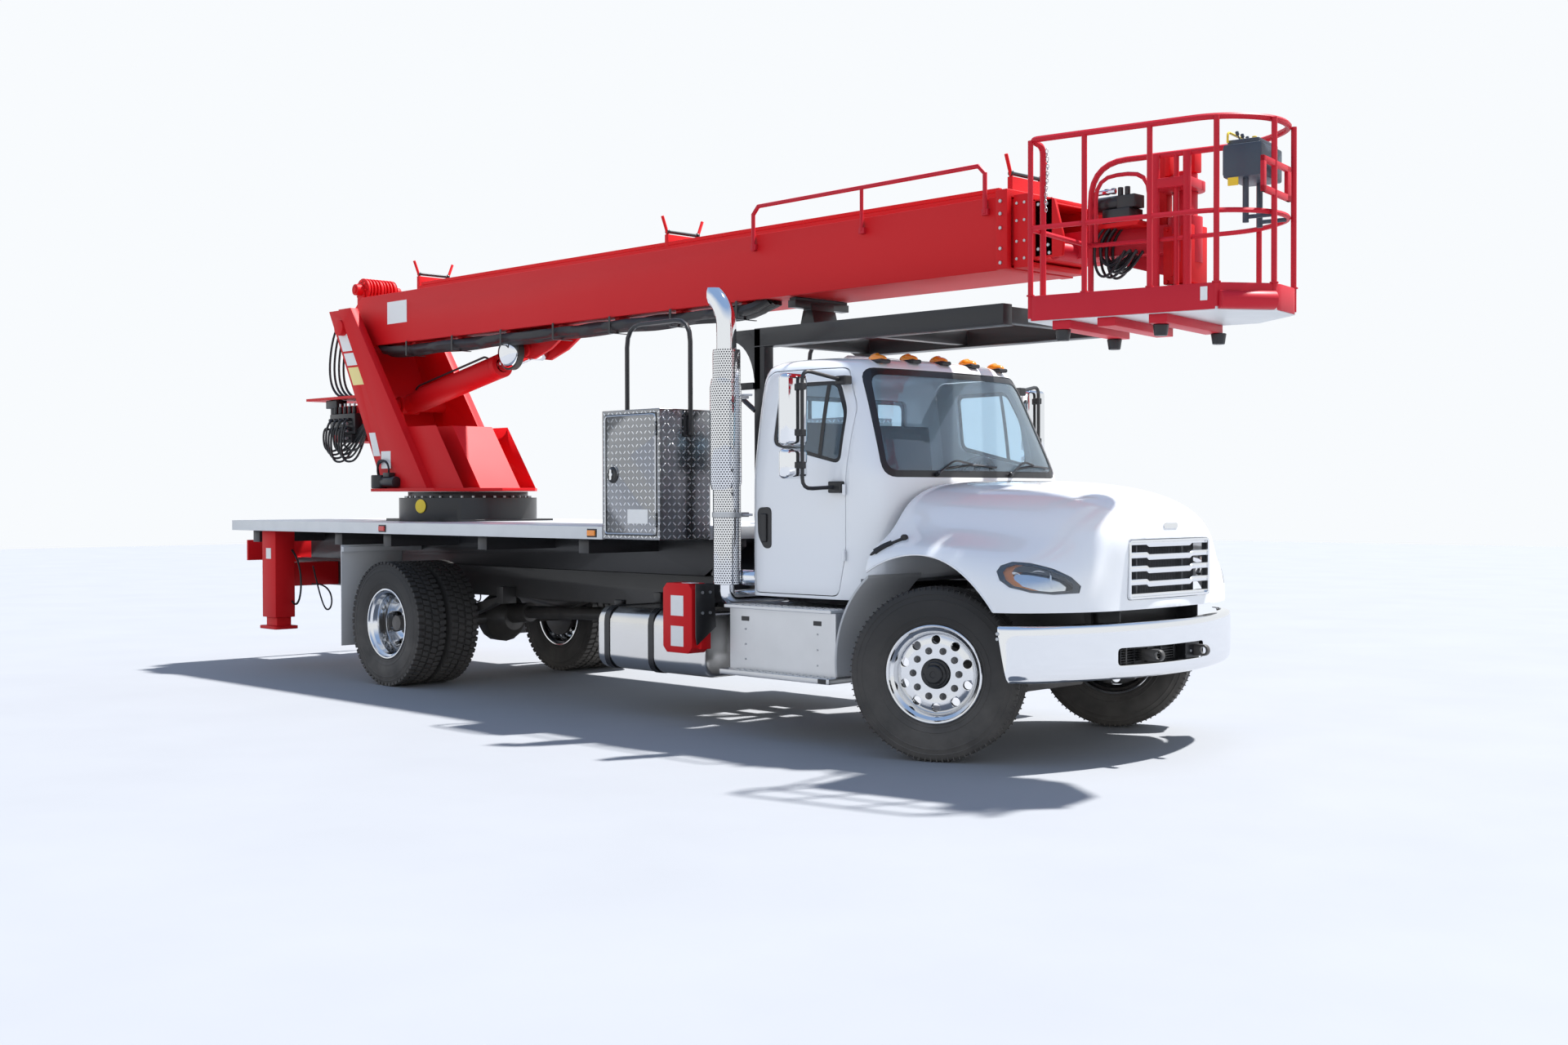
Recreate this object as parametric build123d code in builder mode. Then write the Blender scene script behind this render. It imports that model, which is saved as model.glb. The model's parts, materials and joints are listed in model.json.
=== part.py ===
from build123d import *
from math import cos, sin, radians, degrees, atan2, hypot
import os

os.makedirs("parts", exist_ok=True)

# Cherry picker truck: a two-axle conventional lorry with a telescopic boom on a turntable
# over the rear axle and a basket carried over the bonnet.
# Millimetres. +X is forward, +Y is the driver's left, +Z is up, z = 0 is the ground.
# The origin is under the middle of the whole machine.

# Running gear
front_axle_x = 3432.2
wheelbase = 5880.0
tyre_diameter = 1050.0
tyre_width = 279.0
rim_diameter = 580.0
kingpin_y = 885.0
front_wheel_y = 1045.0
rear_outer_y = 1070.0
rear_inner_y = 745.0
steer_rest = 24.6
wheel_stud_count = 10
wheel_sides = 44
tube_sides = 8

# Chassis frame and the driveline
rail_y = 430.0
rail_bottom_z = 750.0
rail_depth = 250.0
rail_flange = 85.0
rail_web = 10.0
rail_front_gap = 2500.0
rail_rear_overhang = 2850.0
spring_width = 90.0
engine_length = 990.0
engine_width = 560.0
engine_height = 720.0
gearbox_rear_x = front_axle_x - 1200.0
shaft_front_z = 720.0

# Cab
cab_back_x = front_axle_x - 1610.0
cab_half_width = 1020.0
cab_floor_z = 930.0
cab_deck_z = 1040.0
cab_tunnel_half = 540.0
cab_arch_radius = 692.0
cab_wall = 50.0
door_seat = 2.0
door_hinge_pin = 24.0
cab_roof_z = 2515.0
cab_belt_z = 1750.0
cab_eave_half_width = 915.0
cab_eave_z = 2400.0
cowl_x = front_axle_x - 400.0
cowl_z = 1700.0
roof_front_x = front_axle_x - 690.0
door_front_x = front_axle_x - 730.0
door_gap = 6.0
door_sill_z = 955.0
door_top_z = 2425.0
glass_thickness = 6.0
seal_gap = 2.0

# Bonnet, one moulding with the wings
hood_rear_x = front_axle_x - 385.0
hood_front_x = front_axle_x + 1015.0
hood_wall = 12.0
hood_bottom_z = 915.0
hood_rear_z = 1690.0
hood_nose_z = 1470.0
wing_half_width = 1205.0
wing_top_z = 1300.0
arch_radius = 680.0
arch_centre_z = 560.0
hood_pivot_x = front_axle_x + 900.0
hood_pivot_z = 700.0
hinge_arm_y = 465.0
hinge_arm = 24.0
hinge_pin = 22.0

# Bumper
bumper_front_x = front_axle_x + 1075.0
bumper_end_x = front_axle_x + 625.0
bumper_half_width = 1190.0
bumper_top_z = 843.0
bumper_depth = 330.0
bumper_wall = 8.0
tow_eye_y = 250.0
tow_eye_z = 643.0
tow_eye_width = 30.0
tow_eye_hole = 44.0
tow_eye_reach = 34.0

# Side gear of the chassis
step_front_x = front_axle_x - 700.0
step_length = 980.0
step_outer_y = 1190.0
step_top_z = 850.0
tank_front_x = front_axle_x - 2030.0
tank_length = 1180.0
tank_outer_y = 1050.0
tank_depth = 580.0
tank_height = 460.0
tank_bottom_z = 330.0
stack_x = front_axle_x - 1740.0
stack_y = 1100.0
stack_top_z = 3015.0
stack_diameter = 140.0
shield_diameter = 190.0

# Load bed
deck_top_z = 1380.0
deck_thickness = 95.0
tread_plate = 4.0
deck_half_width = 1220.0
deck_rear_x = front_axle_x - 8550.0
deck_front_x = front_axle_x - 2300.0
subframe_half_width = 420.0
box_length = 630.0
box_depth = 480.0
box_bottom_z = 1290.0
box_height = 920.0
sheet_wall = 15.0
loop_top_z = 2850.0

# Outriggers
rear_jack_x = front_axle_x - 8065.0
jack_tube = 200.0
jack_wall = 14.0
jack_y = deck_half_width - 220.0
jack_top_z = 1280.0
jack_housing_bottom_z = 470.0
jack_foot_z = 360.0
front_rigger_x = front_axle_x - 2110.0
front_rigger_z = 920.0

# Turntable and turret
slew_x = front_axle_x - 6400.0
bearing_diameter = 1240.0
turret_floor_z = 1650.0
turret_plate_gap = 780.0
turret_plate = 30.0
turret_top_z = 3390.0
boom_pivot_x = front_axle_x - 7850.0
boom_pivot_z = 3215.0
lift_base_x = front_axle_x - 7400.0
lift_base_z = 2470.0

# Boom, three telescoping sections
rest_gap = 27.0
boom_half_width = 320.0
boom_bottom_z = 3030.0
boom_depth = 470.0
boom_wall = 12.0
boom_end_x = front_axle_x + 60.0
section_gap = 14.0
mid_end_x = front_axle_x + 190.0
tip_end_x = front_axle_x + 420.0
lug_x = front_axle_x - 5350.0
lug_z = 2870.0
lift_bore = 190.0
hose_diameter = 54.0
hose_z = boom_bottom_z - 46.0
lift_rod_diameter = 120.0

# Platform carrier and basket
level_x = front_axle_x + 345.0
level_z = 3125.0
mast_x = front_axle_x + 1020.0
mast_y = 175.0
mast_diameter = 150.0
basket_length = 1400.0
basket_width = 900.0
basket_turn = 10.0
basket_floor_z = 2600.0
basket_rail_z = 3655.0
basket_mid_z = 3130.0
basket_toe = 150.0
toe_wall = 12.0
basket_tube = 42.0
mid_rail = 34.0
basket_post = 36.0
basket_corner_x = front_axle_x + 680.0
basket_corner_y = -980.0

rear_axle_x = front_axle_x - wheelbase
hub_z = tyre_diameter / 2
rail_top_z = rail_bottom_z + rail_depth
rail_front_x = hood_front_x - 60.0
rail_rear_x = rear_axle_x - rail_rear_overhang
tail_x = front_axle_x - 8880.0


# Shape helpers. Each one adds to (or cuts from) the part that is being built.

def block(x0, x1, y0, y1, z0, z1, mode=Mode.ADD):
    """A box between two corners."""
    with Locations(((x0 + x1) / 2, (y0 + y1) / 2, (z0 + z1) / 2)):
        Box(abs(x1 - x0), abs(y1 - y0), abs(z1 - z0), mode=mode)


def side_block(side, x0, x1, y0, y1, z0, z1, mode=Mode.ADD):
    """A box on one side of the machine, with y counted outwards from the middle."""
    block(x0, x1, side * y0, side * y1, z0, z1, mode)


def side_profile(points, y0, y1, mode=Mode.ADD):
    """An outline in X and Z, extruded from y0 to y1."""
    y0, y1 = sorted((y0, y1))
    with BuildSketch(Plane.XZ.offset(-y1)) as outline:
        with BuildLine():
            Polyline(*points, close=True)
        make_face()
    extrude(outline.sketch, amount=y1 - y0, mode=mode)


def front_profile(points, x0, x1, mode=Mode.ADD):
    """An outline in Y and Z, extruded from x0 to x1."""
    with BuildSketch(Plane.YZ.offset(x0)) as outline:
        with BuildLine():
            Polyline(*points, close=True)
        make_face()
    extrude(outline.sketch, amount=x1 - x0, mode=mode)


def top_profile(points, z0, z1, mode=Mode.ADD):
    """An outline in X and Y, extruded from z0 to z1."""
    with BuildSketch(Plane.XY.offset(z0)) as outline:
        with BuildLine():
            Polyline(*points, close=True)
        make_face()
    extrude(outline.sketch, amount=z1 - z0, mode=mode)


def rod(start, end, diameter, mode=Mode.ADD, sides=0):
    """A bar between two points: round, or with flats when sides are given."""
    direction = Vector(*end) - Vector(*start)
    with BuildSketch(Plane(origin=start, z_dir=direction)) as disc:
        if sides:
            RegularPolygon(diameter / 2, sides)
        else:
            Circle(diameter / 2)
    extrude(disc.sketch, amount=direction.length, mode=mode)


def tube(start, end, diameter):
    """A straight rail tube, drawn with a few flats."""
    rod(start, end, diameter, sides=tube_sides)


def bent_tube(points, bend, diameter, sides=tube_sides):
    """A tube along straight runs, with a short mitred piece across each corner."""
    stops = [Vector(*points[0])]
    for before, corner, after in zip(points, points[1:], points[2:]):
        for neighbour in (before, after):
            run = Vector(*neighbour) - Vector(*corner)
            stops.append(Vector(*corner) + run.normalized() * bend * 0.6)
    stops.append(Vector(*points[-1]))
    with BuildLine() as route:
        Polyline(*stops)
    with BuildSketch(Plane(origin=stops[0], z_dir=stops[1] - stops[0])) as disc:
        RegularPolygon(diameter / 2, sides)
    sweep(sections=disc.sketch, path=route.wire(), transition=Transition.RIGHT)


def axle_disc(x, y, z, diameter, width, mode=Mode.ADD, sides=0):
    """A disc that turns about Y, centred on y."""
    rod((x, y - width / 2, z), (x, y + width / 2, z), diameter, mode, sides)


def flat_ring(section, centre_y, sides, mode=Mode.ADD):
    """A ring of flats about the wheel's axle, from the (radius, offset) corners round its closed section."""
    turns = [radians(360 * step / sides) for step in range(sides)]
    hoops = [[(radius * cos(turn), centre_y + offset, radius * sin(turn)) for turn in turns]
             for radius, offset in section]
    flats = []
    for last, hoop in zip(hoops[-1:] + hoops, hoops):
        flats += [Face(Wire.make_polygon([last[step - 1], last[step], hoop[step], hoop[step - 1]]))
                  for step in range(sides)]
    add(Solid(Shell(flats)), mode=mode)


def save(builder, name):
    """Label a finished piece and write it."""
    builder.part.label = name
    export_step(builder.part, f"parts/{name}.step")


# Chassis

cross_members = [-8500.0, -7300.0, -5050.0, -3900.0, -2500.0, -1420.0, 745.0]

with BuildPart() as frame_rails:
    for side in (-1, 1):
        outer = side * rail_y
        inner = side * (rail_y - rail_flange)
        web = side * (rail_y - rail_web)
        front_profile([(outer, rail_bottom_z), (inner, rail_bottom_z),
                       (inner, rail_bottom_z + rail_web), (web, rail_bottom_z + rail_web),
                       (web, rail_top_z - rail_web), (inner, rail_top_z - rail_web),
                       (inner, rail_top_z), (outer, rail_top_z)], rail_rear_x, rail_front_x)
    for station in cross_members:
        x = front_axle_x + station
        block(x - 60, x + 60, -rail_y + rail_web, rail_y - rail_web,
              rail_bottom_z + 40, rail_top_z - 40)
    # Clevises that carry the bonnet's pins, and the bumper's brackets
    for side in (-1, 1):
        for cheek in (hinge_arm_y - 25, hinge_arm_y + 25):
            side_profile([(hood_pivot_x - 25, hood_pivot_z - 50), (hood_pivot_x + 25, hood_pivot_z - 50),
                          (hood_pivot_x + 18, hood_pivot_z + 20), (hood_pivot_x - 18, hood_pivot_z + 20)],
                         side * (cheek - 4), side * (cheek + 4))
        side_block(side, hood_pivot_x - 25, hood_pivot_x + 25, rail_y - 12, hinge_arm_y + 29,
                   hood_pivot_z - 52, hood_pivot_z - 40)
        rod((hood_pivot_x, side * (hinge_arm_y - 29), hood_pivot_z),
            (hood_pivot_x, side * (hinge_arm_y + 29), hood_pivot_z), hinge_pin)
        side_block(side, rail_front_x - 60, bumper_front_x - 75, rail_y - 12, rail_y,
                   rail_bottom_z - 160, rail_bottom_z + 60)
    # Front cross beam with the two towing eyes, which look out through the bumper's slot
    block(rail_front_x - 40, rail_front_x, -rail_y + 12, rail_y - 12, tow_eye_z - 45, tow_eye_z + 45)
    eye_x = bumper_front_x + tow_eye_reach
    for side in (-1, 1):
        with BuildSketch(Plane.XZ.offset(-side * tow_eye_y - tow_eye_width / 2)):
            with Locations(((rail_front_x - 10 + eye_x) / 2, tow_eye_z)):
                Rectangle(eye_x - rail_front_x + 10, 70)
            with Locations((eye_x, tow_eye_z)):
                Circle(35)
                Circle(tow_eye_hole / 2, mode=Mode.SUBTRACT)
        extrude(amount=tow_eye_width)
save(frame_rails, "frame_rails")

with BuildPart() as engine:
    block(front_axle_x - 330, front_axle_x - 330 + engine_length, -engine_width / 2, engine_width / 2,
          rail_bottom_z + 60, rail_bottom_z + 60 + engine_height)
    # The gearbox narrows behind the engine, and the radiator stands in front of it
    with BuildSketch(Plane.YZ.offset(front_axle_x - 330)):
        with Locations((0, rail_bottom_z + 125)):
            Rectangle(400, 290)
    with BuildSketch(Plane.YZ.offset(gearbox_rear_x)):
        with Locations((0, rail_bottom_z + 10)):
            Rectangle(260, 240)
    loft()
    for side in (-1, 1):
        side_block(side, front_axle_x - 120, front_axle_x - 20, engine_width / 2 - 5, rail_y - rail_web,
                   rail_bottom_z + 90, rail_bottom_z + 150)
    block(front_axle_x + 650, front_axle_x + 735, -160, 160, rail_top_z + 60, 1300)
    block(front_axle_x + 730, front_axle_x + 800, -330, 330, rail_top_z - 40, 1400)
save(engine, "engine_block")

with BuildPart() as front_axle:
    # The forged beam drops between the springs and rises to the kingpins
    front_profile([(-kingpin_y + 55, hub_z + 55), (-560, hub_z + 10), (-430, hub_z - 90), (430, hub_z - 90),
                   (560, hub_z + 10), (kingpin_y - 55, hub_z + 55), (kingpin_y - 55, hub_z - 55),
                   (600, hub_z - 95), (460, hub_z - 190), (-460, hub_z - 190), (-600, hub_z - 95),
                   (-kingpin_y + 55, hub_z - 55)], front_axle_x - 55, front_axle_x + 55)
    for side in (-1, 1):
        spring_y = side * (rail_y - 40)
        side_profile([(front_axle_x - 620, rail_bottom_z), (front_axle_x - 300, hub_z + 90),
                      (front_axle_x, hub_z - 20), (front_axle_x + 300, hub_z + 90),
                      (front_axle_x + 620, rail_bottom_z), (front_axle_x + 620, rail_bottom_z - 30),
                      (front_axle_x + 300, hub_z + 30), (front_axle_x, hub_z - 95),
                      (front_axle_x - 300, hub_z + 30), (front_axle_x - 620, rail_bottom_z - 30)],
                     spring_y - 40, spring_y + 40)
save(front_axle, "front_axle")

with BuildPart() as rear_axle:
    rod((rear_axle_x, -rear_outer_y - 20, hub_z), (rear_axle_x, rear_outer_y + 20, hub_z), 130)
    # The casing swells round the crown wheel
    for offset, radius in ((-150.0, 120.0), (-70.0, 215.0), (60.0, 215.0), (190.0, 110.0)):
        with BuildSketch(Plane.YZ.offset(rear_axle_x + offset)):
            with Locations((0, hub_z)):
                RegularPolygon(radius, 2 * tube_sides)
    loft(ruled=True)
    rod((rear_axle_x, 0, hub_z + 20), (rear_axle_x + 420, 0, hub_z + 60), 170)
    rod((rear_axle_x + 420, 0, hub_z + 60), (gearbox_rear_x + 10, 0, shaft_front_z), 110)
    block(gearbox_rear_x, gearbox_rear_x + 60, -100, 100, shaft_front_z - 100, shaft_front_z + 100,
          mode=Mode.SUBTRACT)
    for side in (-1, 1):
        spring_y = side * 520.0
        side_profile([(rear_axle_x - 760, 760), (rear_axle_x - 350, 680), (rear_axle_x, 660),
                      (rear_axle_x + 350, 680), (rear_axle_x + 760, 760), (rear_axle_x + 760, 720),
                      (rear_axle_x + 350, 590), (rear_axle_x, hub_z + 30),
                      (rear_axle_x - 350, 590), (rear_axle_x - 760, 720)],
                     spring_y - spring_width / 2, spring_y + spring_width / 2)
        for end in (-1, 1):
            shackle_x = rear_axle_x + end * 760
            side_block(side, shackle_x - 45, shackle_x + 45, rail_y, 565, 700, 840)
        axle_disc(rear_axle_x, side * 640, hub_z, 400, 30, sides=wheel_sides)
save(rear_axle, "rear_axle")


# Wheels

tyre_section = [
    # radius, offset from the tyre's middle
    (tyre_diameter * 0.37, -tyre_width * 0.50),
    (tyre_diameter * 0.45, -tyre_width * 0.48),
    (tyre_diameter * 0.49, -tyre_width * 0.40),
    (tyre_diameter * 0.50, -tyre_width * 0.25),
    (tyre_diameter * 0.50, tyre_width * 0.25),
    (tyre_diameter * 0.49, tyre_width * 0.40),
    (tyre_diameter * 0.45, tyre_width * 0.48),
    (tyre_diameter * 0.37, tyre_width * 0.50),
]
rim_wall = 12.0
rim_lip = 8.0
rim_drop = 34.0
disc_wall = 18.0
disc_dish = 60.0
disc_flat = 150.0
disc_bore = 60.0
rim_half = tyre_width * 0.44
bead_half = tyre_width * 0.40
hand_hole_ring = 205.0
hand_hole = 54.0
stud_ring = 142.5
nut = 34.0
nut_reach = 22.0
hub_cap = 180.0
rim_well = rim_diameter / 2 - rim_wall - rim_drop


def rim_ring(centre_y):
    """The rim's well, with a lip at each side."""
    seat = rim_diameter / 2 - 1
    lip = rim_diameter / 2 - rim_wall - rim_lip
    flat_ring([(seat, -rim_half), (seat, rim_half), (lip, rim_half), (rim_well, rim_half / 2),
               (rim_well, -rim_half / 2), (lip, -rim_half)], centre_y, wheel_sides)


def wheel_disc(disc_y, hub_out):
    """The dished and pierced disc, its ring of nuts and the hub, which points along +Y."""
    edge = rim_well + 10
    flat_ring([(edge, -disc_wall - disc_dish), (edge, disc_wall - disc_dish), (disc_flat, disc_wall),
               (disc_bore, disc_wall), (disc_bore, -disc_wall), (disc_flat, -disc_wall),
               (edge - 16, -disc_wall - disc_dish)], disc_y, wheel_sides)
    with BuildSketch(Plane.XZ.offset(-disc_y)) as holes:
        with PolarLocations(hand_hole_ring, wheel_stud_count):
            RegularPolygon(hand_hole / 2, tube_sides)
    extrude(holes.sketch, amount=110, both=True, mode=Mode.SUBTRACT)
    with BuildSketch(Plane.XZ.offset(-disc_y)) as nuts:
        with PolarLocations(stud_ring, wheel_stud_count):
            RegularPolygon(nut / 2, 6)
    extrude(nuts.sketch, amount=disc_wall + nut_reach, both=True)
    rod((0, disc_y, 0), (0, disc_y + hub_out, 0), hub_cap)


def place_on_axle(part, x, y, turn):
    """Move a wheel made at the origin onto its axle end."""
    return Location((x, y, hub_z), (0, 0, turn)) * part


with BuildPart() as tyre:
    flat_ring(tyre_section + [(rim_diameter / 2, bead_half), (rim_diameter / 2, -bead_half)], 0, wheel_sides)
with BuildPart() as front_rim:
    rim_ring(0)
    wheel_disc(rim_half * 0.35, 95)
twin_gap = rear_outer_y - rear_inner_y
with BuildPart() as rear_rim:
    rim_ring(twin_gap / 2)
    rim_ring(-twin_gap / 2)
    # The disc stands between the twins, on a band that joins both rims, with the hub behind it
    wheel_disc(0, 40)
    band_half = twin_gap * 0.37
    flat_ring([(rim_well + 26, -band_half), (rim_well + 26, band_half), (rim_well, band_half),
               (rim_well, -band_half)], 0, wheel_sides)
    rod((0, -twin_gap / 2 + 20, 0), (0, 10, 0), 2 * disc_flat)

steer_arm = front_wheel_y - kingpin_y
rear_twin_y = (rear_outer_y + rear_inner_y) / 2
for word, side in (("right", -1), ("left", 1)):
    turn = steer_rest if side == 1 else steer_rest + 180
    centre_x = front_axle_x - side * steer_arm * sin(radians(steer_rest))
    centre_y = side * (kingpin_y + steer_arm * cos(radians(steer_rest)))
    with BuildPart() as front_tyre:
        add(place_on_axle(tyre.part, centre_x, centre_y, turn))
    save(front_tyre, f"front_tyre_{word}")
    with BuildPart() as front_wheel:
        add(place_on_axle(front_rim.part, centre_x, centre_y, turn))
    save(front_wheel, f"front_wheel_{word}")

    # Knuckle: a yoke round the axle's end on the kingpin, with the brake drum and spindle
    spin = radians(steer_rest)
    out = (-side * sin(spin), side * cos(spin))
    with BuildPart() as knuckle:
        pin = (front_axle_x, side * kingpin_y)
        rod((*pin, hub_z - 140), (*pin, hub_z + 140), 60)
        rod((*pin, hub_z + 62), (*pin, hub_z + 100), 110, sides=2 * tube_sides)
        rod((*pin, hub_z - 100), (*pin, hub_z - 62), 110, sides=2 * tube_sides)
        near = (pin[0] + out[0] * 48, pin[1] + out[1] * 48)
        face = (pin[0] + out[0] * 75, pin[1] + out[1] * 75)
        far = (pin[0] + out[0] * 118, pin[1] + out[1] * 118)
        rod((*near, hub_z), (*far, hub_z), 230, sides=2 * tube_sides)
        rod((*face, hub_z), (pin[0] + out[0] * 150, pin[1] + out[1] * 150, hub_z), 90)
    save(knuckle, f"knuckle_{word}")

    with BuildPart() as twin:
        for offset in (-1, 1):
            y = offset * (rear_outer_y - rear_inner_y) / 2
            add(Location((rear_axle_x, side * rear_twin_y + y, hub_z)) * tyre.part)
    save(twin, f"rear_tyres_{word}")
    with BuildPart() as rear_wheel:
        add(place_on_axle(rear_rim.part, rear_axle_x, side * rear_twin_y, 0 if side == 1 else 180))
        axle_disc(rear_axle_x, side * rear_twin_y, hub_z, 150, 360, mode=Mode.SUBTRACT)
    save(rear_wheel, f"rear_wheel_{word}")


# Cab: one form gives the shell, its hollow and the doors

def cab_cross(inset):
    """The cab's outline seen from the front, drawn in by inset."""
    half = cab_half_width - inset
    eave = cab_eave_half_width - inset
    return [(-half, cab_floor_z), (-half, cab_belt_z), (-eave, cab_eave_z),
            (-eave + 85, cab_roof_z - 30 - inset), (-eave + 320, cab_roof_z + 4 - inset),
            (eave - 320, cab_roof_z + 4 - inset), (eave - 85, cab_roof_z - 30 - inset),
            (eave, cab_eave_z), (half, cab_belt_z), (half, cab_floor_z)]


def cab_form(inset):
    """The cab's outer form, drawn in by inset on every side."""
    with BuildPart() as form:
        side_profile([
            (cab_back_x + inset, cab_floor_z + inset),
            (cab_back_x + inset, cab_roof_z - 75 - inset),
            (cab_back_x + 330, cab_roof_z - inset),
            (roof_front_x - 190, cab_roof_z - 4 - inset),
            (roof_front_x - inset * 0.6, cab_roof_z - 75 - inset),
            (cowl_x - inset, cowl_z - inset * 0.4),
            (cowl_x - inset, cab_floor_z + 120),
            (cowl_x - 120 - inset, cab_floor_z + inset)], -cab_half_width - 10, cab_half_width + 10)
        front_profile(cab_cross(inset), cab_back_x - 10, cowl_x + 10, mode=Mode.INTERSECT)
        # Ahead of the door the cowl narrows towards the bonnet
        half = cab_half_width - inset
        nose = [(door_front_x + 20 + inset * 0.3, -half), (cowl_x + 20, -half + 110), (cowl_x + 20, -half - 60),
                (door_front_x, -half - 60)]
        # The tunnel over the chassis, and the corner cut away for the front wheels
        tunnel = cab_tunnel_half + inset
        block(cab_back_x - 10, cowl_x + 10, -tunnel, tunnel, cab_floor_z - 10, cab_deck_z + inset,
              mode=Mode.SUBTRACT)
        axle_disc(front_axle_x, 0, hub_z + 20, 2 * (cab_arch_radius + inset), 2 * cab_half_width + 50,
                  mode=Mode.SUBTRACT)
        top_profile(nose, cab_floor_z - 10, cab_roof_z + 10, mode=Mode.SUBTRACT)
        top_profile([(x, -y) for x, y in reversed(nose)], cab_floor_z - 10, cab_roof_z + 10, mode=Mode.SUBTRACT)
    return form.part


door_outline = [
    (cab_back_x + 55, door_sill_z), (cab_back_x + 55, door_top_z - 60), (cab_back_x + 120, door_top_z),
    (door_front_x - 110, door_top_z), (door_front_x, door_top_z - 260), (door_front_x, door_sill_z),
]
window_outline = [
    (cab_back_x + 215, 1945), (cab_back_x + 215, door_top_z - 105), (cab_back_x + 240, door_top_z - 80),
    (door_front_x - 150, door_top_z - 85), (door_front_x - 60, door_top_z - 285), (door_front_x - 55, 1800),
]


def shrink(outline, gap):
    """An outline drawn in by gap towards its middle."""
    xs = [x for x, z in outline]
    zs = [z for x, z in outline]
    middle_x = (min(xs) + max(xs)) / 2
    middle_z = (min(zs) + max(zs)) / 2
    return [(x + (gap if x < middle_x else -gap), z + (gap if z < middle_z else -gap)) for x, z in outline]


def door_zone(side, gap, depth):
    """What a door takes up of the cab's side: its outline, as deep as the wall."""
    with BuildPart() as zone:
        side_profile(shrink(door_outline, gap), side * 600, side * (cab_half_width + 20))
        front_profile(cab_cross(depth), cab_back_x - 20, cowl_x + 20, mode=Mode.SUBTRACT)
    return zone.part


def door_hinges(side, diameter, play=0.0, mode=Mode.ADD):
    """The two hinge barrels on the door's front edge, or the room for them."""
    for low_z in (1180.0, 1600.0):
        rod((door_front_x, side * cab_half_width, low_z - play),
            (door_front_x, side * cab_half_width, low_z + 70 + play), diameter, mode)


cab_outer = cab_form(0)
cab_inner = cab_form(cab_wall)
glass_outer = cab_form((cab_wall - glass_thickness) / 2)
glass_inner = cab_form((cab_wall + glass_thickness) / 2)

screen_half = 850.0
screen_low_z = cowl_z + 40
screen_high_z = cab_roof_z - 95
rear_light_half = 560.0
rear_light_low_z = 1800.0
rear_light_high_z = 2290.0

with BuildPart() as cab_shell:
    add(cab_outer)
    add(cab_inner, mode=Mode.SUBTRACT)
    for side in (-1, 1):
        add(door_zone(side, 0, cab_wall + door_seat), mode=Mode.SUBTRACT)
        door_hinges(side, door_hinge_pin + 10, 5, mode=Mode.SUBTRACT)
    front_profile([(-screen_half - 30, screen_low_z), (-screen_half + 60, screen_high_z),
                   (screen_half - 60, screen_high_z), (screen_half + 30, screen_low_z)],
                  roof_front_x - 120, cowl_x + 20, mode=Mode.SUBTRACT)
    front_profile([(-rear_light_half, rear_light_low_z), (-rear_light_half, rear_light_high_z),
                   (rear_light_half, rear_light_high_z), (rear_light_half, rear_light_low_z)],
                  cab_back_x - 20, cab_back_x + 100, mode=Mode.SUBTRACT)
    # Mounts down to the frame rails
    for station in (cab_back_x + 150, cowl_x - 250):
        for side in (-1, 1):
            side_block(side, station - 60, station + 60, rail_y - 60, rail_y, rail_top_z, cab_deck_z + 10)
save(cab_shell, "cab_shell")

with BuildPart() as cab_glass:
    add(glass_outer)
    add(glass_inner, mode=Mode.SUBTRACT)
    with BuildPart(mode=Mode.PRIVATE) as openings:
        front_profile([(-screen_half - 30 + seal_gap, screen_low_z + seal_gap),
                       (-screen_half + 60 + seal_gap, screen_high_z - seal_gap),
                       (screen_half - 60 - seal_gap, screen_high_z - seal_gap),
                       (screen_half + 30 - seal_gap, screen_low_z + seal_gap)], roof_front_x - 120, cowl_x + 20)
        front_profile([(-rear_light_half + seal_gap, rear_light_low_z + seal_gap),
                       (-rear_light_half + seal_gap, rear_light_high_z - seal_gap),
                       (rear_light_half - seal_gap, rear_light_high_z - seal_gap),
                       (rear_light_half - seal_gap, rear_light_low_z + seal_gap)],
                      cab_back_x - 20, cab_back_x + 100)
    add(openings.part, mode=Mode.INTERSECT)
save(cab_glass, "cab_glass")

seat_x = cab_back_x + 330.0
seat_base_z = cab_deck_z + cab_wall
with BuildPart() as cab_interior:
    for seat_y in (-430.0, 430.0):
        block(seat_x - 180, seat_x + 200, seat_y - 150, seat_y + 150, seat_base_z, seat_base_z + 260)
        block(seat_x - 230, seat_x + 280, seat_y - 250, seat_y + 250, seat_base_z + 250, seat_base_z + 370)
        side_profile([(seat_x - 240, seat_base_z + 360), (seat_x - 110, seat_base_z + 360),
                      (seat_x - 180, seat_base_z + 1010), (seat_x - 260, seat_base_z + 1010)],
                     seat_y - 240, seat_y + 240)
    # Dashboard under the windscreen, with the steering column and wheel
    side_profile([(cowl_x - cab_wall, seat_base_z + 180), (cowl_x - cab_wall, cowl_z - 90),
                  (cowl_x - 330, cowl_z - 110), (cowl_x - 380, cowl_z - 330),
                  (cowl_x - 240, seat_base_z + 180)], -780, 780)
    column_top = (seat_x + 400, 430, 1670)
    rod((cowl_x - 300, 430, 1500), column_top, 60)
    with BuildPart(mode=Mode.PRIVATE) as steering_wheel:
        with BuildSketch(Plane.XY.offset(-15)):
            RegularPolygon(232, 2 * tube_sides)
            RegularPolygon(200, 2 * tube_sides, mode=Mode.SUBTRACT)
            Rectangle(420, 36)
            RegularPolygon(60, tube_sides)
        extrude(amount=30)
    add(Plane(origin=column_top, z_dir=(-0.86, 0, 0.5)).location * steering_wheel.part)
save(cab_interior, "cab_interior")

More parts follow.
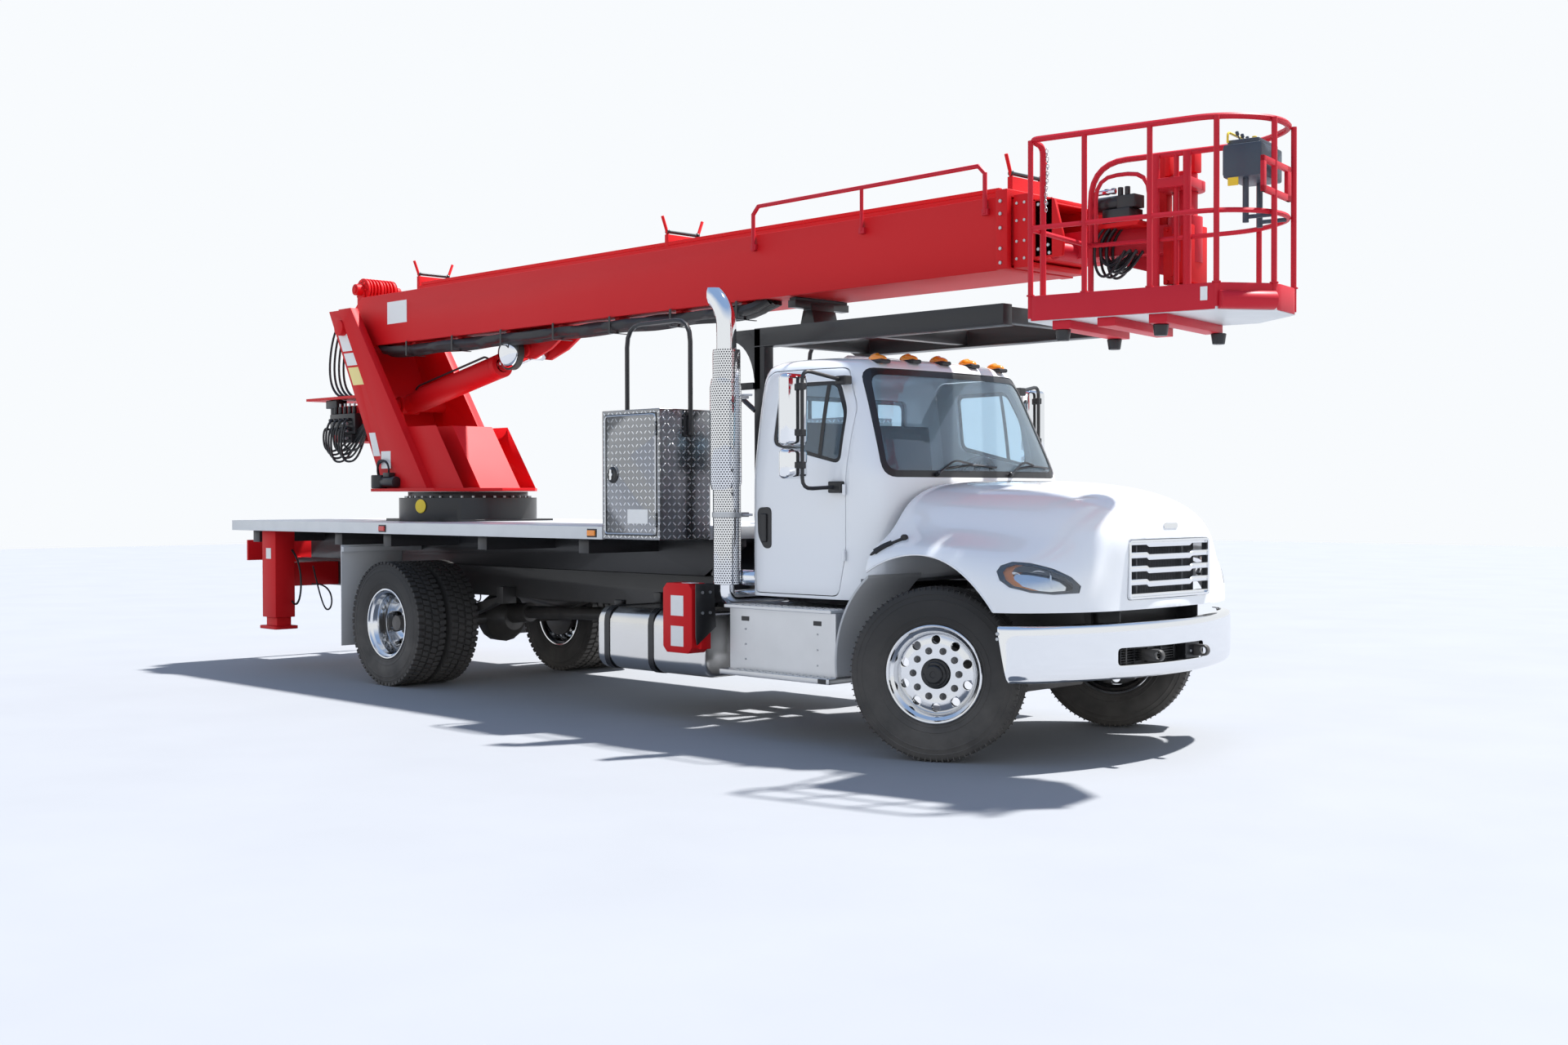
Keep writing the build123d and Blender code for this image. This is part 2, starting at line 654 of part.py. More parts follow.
for word, side in (("right", -1), ("left", 1)):
    inner_y, outer_y = (side * 650, side * (cab_half_width + 20))
    low_y, high_y = min(inner_y, outer_y), max(inner_y, outer_y)
    with BuildPart() as door:
        add(door_zone(side, door_gap, cab_wall))
        add(cab_outer, mode=Mode.INTERSECT)
        door_hinges(side, door_hinge_pin)
        side_profile(window_outline, low_y, high_y, mode=Mode.SUBTRACT)
        # Pull handle in its cup
        block(cab_back_x + 120, cab_back_x + 175, side * cab_half_width - 22, side * cab_half_width + 22,
              1320, 1460)
    save(door, f"door_{word}")
    with BuildPart() as door_glass:
        side_profile(shrink(window_outline, seal_gap), low_y, high_y)
        add(glass_outer, mode=Mode.INTERSECT)
        add(glass_inner, mode=Mode.SUBTRACT)
    save(door_glass, f"door_glass_{word}")

    # Mirror: a tall and a wide-angle head on a tube loop that stands off the door's front edge
    arm_y = side * (cab_half_width + 240)
    arm_x = door_front_x - 200
    head_x = door_front_x - 250
    with BuildPart() as mirror:
        bent_tube([(door_front_x - 40, side * (cab_half_width - 40), 1655),
                  (arm_x, arm_y, 1640), (arm_x, arm_y, 2395),
                  (door_front_x - 90, side * (cab_eave_half_width - 20), 2340)], 60, 28)
        with Locations((head_x + 40, arm_y, 2130)):
            Box(95, 210, 430)
        with Locations((head_x + 40, arm_y, 1790)):
            Box(95, 210, 170)
        add(cab_outer, mode=Mode.SUBTRACT)
    save(mirror, f"mirror_{word}")


# Bonnet with the wings, hollow underneath

hood_sections = [
    # x, half width at the bottom, half width at the shoulder, shoulder z, crown half width, crown z
    (hood_rear_x, 905.0, 900.0, 1500.0, 520.0, hood_rear_z),
    (front_axle_x + 300.0, 850.0, 815.0, 1440.0, 500.0, hood_rear_z - 10),
    (hood_front_x - 60.0, 640.0, 610.0, 1300.0, 430.0, hood_nose_z + 20),
    (hood_front_x, 560.0, 540.0, 1270.0, 400.0, hood_nose_z - 40),
]


def bonnet_form(inset):
    """The bonnet and both wings as one solid, drawn in by inset."""
    with BuildPart() as form:
        for x, low, shoulder, shoulder_z, crown, crown_z in hood_sections:
            place = x - inset if x == hood_front_x else x - (inset if x > front_axle_x + 350 else 0)
            with BuildSketch(Plane.YZ.offset(place)):
                with BuildLine():
                    Polyline((-low + inset, hood_bottom_z), (-shoulder + inset, shoulder_z - inset * 0.5),
                             (-crown, crown_z - 25 - inset), (-crown * 0.5, crown_z - inset),
                             (crown * 0.5, crown_z - inset), (crown, crown_z - 25 - inset),
                             (shoulder - inset, shoulder_z - inset * 0.5), (low - inset, hood_bottom_z),
                             close=True)
                make_face()
        loft(ruled=True)
        for side in (-1, 1):
            outer = wing_half_width - inset
            low_y, high_y = min(side * 500, side * outer), max(side * 500, side * outer)
            side_profile([
                (hood_rear_x, hood_bottom_z),
                (hood_rear_x, wing_top_z - 45 - inset),
                (front_axle_x - 230, wing_top_z - inset),
                (front_axle_x + 330, wing_top_z - 5 - inset),
                (front_axle_x + 700, 1225 - inset),
                (front_axle_x + 960 - inset, 1100 - inset),
                (front_axle_x + 985 - inset, hood_bottom_z)], low_y, high_y)
            # The wing's front corner is drawn back to the headlamp
            corner = [(front_axle_x + 560 - inset, side * (wing_half_width + 20 - inset)),
                      (front_axle_x + 700 - inset, side * (wing_half_width - 55 - inset)),
                      (front_axle_x + 1000 - inset, side * (640 - inset)),
                      (front_axle_x + 1100, side * 560), (front_axle_x + 1100, side * 1300),
                      (front_axle_x + 560 - inset, side * 1300)]
            top_profile(corner if side == -1 else corner[::-1], hood_bottom_z - 5, 1500, mode=Mode.SUBTRACT)
    return form.part


bonnet_outer = bonnet_form(0)
bonnet_inner = bonnet_form(hood_wall)
grille_low_z = 965.0
grille_high_z = 1335.0
grille_half = 440.0

with BuildPart() as hood:
    add(bonnet_outer)
    add(bonnet_inner, mode=Mode.SUBTRACT)
    # The hollow is open to the rear, below, and through the wheel arches
    block(hood_rear_x - 300, hood_rear_x + 5, -880, 880, hood_bottom_z - 5, 1400, mode=Mode.SUBTRACT)
    front_profile([(-880, hood_bottom_z - 5), (-875, 1490), (-500, hood_rear_z - 40),
                   (500, hood_rear_z - 40), (875, 1490), (880, hood_bottom_z - 5)],
                  hood_rear_x - 20, hood_rear_x + 20, mode=Mode.SUBTRACT)
    axle_disc(front_axle_x, -(wing_half_width + 500) / 2, arch_centre_z, 2 * arch_radius,
              wing_half_width - 500 + 200, mode=Mode.SUBTRACT)
    axle_disc(front_axle_x, (wing_half_width + 500) / 2, arch_centre_z, 2 * arch_radius,
              wing_half_width - 500 + 200, mode=Mode.SUBTRACT)
    block(hood_front_x - 60, hood_front_x + 20, -grille_half, grille_half, grille_low_z, grille_high_z,
          mode=Mode.SUBTRACT)
    # Swan-neck hinge arms down to the pins
    for side in (-1, 1):
        side_profile([(hood_pivot_x - 24, hood_pivot_z - 24), (hood_pivot_x + 24, hood_pivot_z - 24),
                      (hood_pivot_x + 24, hood_pivot_z + 24), (hood_pivot_x - 112, hood_pivot_z + 92),
                      (hood_pivot_x - 118, hood_pivot_z + 195), (hood_pivot_x - 85, hood_pivot_z + 275),
                      (hood_front_x - hood_wall / 2, hood_pivot_z + 275),
                      (hood_front_x - hood_wall / 2, hood_pivot_z + 325), (hood_pivot_x - 115, hood_pivot_z + 325),
                      (hood_pivot_x - 165, hood_pivot_z + 205), (hood_pivot_x - 158, hood_pivot_z + 65)],
                     side * (hinge_arm_y - hinge_arm / 2), side * (hinge_arm_y + hinge_arm / 2))
        rod((hood_pivot_x, side * (hinge_arm_y - 20), hood_pivot_z),
            (hood_pivot_x, side * (hinge_arm_y + 20), hood_pivot_z), hinge_pin + 4, mode=Mode.SUBTRACT)
save(hood, "hood")

grille_bar = 42.0
grille_pitch = (grille_high_z - grille_low_z) / 4.4
with BuildPart() as grille:
    with BuildSketch(Plane.YZ.offset(hood_front_x - 45)):
        with Locations((0, (grille_low_z + grille_high_z) / 2)):
            Rectangle(2 * grille_half - 4, grille_high_z - grille_low_z - 4)
            Rectangle(2 * grille_half - 64, grille_high_z - grille_low_z - 64, mode=Mode.SUBTRACT)
    extrude(amount=60)
    for row in range(3):
        z = grille_low_z + grille_pitch * (row + 1.2)
        front_profile([(-grille_half + 20, z), (-250, z), (-225, z - 16), (225, z - 16), (250, z),
                       (grille_half - 20, z), (grille_half - 20, z + grille_bar), (250, z + grille_bar),
                       (225, z + grille_bar - 16), (-225, z + grille_bar - 16), (-250, z + grille_bar),
                       (-grille_half + 20, z + grille_bar)], hood_front_x - 35, hood_front_x + 12)
save(grille, "grille")

# Bumper: one pressing, swept back at both ends, with the tow and air slot

def bumper_plan(inset):
    return [(bumper_end_x, -bumper_half_width + inset), (bumper_end_x + 190, -bumper_half_width + 45 + inset),
            (bumper_front_x - 110 - inset, -640), (bumper_front_x - inset, -300),
            (bumper_front_x - inset, 300), (bumper_front_x - 110 - inset, 640),
            (bumper_end_x + 190, bumper_half_width - 45 - inset), (bumper_end_x, bumper_half_width - inset)]


with BuildPart() as bumper:
    top_profile(bumper_plan(0), bumper_top_z - bumper_depth, bumper_top_z)
    top_profile(bumper_plan(bumper_wall), bumper_top_z - bumper_depth - 5, bumper_top_z - bumper_wall,
                mode=Mode.SUBTRACT)
    block(bumper_end_x - 20, bumper_end_x + 20, -bumper_half_width + bumper_wall,
          bumper_half_width - bumper_wall, bumper_top_z - bumper_depth - 5, bumper_top_z + 5, mode=Mode.SUBTRACT)
    top_profile([(bumper_end_x - 10, -bumper_half_width + 90), (bumper_end_x + 160, -bumper_half_width + 110),
                 (bumper_front_x - 160, -630), (bumper_front_x - 45, -290), (bumper_front_x - 45, 290),
                 (bumper_front_x - 160, 630), (bumper_end_x + 160, bumper_half_width - 110),
                 (bumper_end_x - 10, bumper_half_width - 90)], bumper_top_z - bumper_wall - 5, bumper_top_z + 5,
                mode=Mode.SUBTRACT)
    block(bumper_front_x - 60, bumper_front_x + 20, -330, 330, bumper_top_z - 250, bumper_top_z - 150,
          mode=Mode.SUBTRACT)
save(bumper, "bumper")


# Along the chassis sides

with BuildPart() as steps:
    step_rear_x = step_front_x - step_length
    for side in (-1, 1):
        side_block(side, step_rear_x, step_front_x, 560, step_outer_y - 60, 440, step_top_z)
        side_block(side, step_rear_x - 20, step_front_x + 15, 700, step_outer_y + 20, 405, 440)
        side_block(side, step_rear_x - 5, step_front_x + 5, 700, step_outer_y - 10, step_top_z, step_top_z + 22)
        side_block(side, step_rear_x + 120, step_front_x - 120, rail_y, 560, 760, 840)
save(steps, "cab_steps")

tank_middle_y = tank_outer_y - tank_depth / 2
tank_middle_z = tank_bottom_z + tank_height / 2
with BuildPart() as tanks:
    for side in (-1, 1):
        with BuildSketch(Plane.YZ.offset(tank_front_x - tank_length)):
            with Locations((side * tank_middle_y, tank_middle_z)):
                RectangleRounded(tank_depth, tank_height, 120)
        extrude(amount=tank_length)
        for share in (0.2, 0.76):
            strap_x = tank_front_x - tank_length * share
            with BuildSketch(Plane.YZ.offset(strap_x - 25)):
                with Locations((side * tank_middle_y, tank_middle_z)):
                    RectangleRounded(tank_depth + 16, tank_height + 16, 128)
            extrude(amount=50)
            side_block(side, strap_x - 40, strap_x + 40, rail_y, tank_middle_y - tank_depth / 2 + 100,
                       tank_bottom_z + tank_height - 20, rail_bottom_z + 90)
save(tanks, "fuel_tanks")

with BuildPart() as exhaust:
    # Silencer box under the cab, a lead pipe, the upright shield and the pipe with its turned tip
    rod((stack_x, -stack_y, 990), (stack_x, -stack_y, 2585), shield_diameter)
    bent_tube([(stack_x, -rail_y, 905), (stack_x, -stack_y, 905), (stack_x, -stack_y, 1020)], 90, 110)
    bent_tube([(stack_x, -stack_y, 2560), (stack_x, -stack_y, stack_top_z - 230),
              (stack_x - 120, -stack_y, stack_top_z - 72)], 160, stack_diameter, 2 * tube_sides)
    block(stack_x - 60, stack_x + 40, -stack_y + 60, -cab_half_width + 160, 1450, 1490)
    block(stack_x - 60, stack_x + 40, -stack_y + 60, -cab_half_width + 160, 2260, 2300)
save(exhaust, "exhaust_stack")

with BuildPart() as guards:
    for side in (-1, 1):
        # Mud flap and its bar behind the rear wheels
        flap_x = rear_axle_x - 690
        side_block(side, flap_x, flap_x + 12, 600, 1215, 300, 1180)
        side_block(side, flap_x + 12, flap_x + 50, subframe_half_width, 1215, 1120, 1165)
        # Splash guard: a quarter arch behind the front wheel
        with BuildPart(mode=Mode.PRIVATE) as arch:
            axle_disc(front_axle_x, side * 895, hub_z + 20, 2 * cab_arch_radius, 510)
            axle_disc(front_axle_x, side * 895, hub_z + 20, 2 * cab_arch_radius - 36, 520, mode=Mode.SUBTRACT)
            side_block(side, front_axle_x - 800, cowl_x - 5, 640, 1150, 450, 1300, mode=Mode.INTERSECT)
        add(arch.part)
save(guards, "splash_guards")


# Bed and what stands on it

with BuildPart() as subframe:
    for side in (-1, 1):
        side_profile([(deck_rear_x + 60, rail_top_z + 2), (deck_front_x - 420, rail_top_z + 2),
                      (deck_front_x - 60, deck_top_z - deck_thickness - 60),
                      (deck_front_x - 60, deck_top_z - deck_thickness), (deck_rear_x + 60, deck_top_z - deck_thickness)],
                     side * (subframe_half_width - 90), side * subframe_half_width)
    for station in (-8300.0, -6800.0, -6000.0, -4600.0, -3300.0):
        x = front_axle_x + station
        block(x - 60, x + 60, -deck_half_width + 120, deck_half_width - 120,
              deck_top_z - deck_thickness - 110, deck_top_z - deck_thickness)
    # Pedestal box below the turntable and the deep rear box
    block(slew_x - 720, slew_x + 720, -subframe_half_width + 2, subframe_half_width - 2,
          rail_top_z + 2, deck_top_z + 20)
    rod((slew_x, 0, deck_top_z - 20), (slew_x, 0, turret_floor_z - 60), bearing_diameter)
    rod((slew_x, 0, turret_floor_z - 70), (slew_x, 0, turret_floor_z - 7), bearing_diameter - 160)
save(subframe, "subframe")

with BuildPart() as deck:
    block(deck_rear_x, deck_front_x, -deck_half_width, deck_half_width, deck_top_z - deck_thickness + 1, deck_top_z)
    block(deck_rear_x + 20, deck_front_x - 20, -deck_half_width + 30, deck_half_width - 30,
          deck_top_z - deck_thickness - 5, deck_top_z - 12, mode=Mode.SUBTRACT)
    for side in (-1, 1):
        side_block(side, deck_front_x - box_length - 5, deck_front_x + 5, deck_half_width - box_depth,
                   deck_half_width + 5, 1200, 1500, mode=Mode.SUBTRACT)
    block(slew_x - 740, slew_x + 740, -640, 640, deck_top_z - 50, deck_top_z + 5, mode=Mode.SUBTRACT)
    # Tread plate on the open stretch of the bed, clear of the rails' feet
    block(slew_x + 800, deck_front_x - 730, -deck_half_width + 40, deck_half_width - 40,
          deck_top_z - 2, deck_top_z + tread_plate)
    for row in range(9):
        x = deck_rear_x + 500 + row * 620
        if abs(x - slew_x) > 760:
            block(x - 25, x + 25, -deck_half_width + 30, deck_half_width - 30, deck_top_z - 70, deck_top_z - 11)
save(deck, "deck")

with BuildPart() as boxes:
    box_rear_x = deck_front_x - box_length
    box_top_z = box_bottom_z + box_height
    for side in (-1, 1):
        side_block(side, box_rear_x, deck_front_x, deck_half_width - box_depth, deck_half_width,
                   box_bottom_z, box_top_z)
        side_block(side, box_rear_x + sheet_wall, deck_front_x - sheet_wall,
                   deck_half_width - box_depth + sheet_wall, deck_half_width - sheet_wall,
                   box_bottom_z + sheet_wall, box_top_z - sheet_wall, mode=Mode.SUBTRACT)
        side_block(side, box_rear_x + 30, deck_front_x - 30, deck_half_width - 40, deck_half_width + 5,
                   box_bottom_z + 30, box_top_z - 30, mode=Mode.SUBTRACT)
save(boxes, "tool_boxes")

for word, side in (("right", -1), ("left", 1)):
    with BuildPart() as box_door:
        side_block(side, box_rear_x + 36, deck_front_x - 36, deck_half_width - 14, deck_half_width + 4,
                   box_bottom_z + 36, box_top_z - 36)
        for low_z in (box_bottom_z + 90, box_top_z - 190):
            rod((deck_front_x - 34, side * (deck_half_width + 8), low_z),
                (deck_front_x - 34, side * (deck_half_width + 8), low_z + 100), 14)
        latch_x = box_rear_x + 130
        rod((latch_x, side * deck_half_width, box_bottom_z + 470),
            (latch_x, side * (deck_half_width + 12), box_bottom_z + 470), 120)
    save(box_door, f"tool_box_door_{word}")

with BuildPart() as handrails:
    rail_loop_x = deck_front_x - 665
    loop_y = deck_half_width - box_depth - 35
    for y in (-loop_y, loop_y):
        bent_tube([(rail_loop_x, y, deck_top_z), (rail_loop_x, y, loop_top_z),
                  (rail_loop_x + 390, y, loop_top_z), (rail_loop_x + 390, y, deck_top_z)], 110, 38)
save(handrails, "handrails")

rest_x = front_axle_x - 1930.0
frame_half = 600.0
with BuildPart() as boom_rest:
    for side in (-1, 1):
        side_block(side, rest_x - 60, front_axle_x + 220, frame_half - 90, frame_half, 2650, 2780)
        side_block(side, rest_x - 60, rest_x + 40, frame_half - 90, frame_half, rail_top_z + 5, 2660)
    for station in (rest_x - 10, front_axle_x - 1000, front_axle_x + 175):
        block(station - 40, station + 40, -frame_half, frame_half, 2665, 2765)
    block(rest_x - 50, rest_x + 30, -frame_half, frame_half, rail_top_z, rail_top_z + 130)
    block(rest_x - 45, rest_x + 35, -120, 120, 2760, boom_bottom_z - 40)
    block(rest_x - 42, rest_x + 32, -280, 280, boom_bottom_z - rest_gap - 52, boom_bottom_z - rest_gap)
save(boom_rest, "boom_rest")

with BuildPart() as lamps:
    for y in (-620.0, -310.0, 0.0, 310.0, 620.0):
        with Locations((roof_front_x - 60, y, cab_roof_z - 12)):
            Cone(62, 30, 130)
    add(cab_outer, mode=Mode.SUBTRACT)
    for side in (-1, 1):
        for station in (-3050.0, -5880.0):
            x = front_axle_x + station
            side_block(side, x - 45, x + 45, deck_half_width, deck_half_width + 12, deck_top_z - 70, deck_top_z - 25)
        side_block(side, deck_rear_x - 25, deck_rear_x, 780, 1120, deck_top_z - 80, deck_top_z - 10)
save(lamps, "lamps")


# Outriggers

with BuildPart() as rigger_housings:
    for side in (-1, 1):
        with BuildSketch(Plane.XY.offset(jack_housing_bottom_z)):
            with Locations((rear_jack_x, side * jack_y)):
                Rectangle(jack_tube + 50, jack_tube)
                Rectangle(jack_tube + 50 - 2 * jack_wall, jack_tube - 2 * jack_wall, mode=Mode.SUBTRACT)
        extrude(amount=jack_top_z - jack_housing_bottom_z)
        side_block(side, rear_jack_x - 110, rear_jack_x + 110, rail_y, jack_y - jack_tube / 2,
                   rail_bottom_z + 10, rail_top_z - 20)
    # Light panel at the very back, on brackets from the frame's ends
    block(tail_x, tail_x + 30, -900, 900, 980, 1180)
    for side in (-1, 1):
        side_block(side, tail_x + 10, rail_rear_x, rail_y - rail_flange, rail_y, rail_bottom_z + 30, rail_bottom_z + 130)
        side_block(side, tail_x + 10, tail_x + 60, rail_y - rail_flange, rail_y, rail_bottom_z + 30, 1000)
save(rigger_housings, "outrigger_frames")

for word, side in (("right", -1), ("left", 1)):
    with BuildPart() as jack:
        inner_x = jack_tube + 50 - 2 * jack_wall - 24
        inner_y = jack_tube - 2 * jack_wall - 24
        with Locations((rear_jack_x, side * jack_y, (jack_foot_z + jack_top_z - 60) / 2)):
            Box(inner_x, inner_y, jack_top_z - 60 - jack_foot_z)
        with BuildSketch(Plane.XY.offset(jack_foot_z)):
            with Locations((rear_jack_x, side * jack_y)):
                RectangleRounded(jack_tube + 120, jack_tube + 40, 30)
        extrude(amount=30)
    save(jack, f"rear_jack_{word}")

# Front outriggers: a beam slides out of a crosswise housing, with the jack's box at its end
housing_outer = (170.0, 130.0)
housing_inner = (150.0, 110.0)
beam_section = (136.0, 96.0)
rigger_box_y = tank_outer_y + 20.0


def cross_tube(side, section, y0, y1, mode=Mode.ADD):
    """A rectangular bar along Y at the front outriggers' height."""
    width, height = section
    side_block(side, front_rigger_x - width / 2, front_rigger_x + width / 2, y0, y1,
               front_rigger_z - height / 2, front_rigger_z + height / 2, mode)


with BuildPart() as front_housing:
    for side in (-1, 1):
        cross_tube(side, housing_outer, rail_y, 960)
        cross_tube(side, housing_inner, rail_y + 8, 970, mode=Mode.SUBTRACT)
save(front_housing, "front_outrigger_housing")

for word, side in (("right", -1), ("left", 1)):
    with BuildPart() as leg:
        cross_tube(side, beam_section, rail_y + 20, rigger_box_y + 10)
        box_low, box_high = (520.0, 1000.0)
        side_profile([(front_rigger_x - 150, box_low + 40), (front_rigger_x - 110, box_low),
                      (front_rigger_x + 110, box_low), (front_rigger_x + 150, box_low + 40),
                      (front_rigger_x + 150, box_high - 40), (front_rigger_x + 110, box_high),
                      (front_rigger_x - 110, box_high), (front_rigger_x - 150, box_high - 40)],
                     side * rigger_box_y, side * (rigger_box_y + 155))
        side_block(side, front_rigger_x + 150, front_rigger_x + 185, rigger_box_y + 10, rigger_box_y + 100,
                   box_low + 30, box_high - 20)
    save(leg, f"front_outrigger_{word}")


# Turret, turning with the boom

plate_outline = [
    (front_axle_x - 8120.0, turret_top_z), (front_axle_x - 7650.0, turret_top_z),
    (front_axle_x - 6350.0, turret_floor_z), (front_axle_x - 7150.0, turret_floor_z),
]
half_gap = turret_plate_gap / 2
with BuildPart() as turret:
    block(front_axle_x - 7150, front_axle_x - 5620, -560, 560, turret_floor_z - 2, turret_floor_z + 25)
    for side in (-1, 1):
        side_profile(plate_outline, side * half_gap, side * (half_gap + turret_plate))
        # Raised band down the front edge of the plate
        side_profile([(front_axle_x - 7870, turret_top_z), (front_axle_x - 7650, turret_top_z),
                      (front_axle_x - 6350, turret_floor_z), (front_axle_x - 6800, turret_floor_z)],
                     side * (half_gap + turret_plate), side * (half_gap + turret_plate + 45))
        # Boss round the boom's pin
        rod((boom_pivot_x, side * (boom_half_width + 12), boom_pivot_z),
            (boom_pivot_x, side * (half_gap + turret_plate + 60), boom_pivot_z), 150)
        rod((lift_base_x, side * 110, lift_base_z), (lift_base_x, side * (half_gap + 10), lift_base_z), 110)
    # Gusset box in front of the legs and the closed back
    side_profile([(front_axle_x - 6790, 2240), (front_axle_x - 6330, 2240), (front_axle_x - 5880, turret_floor_z),
                  (front_axle_x - 6700, turret_floor_z)], -half_gap, half_gap)
    side_profile([(front_axle_x - 8150, turret_top_z), (front_axle_x - 8120, turret_top_z),
                  (front_axle_x - 7375, 2060), (front_axle_x - 7405, 2060)], -half_gap, half_gap)
    # Rear shelf for the valves and hoses
    block(front_axle_x - 8640, front_axle_x - 7560, -380, 380, 2545, 2570)
    block(front_axle_x - 8250, front_axle_x - 7560, -300, 300, 2130, 2480)
    block(front_axle_x - 8200, front_axle_x - 8000, -50, 50, 2470, 2550)
save(turret, "turret")

with BuildPart() as reel:
    reel_x = front_axle_x - 8265.0
    reel_y = 200.0
    reel_z = 3650.0
    top_profile([(reel_x - 130, reel_y - 190), (reel_x + 115, reel_y - 190), (reel_x + 115, reel_y + 190),
                 (reel_x - 130, reel_y + 190)], turret_top_z, turret_top_z + 24)
    for y in (reel_y - 180, reel_y + 180):
        block(reel_x - 60, reel_x + 60, y - 8, y + 8, turret_top_z + 20, reel_z)
    rod((reel_x, reel_y - 250, reel_z), (reel_x, reel_y + 250, reel_z), 110)
    for y in (reel_y - 150, reel_y, reel_y + 150):
        axle_disc(reel_x, y, reel_z, 230, 18, sides=2 * tube_sides)
    axle_disc(reel_x, reel_y, reel_z, 170, 300, sides=2 * tube_sides)
save(reel, "hose_reel")

lift_angle = atan2(lug_z - lift_base_z, lug_x - lift_base_x)
lift_length = hypot(lug_x - lift_base_x, lug_z - lift_base_z)


def along_lift(distance):
    return (lift_base_x + distance * cos(lift_angle), 0, lift_base_z + distance * sin(lift_angle))


with BuildPart() as barrel:
    rod(along_lift(60), along_lift(1560), lift_bore)
    rod(along_lift(1500), along_lift(1570), lift_bore + 26)
    rod((lift_base_x, -100, lift_base_z), (lift_base_x, 100, lift_base_z), 170)
    rod(along_lift(1100), along_lift(1580), lift_rod_diameter + 6, mode=Mode.SUBTRACT)
    rod(along_lift(280), along_lift(1590), lift_rod_diameter + 6, mode=Mode.SUBTRACT)
save(barrel, "lift_cylinder")

with BuildPart() as piston:
    rod(along_lift(300), along_lift(lift_length - 20), lift_rod_diameter)
    rod((lug_x, -58, lug_z), (lug_x, 58, lug_z), 170)
    rod((lug_x, -60, lug_z), (lug_x, 60, lug_z), 80, mode=Mode.SUBTRACT)
save(piston, "lift_rod")


# Boom

boom_top_z = boom_bottom_z + boom_depth


def box_section(x0, x1, half, z0, z1, wall):
    """A rectangular tube along X."""
    block(x0, x1, -half, half, z0, z1)
    block(x0 - 10, x1 + 10, -half + wall, half - wall, z0 + wall, z1 - wall, mode=Mode.SUBTRACT)


with BuildPart() as boom_base:
    side_profile([(boom_pivot_x - 90, boom_pivot_z + 95), (boom_pivot_x + 155, boom_top_z),
                  (boom_end_x, boom_top_z), (boom_end_x, boom_bottom_z), (boom_pivot_x + 220, boom_bottom_z),
                  (boom_pivot_x - 90, boom_pivot_z - 70)],
                 -boom_half_width, boom_half_width)
    block(boom_pivot_x + 380, boom_end_x + 10, -boom_half_width + boom_wall, boom_half_width - boom_wall,
          boom_bottom_z + boom_wall, boom_top_z - boom_wall, mode=Mode.SUBTRACT)
    # Collar at the open end, round the top and both sides
    block(boom_end_x - 90, boom_end_x, -boom_half_width - 35, boom_half_width + 35,
          boom_bottom_z, boom_top_z + 35)
    block(boom_end_x - 100, boom_end_x + 10, -boom_half_width + boom_wall, boom_half_width - boom_wall,
          boom_bottom_z + boom_wall, boom_top_z - boom_wall, mode=Mode.SUBTRACT)
    # Tray along the top, with the forked guides
    block(front_axle_x - 6950, boom_end_x - 100, -170, 170, boom_top_z - 1, boom_top_z + 60)
    for station in (-6950.0, -3430.0, -60.0):
        x = front_axle_x + station
        block(x - 20, x + 20, -170, 170, boom_top_z - 1, boom_top_z + 150)
        for side in (-1, 1):
            tube((x, side * 150, boom_top_z + 140), (x, side * 210, boom_top_z + 290), 26)
    # Cheeks that take the lift rod's eye
    for side in (-1, 1):
        side_profile([(lug_x - 330, boom_bottom_z + 2), (lug_x - 110, lug_z - 60), (lug_x + 90, lug_z - 85),
                      (lug_x + 330, lug_z - 10), (lug_x + 640, boom_bottom_z + 2)],
                     side * 72, side * 102)
        rod((lug_x, side * 102, lug_z), (lug_x, side * 125, lug_z), 120)
    # Saddles that hold the hoses under the boom
    for row in range(7):
        x = front_axle_x - 6900 + row * 740
        block(x - 30, x + 30, -250, -140, hose_z + hose_diameter / 2, boom_bottom_z + 1)
save(boom_base, "boom_base")

with BuildPart() as hoses:
    for y in (-224.0, -166.0):
        bent_tube([(front_axle_x - 7150, y, boom_bottom_z), (front_axle_x - 7150, y, hose_z),
                  (front_axle_x - 2250, y, hose_z), (front_axle_x - 2250, y, boom_bottom_z)], 45, hose_diameter)
save(hoses, "boom_hoses")

with BuildPart() as boom_handrail:
    rail_y0 = -boom_half_width - 18
    rail_top = boom_top_z + 200
    bent_tube([(front_axle_x - 2270, rail_y0, boom_top_z - 120), (front_axle_x - 2270, rail_y0, rail_top),
              (front_axle_x - 130, rail_y0, rail_top + 10), (front_axle_x - 130, rail_y0, boom_top_z - 100)], 90, 30)
    for x in (front_axle_x - 2270, front_axle_x - 1200, front_axle_x - 130):
        block(x - 25, x + 25, rail_y0 - 6, -boom_half_width, boom_top_z - 110, boom_top_z - 70)
    tube((front_axle_x - 1200, rail_y0, boom_top_z - 90), (front_axle_x - 1200, rail_y0, rail_top + 4), 26)
save(boom_handrail, "boom_handrail")

mid_half = boom_half_width - boom_wall - section_gap
mid_z0 = boom_bottom_z + boom_wall + section_gap
mid_z1 = boom_top_z - boom_wall - section_gap
with BuildPart() as boom_mid:
    box_section(front_axle_x - 7350, mid_end_x, mid_half, mid_z0, mid_z1, boom_wall)
    for side in (-1, 1):
        side_block(side, boom_end_x + 20, mid_end_x, mid_half - 1, mid_half + 18, mid_z0 - 10, mid_z1 + 10)
    block(boom_end_x + 20, mid_end_x, -mid_half - 18, mid_half + 18, mid_z1 - 1, mid_z1 + 22)
    block(boom_end_x + 20, mid_end_x, -mid_half - 18, mid_half + 18, mid_z0 - 22, mid_z0 + 1)
save(boom_mid, "boom_mid")

